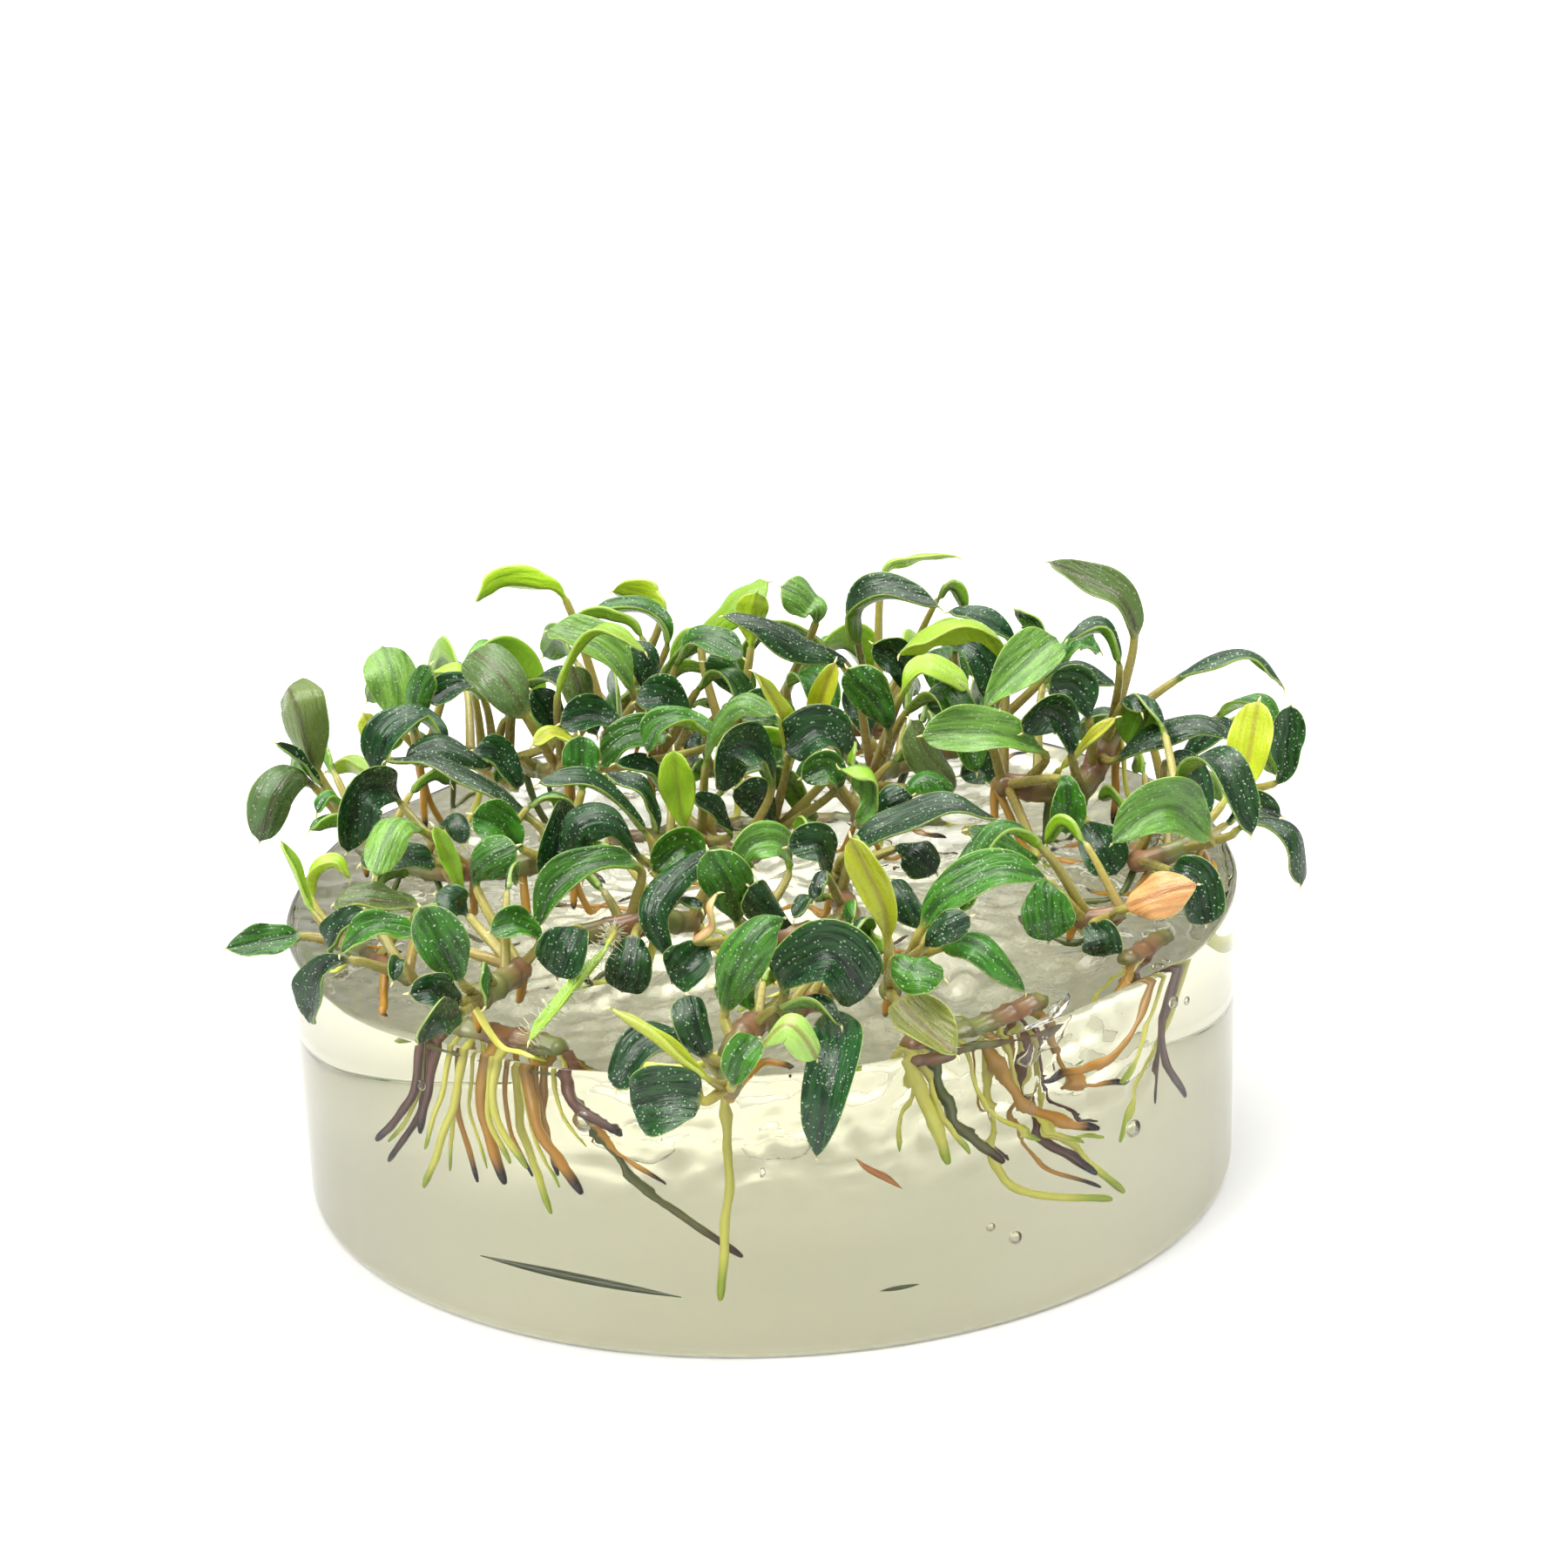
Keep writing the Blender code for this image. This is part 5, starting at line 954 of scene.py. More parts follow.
def bud(crown, order, towards):
    """Where a crown's leaf starts: the leaves of a crown stand in a row along the rhizome."""
    line = spaced(rhizome_line(plantlet_of(crown)), FINE)
    step = (line[-1] - line[-2]).length
    shift = (order + 1) // 2 * (1 if order % 2 else -1) * BUD_SPACING / step
    place = nearest(line, seen(*CROWNS[crown])) + round(shift)
    margin = round(BUD_MARGIN / step)
    start = line[min(max(place, margin), FINE - 1 - margin)]
    return start + (towards - start).normalized() * BUD_OFFSET


def seen_leaf(name):
    """A leaf from the front view, with its places in mm."""
    crown, blade, width, turn = SEEN_LEAVES[name]
    before = [other for other in SEEN_LEAVES if SEEN_LEAVES[other][0] == crown]
    points = [seen(*place) for place in blade]
    return {
        "name": name,
        "crown_name": crown,
        "crown": bud(crown, before.index(name), points[0]),
        "points": points,
        "width": width,
        "turn": math.radians(turn),
    }


def hidden_leaf(crown, number, chance):
    """A leaf that arches up and out from a crown, in a direction that the crown's other leaves leave free."""
    start = seen(*CROWNS[crown])
    azimuth = number * 2.4 + chance.uniform(-0.5, 0.5) + start.x
    outward = Vector((math.cos(azimuth), math.sin(azimuth), 0))
    stalk = chance.uniform(*HIDDEN_STALK)
    length = chance.uniform(*HIDDEN_LENGTH) * 0.85
    lean = chance.uniform(0.35, 1.0)
    base = start + outward * stalk * lean + UP * stalk
    crest = base + outward * length * 0.45 + UP * length * 0.22
    tip = base + outward * length * 0.85 - UP * length * chance.uniform(0.0, 0.35)
    return {
        "name": f"{crown}_{number}",
        "crown_name": crown,
        "crown": bud(crown, number + 1, base),
        "points": [base, crest, tip],
        "width": chance.uniform(*HIDDEN_WIDTH),
        "turn": math.radians(90),
    }


def moved(leaf, back, lift, narrowing):
    """The leaf with its blade set back, lifted and made narrower, its crown kept."""
    changed = dict(leaf)
    changed["width"] = leaf["width"] * narrowing
    changed["points"] = [
        place + Vector((0, back, lift)) * (0.6 + 0.5 * index / len(leaf["points"]))
        for index, place in enumerate(leaf["points"])
    ]
    return changed


def seen_options(leaf, is_loose):
    """The places that a leaf from the front view is tried in, the least changed first."""
    trims = LOOSE_TRIMS if is_loose else (None,)
    options = []
    for narrowing in (1.0, 0.85):
        for back, lift in SEEN_MOVES:
            for trim in trims:
                tried = leaf if trim is None else loosened(leaf, LOOSE_START + trim)
                options.append(moved(tried, back, lift, narrowing))
    return options


def turned(leaf, step):
    """A hidden leaf swung about its crown by another angle at each step."""
    changed = dict(leaf)
    angle = step * 0.7
    raised = 0.15 * step
    points = []
    for place in leaf["points"]:
        arm = place - leaf["crown"]
        swung = Vector((
            arm.x * math.cos(angle) - arm.y * math.sin(angle),
            arm.x * math.sin(angle) + arm.y * math.cos(angle),
            arm.z * (1 + raised * 0.4),
        ))
        points.append(leaf["crown"] + swung)
    changed["points"] = points
    return changed


def loosened(leaf, start):
    """The leaf with its foot cut short, so that it starts this far from its crown."""
    line = smooth([leaf["crown"]] + leaf["points"], LEAF_FINE)
    foot = next(index for index, place in enumerate(line) if (place - leaf["crown"]).length > start)
    base = max(nearest(line, leaf["points"][0]), foot + SHORTEST_STALK)
    changed = dict(leaf)
    changed["bud"] = leaf["crown"]
    changed["crown"] = line[foot]
    beyond = [place for place in leaf["points"][1:] if nearest(line, place) > base + SHORTEST_STALK]
    changed["points"] = [line[base]] + beyond
    return changed


class Thicket:
    """The pieces placed so far, and whether a new one is clear of them."""

    def __init__(self):
        self.pieces = []

    def add(self, owner, rings, tip, stalk_rings=0):
        """Remember a piece of the named node. Its first rings are its stalk."""
        places, faces = skin(rings, tip)
        blade_places, blade_faces = skin(rings[stalk_rings:], tip)
        middle = sum(places, Vector()) / len(places)
        reach = max((place - middle).length for place in places)
        self.pieces.append((owner, middle, reach, tree_of(places, faces), tree_of(blade_places, blade_faces)))

    def clear(self, owner, rings, tip, stalk_rings):
        """Whether the piece, grown by the gap, misses the gel, other nodes and its own node's blades."""
        grown, far = swollen(rings, tip, GAP)
        places, faces = skin(grown, far)
        if any(in_gel(place) for place in places):
            return False
        whole = tree_of(places, faces)
        blade = tree_of(*skin(rings[stalk_rings:], tip))
        middle = sum(places, Vector()) / len(places)
        reach = max((place - middle).length for place in places)
        for other, centre, size, tree, blade_tree in self.pieces:
            if (centre - middle).length > size + reach:
                continue
            if other == owner:
                if blade_tree.overlap(blade):
                    return False
            elif tree.overlap(whole):
                return False
        return True


def tube_rings(points, radii, sides=6):
    """Rings round a line, for telling whether leaves touch a rhizome."""
    rings = []
    for point, along, radius in zip(points, directions(points), radii):
        side = along.orthogonal().normalized()
        lift = along.cross(side)
        angles = [2 * math.pi * corner / sides for corner in range(sides)]
        rings.append([point + (side * math.cos(a) + lift * math.sin(a)) * radius for a in angles])
    return rings


def rhizome_radii(name, count):
    """Radius along a rhizome: swollen at its crowns, thin at its ends."""
    crowns, radius = PLANTLETS[name]
    per_crown = (count - 1) / (len(crowns) - 1)
    radii = []
    for index in range(count):
        off_knot = abs(index / per_crown - round(index / per_crown)) * 2
        radii.append(radius * (1.0 - 0.18 * off_knot))
    radii[0] *= 0.8
    radii[-1] *= 0.8
    return radii


def place_leaf(owner, thicket, options, steps):
    """Put a leaf in the thicket at the first of its options that is clear. Returns it, or None."""
    stalk_steps, blade_steps = steps
    for option in options:
        rings, tip = leaf_sections(option, stalk_steps, blade_steps)
        if thicket.clear(owner, rings, tip, stalk_steps):
            thicket.add(owner, rings, tip, stalk_steps)
            return {"leaf": option, "owner": owner, "rings": rings, "tip": tip}
    return None


def blade_steps_of(name):
    """How many sections a leaf's blade has: the loose leaves are the finest."""
    if name in LOOSE_LEAVES:
        return LOOSE_BLADE_STEPS
    return DEEP_BLADE_STEPS if name in DEEP_LEAVES else SEEN_BLADE_STEPS


def rhizome_thicket():
    """A thicket that holds the rhizomes alone."""
    thicket = Thicket()
    for name in PLANTLETS:
        line = rhizome_line(name)
        rings = tube_rings(line, rhizome_radii(name, len(line)))
        thicket.add(name, rings[:-1], line[-1], len(rings) - 2)
    return thicket


def grow_leaves():
    """Every leaf that finds room: those seen from the front first, then those that other sides show."""
    thicket = rhizome_thicket()
    grown = []
    for is_loose in (False, True):
        for name in SEEN_LEAVES:
            if (name in LOOSE_LEAVES) != is_loose:
                continue
            leaf = seen_leaf(name)
            owner = name if is_loose else plantlet_of(leaf["crown_name"])
            steps = (STALK_STEPS, blade_steps_of(name))
            grown.append(place_leaf(owner, thicket, seen_options(leaf, is_loose), steps))
            if grown[-1] is None:
                print("no room for", name)
    chance = random.Random(SEED)
    for crown, count in HIDDEN_LEAVES.items():
        for number in range(count):
            leaf = hidden_leaf(crown, number, chance)
            options = [turned(leaf, step) for step in range(TURN_STEPS)]
            steps = (STALK_STEPS, DEEP_BLADE_STEPS)
            grown.append(place_leaf(plantlet_of(crown), thicket, options, steps))
            if grown[-1] is None:
                print("no room for", leaf["name"])
    return [piece for piece in grown if piece]


def stub_line(name):
    """The stub that a tuft's roots spring from, half sunk in the gel's top."""
    places, _ = ROOT_STUBS[name]
    return smooth([Vector((x, y, gel_top(x, y) - STUB_SUNK)) for x, y in places], 5)


def root_lines(name):
    """The lines and thicknesses of a tuft's roots."""
    stub = stub_line(name)
    fine = spaced(stub, 21)
    seen_rows = [(row, seen_inside) for row in ROOTS]
    hidden_rows = [(row, lambda *place: Vector(place)) for row in ROOTS_BEHIND]
    made = []
    for (tuft, share, places, thickness), place_of in seen_rows + hidden_rows:
        if tuft == name:
            run = [fine[round(share * 20)]] + [place_of(*place) for place in places]
            made.append((smooth(run, ROOT_POINTS), thickness))
    return made


def anchor_lines(name):
    """Short roots that hold a plantlet's crowns up off the gel."""
    crowns, radius = PLANTLETS[name]
    line = spaced(rhizome_line(name), FINE)
    made = []
    for crown in crowns[::2]:
        top = line[nearest(line, seen(*CROWNS[crown]))]
        if math.hypot(top.x, top.y) > GEL_TOP_RADIUS - 1.5:
            continue
        foot = Vector((top.x * 0.985, top.y * 0.985, 0))
        foot.z = gel_top(foot.x, foot.y) + GAP + 0.35
        if top.z - foot.z > radius + 0.3:
            made.append([top + ANCHOR_OFFSET, foot])
    return made


def as_row(vectors):
    """Vectors as a numpy array."""
    return np.array([tuple(vector) for vector in vectors])


def leaf_look(name, chance):
    """The kind of look a leaf has: named ones as listed, hidden ones by chance."""
    for kind, names in LOOKS_OF.items():
        if name in names:
            return kind
    return "dark" if name in SEEN_LEAVES else chance.choice(HIDDEN_LOOKS)


def leaf_route(piece):
    """The line along the middle of a leaf, from its rhizome to its tip, and how many points are its stalk."""
    leaf = piece["leaf"]
    feet = [leaf["bud"], leaf["crown"]] if "bud" in leaf else [leaf["crown"]]
    line = smooth(feet + leaf["points"], 6 * LEAF_FINE)
    base_at = nearest(line, leaf["points"][0])
    stalk = spaced(line[: base_at + 1], STALK_RINGS + 1)[:-1]
    return stalk + spaced(line[base_at:], BLADE_RINGS + 1)


def leaf_frames(piece):
    """Places, sides and upper directions along a leaf, as arrays."""
    line = leaf_route(piece)
    normals = as_row(face_normals(line, piece["leaf"]["turn"]))
    along = as_row(directions(line))
    sides = np.cross(along, normals)
    return as_row(line), sides, normals


def leaf_widths(leaf, shares, smallest):
    """Half the blade's width along it, from the stalk's at its base to nearly nothing at its tip."""
    blade = np.array([blade_half(leaf, min(share, 0.999)) for share in shares])
    widest = leaf["width"] / 2
    full = BAND_FULLNESS if leaf["name"] in BAND_LEAVES else FULLNESS
    blade = widest * (blade / widest) ** full
    if leaf["name"] not in BAND_LEAVES:
        blade = blade * SLIMNESS
    neck = np.exp(-((np.clip(shares, 0, 1) / NECK_REACH) ** 2))
    return np.maximum(blade, smallest * neck)


def leaf_girth(leaf, shares):
    """Along a leaf: half its width, half its thickness, and how far it has turned from stalk to blade."""
    stalk_share = STALK_RINGS / BLADE_RINGS
    stalk = np.clip((shares + stalk_share) / stalk_share, 0, 1)
    neck = STALK_NECK / 2 * min(1.0, NECK_LEAST + leaf["width"] / NECK_FULL_WIDTH)
    stalk_half = STALK_FOOT / 2 + (neck - STALK_FOOT / 2) * stalk
    half = np.where(shares > 0, leaf_widths(leaf, shares, neck), stalk_half)
    flat = np.clip(shares / FLAT_FROM, 0, 1)
    flat = flat * flat * (3 - 2 * flat)
    deep = stalk_half * (1 - flat) + BLADE_DEPTH / 2 * (1 - BLADE_THINNING * np.clip(shares, 0, 1)) * flat
    return half, np.minimum(deep, np.maximum(half, LEAST_DEPTH)), flat


def leaf_height(leaf, shares, girth, across, upward, chance):
    """How far a leaf's points lie off its middle line: a rounded body, folded, rippled and grooved."""
    half, deep, flat = girth
    rim = EDGE_DEPTH / 2 / np.maximum(deep, 1e-3)
    body = np.sign(upward) * np.abs(upward) ** BODY_ROUNDNESS
    height = deep[:, None] * (body * (1 - rim[:, None]) + np.sign(body) * rim[:, None])
    blade = flat[:, None] * np.clip((1 - shares) / TIP_CALM, 0, 1)[:, None]
    fold = chance.choice(FOLD_SIDES) * chance.uniform(*FOLDS)
    height = height + blade * fold * half[:, None] * (np.abs(across) ** FOLD_CURVE - FOLD_MIDDLE)
    left, right = chance.uniform(*PHASES), chance.uniform(*PHASES)
    waves = chance.uniform(*WAVES) * 2 * np.pi
    phase = np.where(across > 0, left, right)
    ripple = chance.uniform(*RIPPLES) * leaf["width"] / 2 * np.sin(phase + waves * shares[:, None])
    height = height + blade * ripple * across ** 2
    lateral = across * half[:, None]
    groove = np.exp(-((lateral / GROOVE_WIDTH) ** 2)) * blade
    height = height - np.where(upward > OFF_EDGE, GROOVE_DEPTH, 0) * groove
    keel = np.where(upward < -OFF_EDGE, KEEL_DEPTH, 0) * np.exp(-((lateral / KEEL_WIDTH) ** 2))
    return height - keel * blade


def leaf_mesh(piece, look, chance):
    """Points, quads and painted values of one fine leaf."""
    leaf = piece["leaf"]
    places, sides, normals = leaf_frames(piece)
    shares = (np.arange(len(places)) - STALK_RINGS) / BLADE_RINGS
    girth = leaf_girth(leaf, shares)
    angles = 2 * np.pi * np.arange(LEAF_ROUND) / LEAF_ROUND
    across = np.cos(angles)[None, :]
    upward = np.sin(angles)[None, :]
    lateral = across * girth[0][:, None]
    height = leaf_height(leaf, shares, girth, across, upward, chance)
    twist = chance.uniform(*TWISTS) * np.clip(shares, 0, 1) ** TWIST_CURVE
    curl_share = np.clip((shares - CURL_FROM) / (1 - CURL_FROM), 0, 1)
    curl = chance.uniform(*TIP_CURLS) * leaf["width"] / 2 * curl_share ** 2
    places = places - normals * curl[:, None]
    turned_sides = sides * np.cos(twist)[:, None] + normals * np.sin(twist)[:, None]
    turned_normals = normals * np.cos(twist)[:, None] - sides * np.sin(twist)[:, None]
    points = places[:, None, :] + turned_sides[:, None, :] * lateral[:, :, None]
    points = points + turned_normals[:, None, :] * height[:, :, None]
    points = np.concatenate([points.reshape(-1, 3), leaf_tip(places, turned_normals)])
    quads = ring_quads(len(places) + TIP_HOOK_RINGS, LEAF_ROUND)
    steps = np.linalg.norm(np.diff(places, axis=0), axis=1)
    run = np.concatenate([[0.0], np.cumsum(steps)])
    return points, quads, leaf_paint(look, shares, run, girth[0], upward, lateral, chance)


def leaf_tip(places, normals):
    """The small pale claw that a leaf ends in, bent towards its underside: its rings and its point."""
    ahead = places[-1] - places[-2]
    ahead = ahead / np.linalg.norm(ahead)
    normal = normals[-1] - ahead * normals[-1].dot(ahead)
    normal = normal / np.linalg.norm(normal)
    side = np.cross(ahead, normal)
    angles = 2 * np.pi * np.arange(LEAF_ROUND) / LEAF_ROUND
    step = TIP_HOOK / (TIP_HOOK_RINGS + 1)
    place = places[-1]
    rows = []
    for level in range(TIP_HOOK_RINGS + 1):
        bend = TIP_HOOK_BEND * (level + 1) / TIP_HOOK_RINGS
        place = place + (ahead * math.cos(bend) - normal * math.sin(bend)) * step
        lift = normal * math.cos(bend) + ahead * math.sin(bend)
        radius = TIP_HOOK_WIDTH / 2 * (1 - level / TIP_HOOK_RINGS) ** 0.7
        if level < TIP_HOOK_RINGS:
            rows.append(place + (np.cos(angles)[:, None] * side + np.sin(angles)[:, None] * lift) * radius)
    return np.concatenate(rows + [place[None, :]])


def ring_quads(rings, sides):
    """Faces of a tube of rings, closed at its foot and drawn to a point at its end."""
    faces = [tuple(reversed(range(sides)))]
    for level in range(rings - 1):
        low = level * sides
        for corner in range(sides):
            after = (corner + 1) % sides
            faces.append((low + corner, low + after, low + sides + after, low + sides + corner))
    last = (rings - 1) * sides
    for corner in range(sides):
        faces.append((last + corner, last + (corner + 1) % sides, rings * sides))
    return faces


def blend(first, second, share):
    """A mix of two colours, or of two rows of them."""
    share = np.asarray(share)[..., None]
    return np.asarray(first) * (1 - share) + np.asarray(second) * share


def leaf_paint(look, shares, run, half, upward, lateral, chance):
    """A leaf's tint, its place across and along in mm, and its habit: upper side, dots, midrib."""
    top, under, rib, dots = LEAF_LOOKS[look]
    tone = chance.uniform(*LEAF_TONES)
    warm = chance.uniform(*LEAF_WARMTHS)
    shift = np.array([warm, 1.0, 1 / warm]) * tone
    is_top = np.clip(upward * 2.5 + 0.5, 0, 1) * np.ones_like(lateral)
    tint = blend(np.array(under) * shift, np.array(top) * shift, is_top)
    along = np.clip(shares, 0, 1)[:, None] * np.ones_like(lateral)
    tint = tint * (BASE_TONE - TIP_FADE * along)[..., None]
    stalk_share = np.clip(1 - shares / STALK_COLOUR_REACH, 0, 1)[:, None] * np.ones_like(lateral)
    low = np.clip(-shares / (STALK_RINGS / BLADE_RINGS), 0, 1)[:, None] * np.ones_like(lateral)
    stalk_colour = blend(np.array(STALK_COLOUR) * tone, STALK_RED, low * chance.uniform(*STALK_REDS))
    tint = tint * (1 - stalk_share[..., None]) + stalk_colour * stalk_share[..., None]
    edge = (half[:, None] - np.abs(lateral)) + 0.4 * stalk_share
    apart = chance.uniform(0, PATTERN_SPREAD)
    place = np.stack([lateral, run[:, None] + apart + 0 * lateral, edge], axis=-1)
    on_blade = 1 - stalk_share
    habit = np.stack([is_top * on_blade, dots * is_top * on_blade, on_blade], axis=-1)
    rib_colour = np.broadcast_to(np.array(rib) * tone, tint.shape)
    nothing = np.zeros((LEAF_ROUND * TIP_HOOK_RINGS + 1, 3))
    end_tint = np.broadcast_to(np.array(TIP_COLOUR), nothing.shape)
    return {
        "tint": np.concatenate([tint.reshape(-1, 3), end_tint]),
        "rib": np.concatenate([rib_colour.reshape(-1, 3), end_tint]),
        "place": np.concatenate([place.reshape(-1, 3), nothing + 1]),
        "habit": np.concatenate([habit.reshape(-1, 3), nothing]),
    }


def tube_mesh(line, radii, sides):
    """Points and faces of a round tube along a line, ending in a point."""
    points = as_row(line)
    along = as_row(directions(line))
    normal = np.array(tuple(Vector(along[0]).orthogonal().normalized()))
    rings = []
    angles = 2 * np.pi * np.arange(sides) / sides
    for place, ahead, radius in zip(points, along, radii):
        normal = normal - ahead * normal.dot(ahead)
        normal = normal / np.linalg.norm(normal)
        side = np.cross(ahead, normal)
        rings.append(place + (np.cos(angles)[:, None] * side + np.sin(angles)[:, None] * normal) * radius)
    end = points[-1] + along[-1] * radii[-1] * 0.6
    return np.concatenate(rings + [end[None, :]]), ring_quads(len(rings), sides)


def plain_paint(tint):
    """Painted values of a piece that has no blade: its tint alone."""
    nothing = np.zeros_like(tint)
    return {"tint": tint, "rib": tint, "place": nothing + 1, "habit": nothing}


def rhizome_mesh(line, coarse, chance):
    """A fine rhizome: swollen rings where leaves have been, olive with reddish bands and brown scars."""
    length = line_length(line)
    count = max(int(length / RHIZOME_STEP), LEAST_TUBE_STEPS)
    fine = spaced(smooth(line, 400), count)
    shares = np.linspace(0, 1, count)
    radii = np.interp(shares, np.linspace(0, 1, len(coarse)), coarse)
    run = shares * length
    rings = np.exp(-(((run / RING_SPACING) % 1.0 - 0.5) / RING_SHARPNESS) ** 2)
    radii = radii * (RHIZOME_SLIMNESS + RING_SWELL * rings)
    radii[-2:] *= RHIZOME_ENDS
    radii[:2] *= RHIZOME_ENDS[::-1]
    points, faces = tube_mesh(fine, radii, RHIZOME_ROUND)
    red = np.clip(0.5 + 0.6 * np.sin(run * RED_BAND_TURN + chance.uniform(0, 6)), 0, 1) * RED_BAND_DEPTH
    tint = blend(blend(RHIZOME_OLIVE, RHIZOME_RED, red), RHIZOME_SCAR, rings * SCAR_DEPTH)
    tint = np.repeat(tint, RHIZOME_ROUND, axis=0)
    return points, faces, plain_paint(np.concatenate([tint, tint[-1:]]))


def root_mesh(line, thickness, kind, chance):
    """A fine root that wanders a little and changes colour towards its tip."""
    first, middle, tip = ROOT_LOOKS[kind]
    thickness = thickness * ROOT_SLIMNESS
    length = line_length(line)
    count = max(int(length / ROOT_STEP), LEAST_TUBE_STEPS)
    fine = spaced(smooth(line, 300), count)
    phase = chance.uniform(0, 6)
    wander = []
    for index, place in enumerate(fine):
        run = index / (count - 1) * length
        hold = min(index, count - 1 - index) / count
        sway = Vector((math.sin(run * ROOT_SWAY_ACROSS + phase), 0, math.cos(run * ROOT_SWAY_UP)))
        wander.append(place + sway * ROOT_WANDER * hold)
    shares = np.linspace(0, 1, count)
    bumps = 1 + ROOT_BUMPS * np.sin(shares * length * ROOT_BUMP_TURN + phase)
    radii = thickness / 2 * (1 - ROOT_TAPER * shares) * bumps
    radii[-3:] *= ROOT_TIP
    points, faces = tube_mesh(wander, radii, ROOT_ROUND)
    tint = blend(first, middle, np.clip(shares / ROOT_MIDDLE_AT, 0, 1))
    tint = blend_rows(tint, tip, np.clip((shares - ROOT_TIP_FROM) / ROOT_TIP_BLEND, 0, 1))
    tint = np.repeat(tint, ROOT_ROUND, axis=0)
    return points, faces, plain_paint(np.concatenate([tint, tint[-1:]]))


def blend_rows(rows, colour, shares):
    """Rows of colours mixed towards one colour by their own shares."""
    return rows * (1 - shares[:, None]) + np.asarray(colour) * shares[:, None]


def hair_mesh(piece, chance):
    """White hairs that stand out all round a shoot."""
    line = leaf_route(piece)
    along = directions(line)
    meshes = []
    for _ in range(HAIRS):
        index = chance.randrange(len(line))
        side = along[index].orthogonal().normalized()
        side = Matrix.Rotation(chance.uniform(0, 2 * math.pi), 3, along[index]) @ side
        foot = line[index] + side * HAIR_FOOT
        lean = along[index] * chance.uniform(-HAIR_LEAN, HAIR_LEAN)
        end = foot + (side + lean) * chance.uniform(*HAIR_LENGTH)
        points, faces = tube_mesh([foot, (foot + end) / 2, end], [HAIR_WIDTH / 2] * 3, 3)
        meshes.append((points, faces, plain_paint(np.broadcast_to(np.array(HAIR_COLOUR), points.shape))))
    return meshes


def thicket_of(leaves):
    """The rhizomes and leaves so far, for finding room for young leaves."""
    thicket = rhizome_thicket()
    for piece in leaves:
        thicket.add("leaf", piece["rings"], piece["tip"])
    return thicket


def young_leaf(name, number, start, chance):
    """A small leaf that stands up and out from a rhizome."""
    azimuth = number * YOUNG_FAN + chance.uniform(-YOUNG_SWING, YOUNG_SWING)
    outward = Vector((math.cos(azimuth), math.sin(azimuth), 0))
    stalk = chance.uniform(*YOUNG_STALK)
    length = chance.uniform(*YOUNG_LENGTH)
    base = start + outward * (YOUNG_OUT + stalk * 0.5) + UP * stalk
    crest = base + outward * length * 0.5 + UP * length * chance.uniform(*YOUNG_CREST_RISE)
    tip = base + outward * length * 0.9 + UP * length * chance.uniform(*YOUNG_TIP_RISE)
    return {
        "name": f"young_{name}_{number}",
        "crown": start,
        "points": [base, crest, tip],
        "width": chance.uniform(*YOUNG_WIDTH),
        "turn": math.radians(90),
    }


def young_leaves(name, thicket, chance):
    """The young leaves along a rhizome that find room between the larger ones."""
    line = rhizome_line(name)
    length = line_length(line)
    starts = spaced(line, max(int(length / YOUNG_SPACING), 3))
    found = []
    for number, start in enumerate(starts):
        for attempt in range(YOUNG_TRIES):
            leaf = young_leaf(name, number + attempt * 0.5, start, chance)
            rings, tip = leaf_sections(leaf, STALK_STEPS, SEEN_BLADE_STEPS)
            within = math.hypot(tip.x, tip.y) < YOUNG_REACH
            if within and thicket.clear(name, rings, tip, STALK_STEPS):
                thicket.add("leaf", rings, tip)
                found.append({"leaf": leaf, "owner": name, "rings": rings, "tip": tip})
                break
    return found


def fine_roots(name):
    """Thin roots between each two neighbours of a tuft, a little shorter than they are."""
    lines = root_lines(name)
    made = []
    for (first, thick), (second, _) in zip(lines, lines[1:]):
        line = [a.lerp(b, 0.5) for a, b in zip(first, second)]
        line[-1] = line[-2].lerp(line[-1], FINE_ROOT_REACH)
        made.append((line, thick * FINE_ROOT_SHARE))
    return made


def creeping_roots(name, chance):
    """Roots that leave a rhizome and creep over the gel's top, sinking in at their ends."""
    line = rhizome_line(name)
    length = line_length(line)
    made = []
    for number, start in enumerate(spaced(line, max(int(length / CREEPING_SPACING), 2))):
        azimuth = number * CREEPING_FAN + chance.uniform(-1, 1)
        reach = chance.uniform(*CREEPING_LENGTH)
        places = [start]
        for step in CREEPING_STEPS:
            bend = azimuth + CREEPING_BEND * math.sin(step * 3 + number)
            place = start + Vector((math.cos(bend), math.sin(bend), 0)) * reach * step
            out = max(math.hypot(place.x, place.y), 1e-6)
            inward = min(1.0, (GEL_TOP_RADIUS - CREEPING_RIM) / out)
            place = Vector((place.x * inward, place.y * inward, 0))
            place.z = gel_top(place.x, place.y) + CREEPING_LIFT - CREEPING_SINK * max(step - 0.5, 0)
            places.append(place)
        made.append((places, chance.uniform(*CREEPING_WIDTH)))
    return made


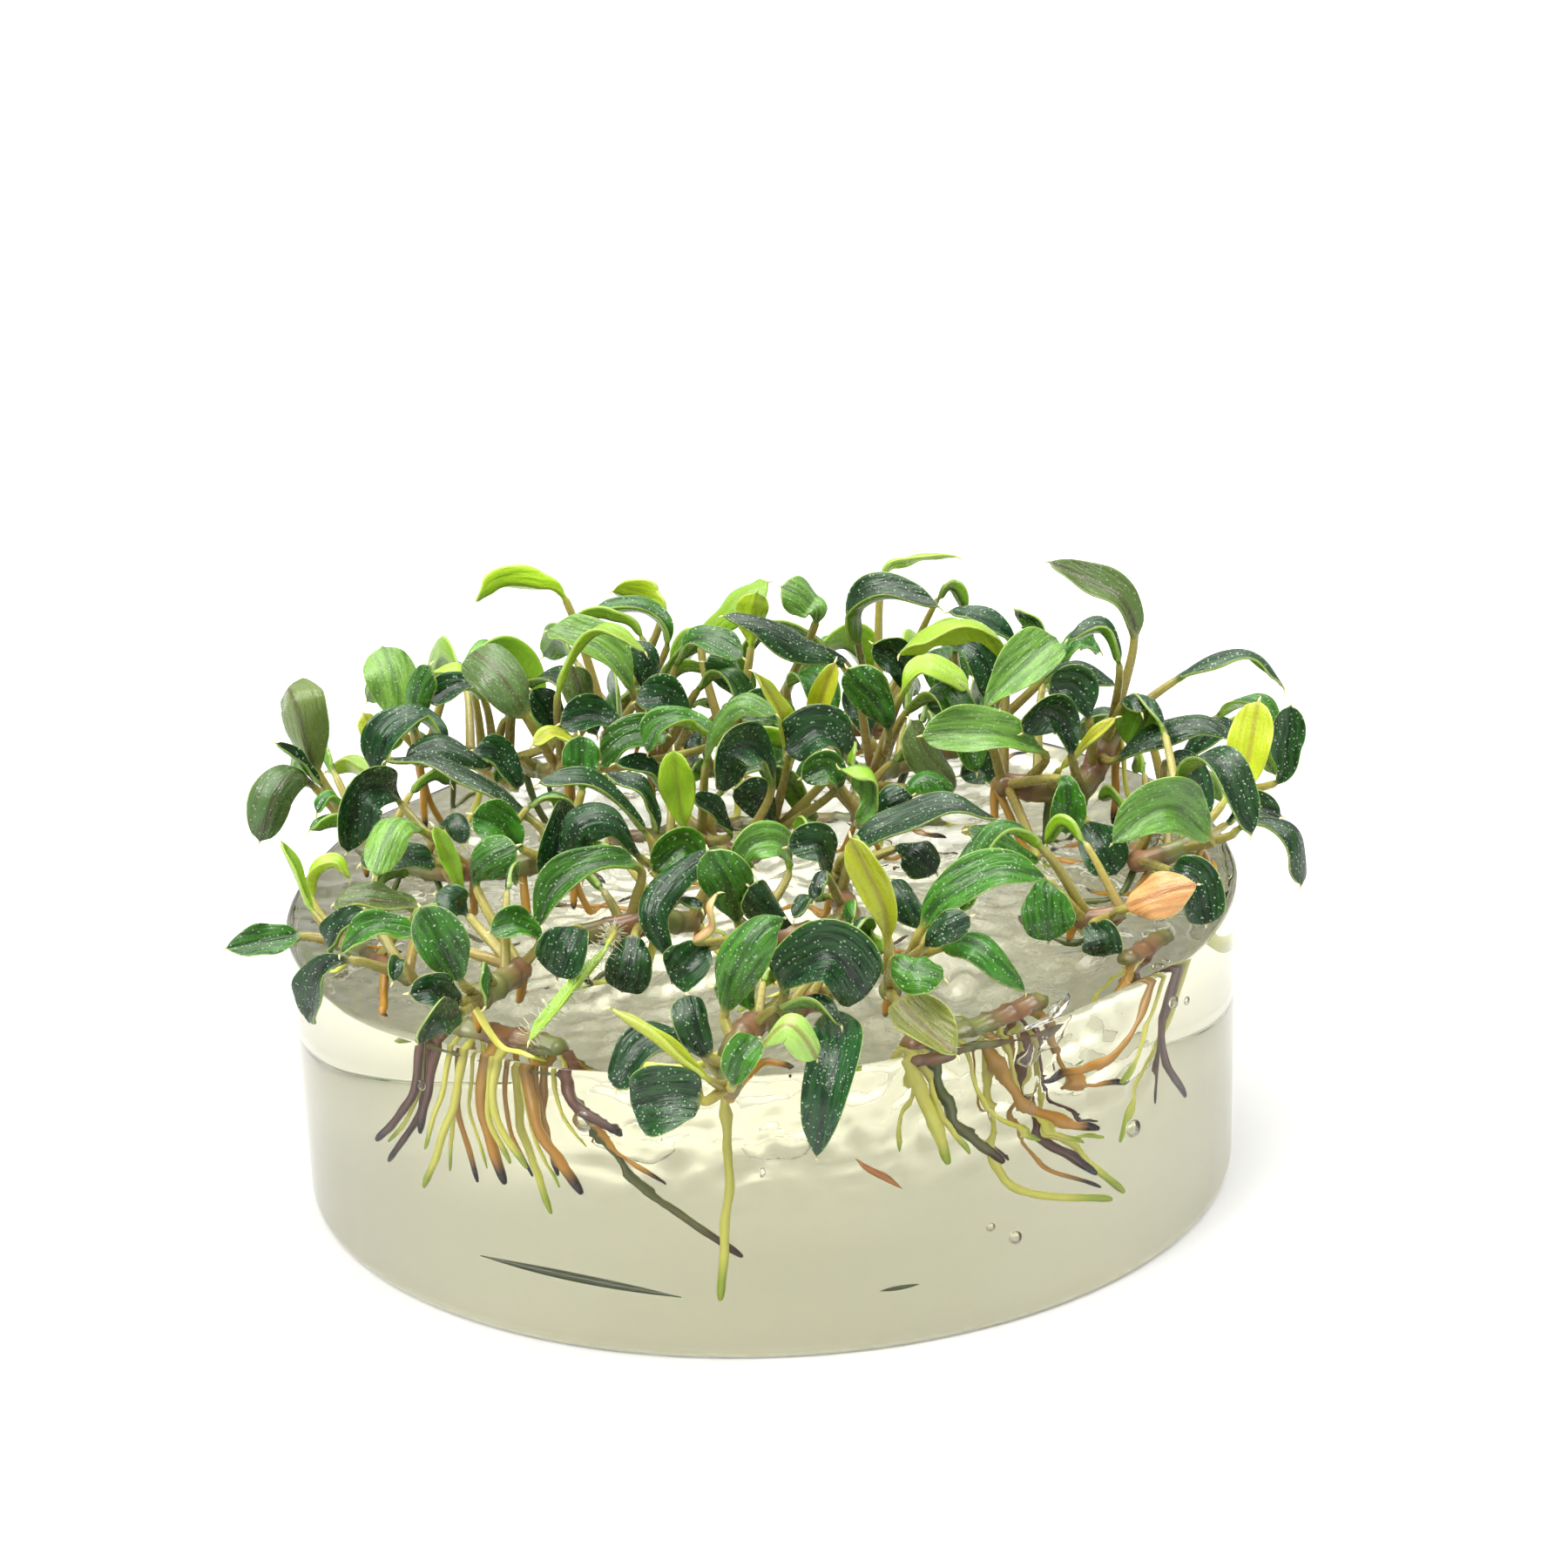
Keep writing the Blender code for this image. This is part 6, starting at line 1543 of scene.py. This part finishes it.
def fine_object(name, meshes, material):
    """One object from several meshes, with their painted values. All but the flat end faces are smooth."""
    points = np.concatenate([mesh[0] for mesh in meshes])
    faces = []
    start = 0
    for places, quads, _ in meshes:
        faces += [tuple(corner + start for corner in quad) for quad in quads]
        start += len(places)
    data = bpy.data.meshes.new(name)
    data.from_pydata((points * MM).tolist(), [], faces)
    for value in ("tint", "rib", "place", "habit"):
        rows = np.concatenate([mesh[2][value] for mesh in meshes]).astype(np.float32)
        layer = data.attributes.new(value, "FLOAT_VECTOR", "POINT")
        layer.data.foreach_set("vector", rows.ravel())
    data.polygons.foreach_set("use_smooth", [len(face) < 5 for face in faces])
    data.materials.append(material)
    made = bpy.data.objects.new(name, data)
    bpy.context.scene.collection.objects.link(made)
    return made


def add_node(material, kind, **values):
    """A shader node with some of its settings or inputs set."""
    node = material.node_tree.nodes.new(kind)
    for name, value in values.items():
        if name in node.inputs:
            node.inputs[name].default_value = value
        else:
            setattr(node, name, value)
    return node


def attribute(material, name):
    """The painted value of a mesh, as a vector."""
    return add_node(material, "ShaderNodeAttribute", attribute_name=name).outputs["Vector"]


def split(material, vector):
    """The three numbers of a vector."""
    node = add_node(material, "ShaderNodeSeparateXYZ")
    material.node_tree.links.new(vector, node.inputs[0])
    return node.outputs


def ramp(material, value, start, end, low=0.0, high=1.0):
    """A value turned into another range, with a smooth step between."""
    node = add_node(material, "ShaderNodeMapRange", interpolation_type="SMOOTHSTEP")
    material.node_tree.links.new(value, node.inputs["Value"])
    for name, number in (("From Min", start), ("From Max", end), ("To Min", low), ("To Max", high)):
        node.inputs[name].default_value = number
    return node.outputs["Result"]


def maths(material, operation, first, second):
    """A sum, product or the like of two values, either of which may be a number."""
    node = add_node(material, "ShaderNodeMath", operation=operation)
    for slot, value in enumerate((first, second)):
        if isinstance(value, (int, float)):
            node.inputs[slot].default_value = value
        else:
            material.node_tree.links.new(value, node.inputs[slot])
    return node.outputs[0]


def mixed(material, share, first, second):
    """Two colours mixed by a value. The second may be a plain colour."""
    node = add_node(material, "ShaderNodeMix", data_type="RGBA")
    links = material.node_tree.links
    links.new(share, node.inputs[0])
    links.new(first, node.inputs[6])
    if isinstance(second, tuple):
        node.inputs[7].default_value = (*second, 1)
    else:
        links.new(second, node.inputs[7])
    return node.outputs[2]


def noise_of(material, vector, scale, detail=2.0):
    """A noise value at a vector."""
    node = add_node(material, "ShaderNodeTexNoise", Scale=scale, Detail=detail)
    material.node_tree.links.new(vector, node.inputs["Vector"])
    return node.outputs["Fac"]


def scaled(material, vector, factors):
    """A vector with each of its numbers multiplied."""
    node = add_node(material, "ShaderNodeVectorMath", operation="MULTIPLY")
    material.node_tree.links.new(vector, node.inputs[0])
    node.inputs[1].default_value = factors
    return node.outputs[0]


def new_material(name):
    """An empty material and its main shader."""
    made = bpy.data.materials.new(name)
    made.use_nodes = True
    return made, made.node_tree.nodes["Principled BSDF"]


def plant_material():
    """Leaves, rhizomes and roots: the painted tint, with a midrib, a pale edge line and tiny pale dots."""
    made, shader = new_material("plant")
    links = made.node_tree.links
    place = attribute(made, "place")
    lateral, _, edge = split(made, place)
    _, dots, on_blade = split(made, attribute(made, "habit"))
    off_middle = maths(made, "ABSOLUTE", lateral, 0.0)
    spot = add_node(made, "ShaderNodeTexVoronoi", Scale=DOTS_PER_MM, Randomness=DOT_SCATTER)
    links.new(scaled(made, place, (1.0, 1.0, 0.0)), spot.inputs["Vector"])
    size = maths(made, "MULTIPLY", noise_of(made, place, DOT_SIZE_NOISE), DOT_SIZE_SPREAD)
    centre = maths(made, "SUBTRACT", spot.outputs["Distance"], size)
    speck = ramp(made, centre, DOT_SIZE, DOT_SIZE - DOT_EDGE)
    speck = maths(made, "MULTIPLY", speck, dots)
    rib_share = maths(made, "MULTIPLY", ramp(made, off_middle, *RIB_WIDTHS, 0.0, RIB_STRENGTH), on_blade)
    edge_share = maths(made, "MULTIPLY", ramp(made, edge, *EDGE_WIDTHS, 0.0, EDGE_STRENGTH), on_blade)
    streak = noise_of(made, scaled(made, place, STREAK_STRETCH), 1.0, 3.0)
    mottle = maths(made, "MULTIPLY", ramp(made, streak, *STREAK_LEVELS, 0.0, STREAK_STRENGTH), dots)
    mottle = maths(made, "MULTIPLY", mottle, on_blade)
    colour = mixed(made, mottle, attribute(made, "tint"), attribute(made, "rib"))
    colour = mixed(made, rib_share, colour, attribute(made, "rib"))
    colour = mixed(made, maths(made, "MULTIPLY", speck, DOT_STRENGTH), colour, DOT_COLOUR)
    colour = mixed(made, edge_share, colour, LEAF_EDGE)
    links.new(colour, shader.inputs["Base Color"])
    coarse_grain = maths(made, "MULTIPLY", streak, GRAIN_OF_STREAKS)
    grain = maths(made, "ADD", noise_of(made, place, GRAIN_SCALE), coarse_grain)
    rough = ramp(made, noise_of(made, place, SHEEN_SCALE), *SHEEN_LEVELS, ROUGH_LOW, ROUGH_HIGH)
    links.new(rough, shader.inputs["Roughness"])
    bump = add_node(made, "ShaderNodeBump", Strength=BUMP_STRENGTH, Distance=BUMP_METRES)
    relief = maths(made, "ADD", grain, maths(made, "MULTIPLY", speck, DOT_BUMP))
    links.new(relief, bump.inputs["Height"])
    links.new(bump.outputs["Normal"], shader.inputs["Normal"])
    shader.inputs["Subsurface Weight"].default_value = GLOW_THROUGH
    shader.inputs["Subsurface Radius"].default_value = GLOW_COLOUR
    shader.inputs["Subsurface Scale"].default_value = MM
    shader.inputs["Specular IOR Level"].default_value = 0.5
    return made


def gel_material(name, roughness):
    """Clear agar gel: bends light nearly as water does, and takes blue out of it."""
    made, shader = new_material(name)
    shader.inputs["Base Color"].default_value = GEL_TINT
    shader.inputs["Transmission Weight"].default_value = 1.0
    shader.inputs["IOR"].default_value = GEL_BENDING
    shader.inputs["Roughness"].default_value = roughness
    absorb = add_node(made, "ShaderNodeVolumeAbsorption", Color=GEL_ABSORBS, Density=GEL_DENSITY)
    output = made.node_tree.nodes["Material Output"]
    made.node_tree.links.new(absorb.outputs[0], output.inputs["Volume"])
    return made


def gel_surface_height(x, y):
    """Height of the gel's fine top: the tilted top with torn ripples where plants were pressed in."""
    rough = 0.0
    for spread, seed, height in GEL_ROUGH:
        rough += noise.noise(Vector((x * spread, y * spread, seed))) * height
    spread, seed, height = GEL_CREASES
    rough += abs(noise.noise(Vector((x * spread, y * spread, seed)))) * height
    out = math.hypot(x, y) / GEL_TOP_RADIUS
    calm = 1 - max(0.0, (out - GEL_CALM_FROM) / 0.12)
    return gel_top(x, y) + rough * max(calm, 0.0)


def gel_relief(angle, z):
    """How far the gel's side stands in: a faint wave all round, and torn folds high up at its front."""
    wave = GEL_WAVE * noise.noise(Vector((
        math.cos(angle) * GEL_WAVE_SPREAD, math.sin(angle) * GEL_WAVE_SPREAD, z * GEL_WAVE_RISE,
    )))
    turn = math.remainder(angle, 2 * math.pi)
    inside = min(turn - GEL_TORN_FROM, GEL_TORN_TO - turn) / GEL_TORN_BLEND
    above = (z - GEL_TORN_LOW) / GEL_TORN_RISE
    torn = max(min(inside, 1.0), 0.0) * max(min(above, 1.0), 0.0)
    arc = turn * GEL_FOOT_RADIUS
    folds = 0.0
    for along, up, seed, height in GEL_FOLDS:
        folds += height * abs(noise.noise(Vector((arc * along, z * up, seed))))
    return wave - GEL_TORN_DEPTH * torn * folds


def gel_mesh():
    """Points and faces of the fine gel puck."""
    angles = 2 * np.pi * np.arange(GEL_FINE_SIDES) / GEL_FINE_SIDES
    rings = []
    for inset, height in GEL_FOOT_BEVEL:
        radius = GEL_FOOT_RADIUS - inset
        rings.append([(radius * math.cos(a), radius * math.sin(a), height) for a in angles])
    for step in range(1, GEL_SIDE_RINGS):
        share = step / GEL_SIDE_RINGS
        ring = []
        for a in angles:
            rim = gel_top(GEL_TOP_RADIUS * math.cos(a), GEL_TOP_RADIUS * math.sin(a))
            z = GEL_FOOT_BEVEL[-1][1] + (rim - GEL_RIM_DROP) * share
            radius = gel_wall(z) + gel_relief(a, z)
            ring.append((radius * math.cos(a), radius * math.sin(a), z))
        rings.append(ring)
    for step in range(GEL_TOP_RINGS):
        share = 1 - (step / GEL_TOP_RINGS) ** GEL_TOP_SPREAD
        radius = GEL_TOP_RADIUS * share
        ring = []
        for a in angles:
            x, y = radius * math.cos(a), radius * math.sin(a)
            ring.append((x, y, gel_surface_height(x, y)))
        rings.append(ring)
    middle = (0.0, 0.0, gel_surface_height(0, 0))
    points = np.array([place for ring in rings for place in ring] + [middle])
    return points, ring_quads(len(rings), GEL_FINE_SIDES)


def bubble_mesh(centre, size):
    """A round hollow in the gel, its faces turned inwards."""
    rings, sides = BUBBLE_RINGS, BUBBLE_SIDES
    points = []
    for level in range(1, rings):
        lift = math.pi * level / rings
        for corner in range(sides):
            a = 2 * math.pi * corner / sides
            across, along = math.sin(lift) * math.cos(a), math.sin(lift) * math.sin(a)
            points.append(Vector((across, along, -math.cos(lift))))
    points += [Vector((0, 0, -1)), Vector((0, 0, 1))]
    placed = [centre + point * size for point in points]
    faces = []
    for level in range(rings - 2):
        for corner in range(sides):
            after = (corner + 1) % sides
            low = level * sides
            faces.append((low + corner, low + sides + corner, low + sides + after, low + after))
    last = (rings - 2) * sides
    for corner in range(sides):
        after = (corner + 1) % sides
        faces.append((corner, after, len(points) - 2))
        faces.append((last + after, last + corner, len(points) - 1))
    return as_row(placed), faces


def crack_mesh(centre, half_length, lean, seed):
    """A thin torn hollow in the gel: a bent flake with ragged edges, its faces turned inwards."""
    points, faces = bubble_mesh(Vector(), 1.0)
    bent = []
    for x, y, z in points:
        rag_place = Vector((x * CRACK_RAG_SPREAD + seed, z * CRACK_RAG_SPREAD, seed * 0.7))
        rag = 1 + CRACK_RAGGEDNESS * noise.noise(rag_place)
        long, high = x * half_length * rag, z * half_length * CRACK_BREADTH * rag
        bow = CRACK_BOW * long * long / half_length
        bow += CRACK_BEND * noise.noise(Vector((long * CRACK_BEND_SPREAD, high * CRACK_BEND_SPREAD, seed)))
        bent.append(Vector((long, y * CRACK_THICKNESS + bow, high)))
    turn = Matrix.Rotation(seed * CRACK_SPIN, 3, "Z") @ Matrix.Rotation(lean, 3, "Y")
    return as_row([centre + turn @ place for place in bent]), faces


def make_gel():
    """The gel with its bubbles and cracks, and its damp foot."""
    meshes = [gel_mesh()]
    for across, down, depth, size in BUBBLES:
        meshes.append(bubble_mesh(seen_inside(across, down, depth), size))
    for number, (across, down, depth, half_length, lean) in enumerate(CRACKS):
        meshes.append(crack_mesh(seen_inside(across, down, depth), half_length, lean, number * 0.37))
    meshes = [(points, faces, plain_paint(np.zeros((len(points), 3)))) for points, faces in meshes]
    gel = fine_object("clear_gel", meshes, gel_material("gel", GEL_ROUGHNESS))
    gel.data.materials.append(gel_material("gel foot", GEL_FOOT_ROUGHNESS))
    gel.data.polygons[0].material_index = 1
    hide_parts("gel")
    return gel


def sliver_mesh(start, end, depth, height, colour):
    """A thin flat sliver in the gel, pointed at both ends."""
    first, last = seen_inside(*start, depth), seen_inside(*end, depth)
    shares = [step / SLIVER_STEPS for step in range(SLIVER_STEPS + 1)]
    line = [first.lerp(last, share) for share in shares]
    radii = [height / 2 * math.sin(math.pi * min(max(share, 0.02), 0.98)) ** 0.8 for share in shares]
    points, faces = tube_mesh(line, radii, SLIVER_SIDES)
    return points, faces, plain_paint(np.broadcast_to(np.array(colour), points.shape))


def make_slivers(material):
    """Thin slivers in the gel. The two dark olive ones are painted reflection, standing in for the dark
    plants that thin air gaps in the gel mirror; the third is orange.
    """
    meshes = [sliver_mesh(*row, colour) for row, colour in zip(SLIVERS, SLIVER_COLOURS)]
    slivers = fine_object("slivers", meshes, material)
    return slivers


def make_plants(leaves, material):
    """Every plantlet with its small leaves, and the larger leaves as pieces of their own."""
    chance = random.Random(SEED)
    thicket = thicket_of(leaves)
    made = []
    for name in PLANTLETS:
        line = rhizome_line(name)
        meshes = [rhizome_mesh(line, rhizome_radii(name, len(line)), chance)]
        for piece in leaves:
            if piece["owner"] != name:
                continue
            meshes.append(leaf_mesh(piece, leaf_look(piece["leaf"]["name"], chance), chance))
            if piece["leaf"]["name"] == HAIRY_LEAF:
                meshes += hair_mesh(piece, chance)
        for piece in young_leaves(name, thicket, chance):
            meshes.append(leaf_mesh(piece, chance.choice(YOUNG_LOOKS), chance))
        for line, thickness in creeping_roots(name, chance):
            meshes.append(root_mesh(line, thickness, chance.choice(CREEPING_KINDS), chance))
        for top, foot in anchor_lines(name):
            meshes.append(root_mesh([top, (top + foot) / 2, foot], 1.0, "tan", chance))
        plantlet = fine_object(name.replace("plantlet", "fine_plantlet"), meshes, material)
        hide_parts(name)
        made.append(plantlet)
    for piece in leaves:
        if piece["owner"] in SEEN_LEAVES:
            look = leaf_look(piece["owner"], chance)
            leaf = fine_object("fine_leaf_" + piece["owner"], [leaf_mesh(piece, look, chance)], material)
            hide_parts("leaf_" + piece["owner"])
            made.append(leaf)
    return made


def make_roots(material):
    """The root tufts in the gel."""
    chance = random.Random(SEED)
    kinds = {}
    for index, root in enumerate(ROOTS):
        kinds.setdefault(root[0], []).append(ROOT_KINDS[index])
    made = []
    for name, (_, radius) in ROOT_STUBS.items():
        stub = stub_line(name)
        meshes = [rhizome_mesh(stub, [radius * 0.9] * len(stub), chance)]
        for number, (line, thickness) in enumerate(root_lines(name)):
            kind = kinds.get(name, ["cream"] * 5)[number]
            meshes.append(root_mesh(line, thickness, kind, chance))
        for line, thickness in fine_roots(name):
            meshes.append(root_mesh(line, thickness, chance.choice(FINE_ROOT_KINDS), chance))
        tuft = fine_object(name.replace("roots", "fine_roots"), meshes, material)
        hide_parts(name)
        made.append(tuft)
    return made


def make_camera():
    """The camera that the front view's pixels are read from."""
    lens = bpy.data.cameras.new("camera")
    lens.sensor_width = SENSOR_MM
    lens.lens = LENS_MM
    camera = bpy.data.objects.new("camera", lens)
    right, up, ahead = view_axes()
    frame = Matrix((right, up, -ahead)).transposed().to_4x4()
    camera.matrix_world = Matrix.Translation(VIEW_FROM * MM) @ frame
    bpy.context.scene.collection.objects.link(camera)
    bpy.context.scene.camera = camera


def make_stage():
    """A white floor under a white sky."""
    data = bpy.data.meshes.new("floor")
    half = FLOOR_SIZE / 2
    corners = [(-half, -half, 0), (half, -half, 0), (half, half, 0), (-half, half, 0)]
    data.from_pydata(corners, [], [(0, 1, 2, 3)])
    white, shader = new_material("floor")
    shader.inputs["Base Color"].default_value = FLOOR_WHITE
    shader.inputs["Roughness"].default_value = FLOOR_ROUGHNESS
    data.materials.append(white)
    floor = bpy.data.objects.new("floor", data)
    bpy.context.scene.collection.objects.link(floor)
    make_sky()


def make_sky():
    """A white sky with an even light and soft bright patches."""
    world = bpy.data.worlds.new("sky")
    world.use_nodes = True
    sky = world.node_tree.nodes["Background"]
    sky.inputs["Color"].default_value = SKY_COLOUR
    direction = add_node(world, "ShaderNodeTexCoord").outputs["Generated"]
    strength = SKY_BASE
    for towards, narrowness, brightness in SKY_LOBES:
        facing = add_node(world, "ShaderNodeVectorMath", operation="DOT_PRODUCT")
        world.node_tree.links.new(direction, facing.inputs[0])
        facing.inputs[1].default_value = Vector(towards).normalized()
        ahead = maths(world, "MAXIMUM", facing.outputs["Value"], 0.0)
        glow = maths(world, "POWER", ahead, float(narrowness))
        strength = maths(world, "ADD", maths(world, "MULTIPLY", glow, brightness), strength)
    world.node_tree.links.new(strength, sky.inputs["Strength"])
    bpy.context.scene.world = world
    bpy.context.scene.view_settings.view_transform = "Standard"


def main():
    """Everything: the model, the gel, the plants and roots, the camera and the stage."""
    for old in list(bpy.data.objects):
        bpy.data.objects.remove(old)
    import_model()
    leaves = grow_leaves()
    plant = plant_material()
    pieces = [make_gel(), make_slivers(plant)]
    pieces += make_plants(leaves, plant)
    pieces += make_roots(plant)
    for piece in pieces:
        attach(piece, "root")
    make_camera()
    make_stage()


main()
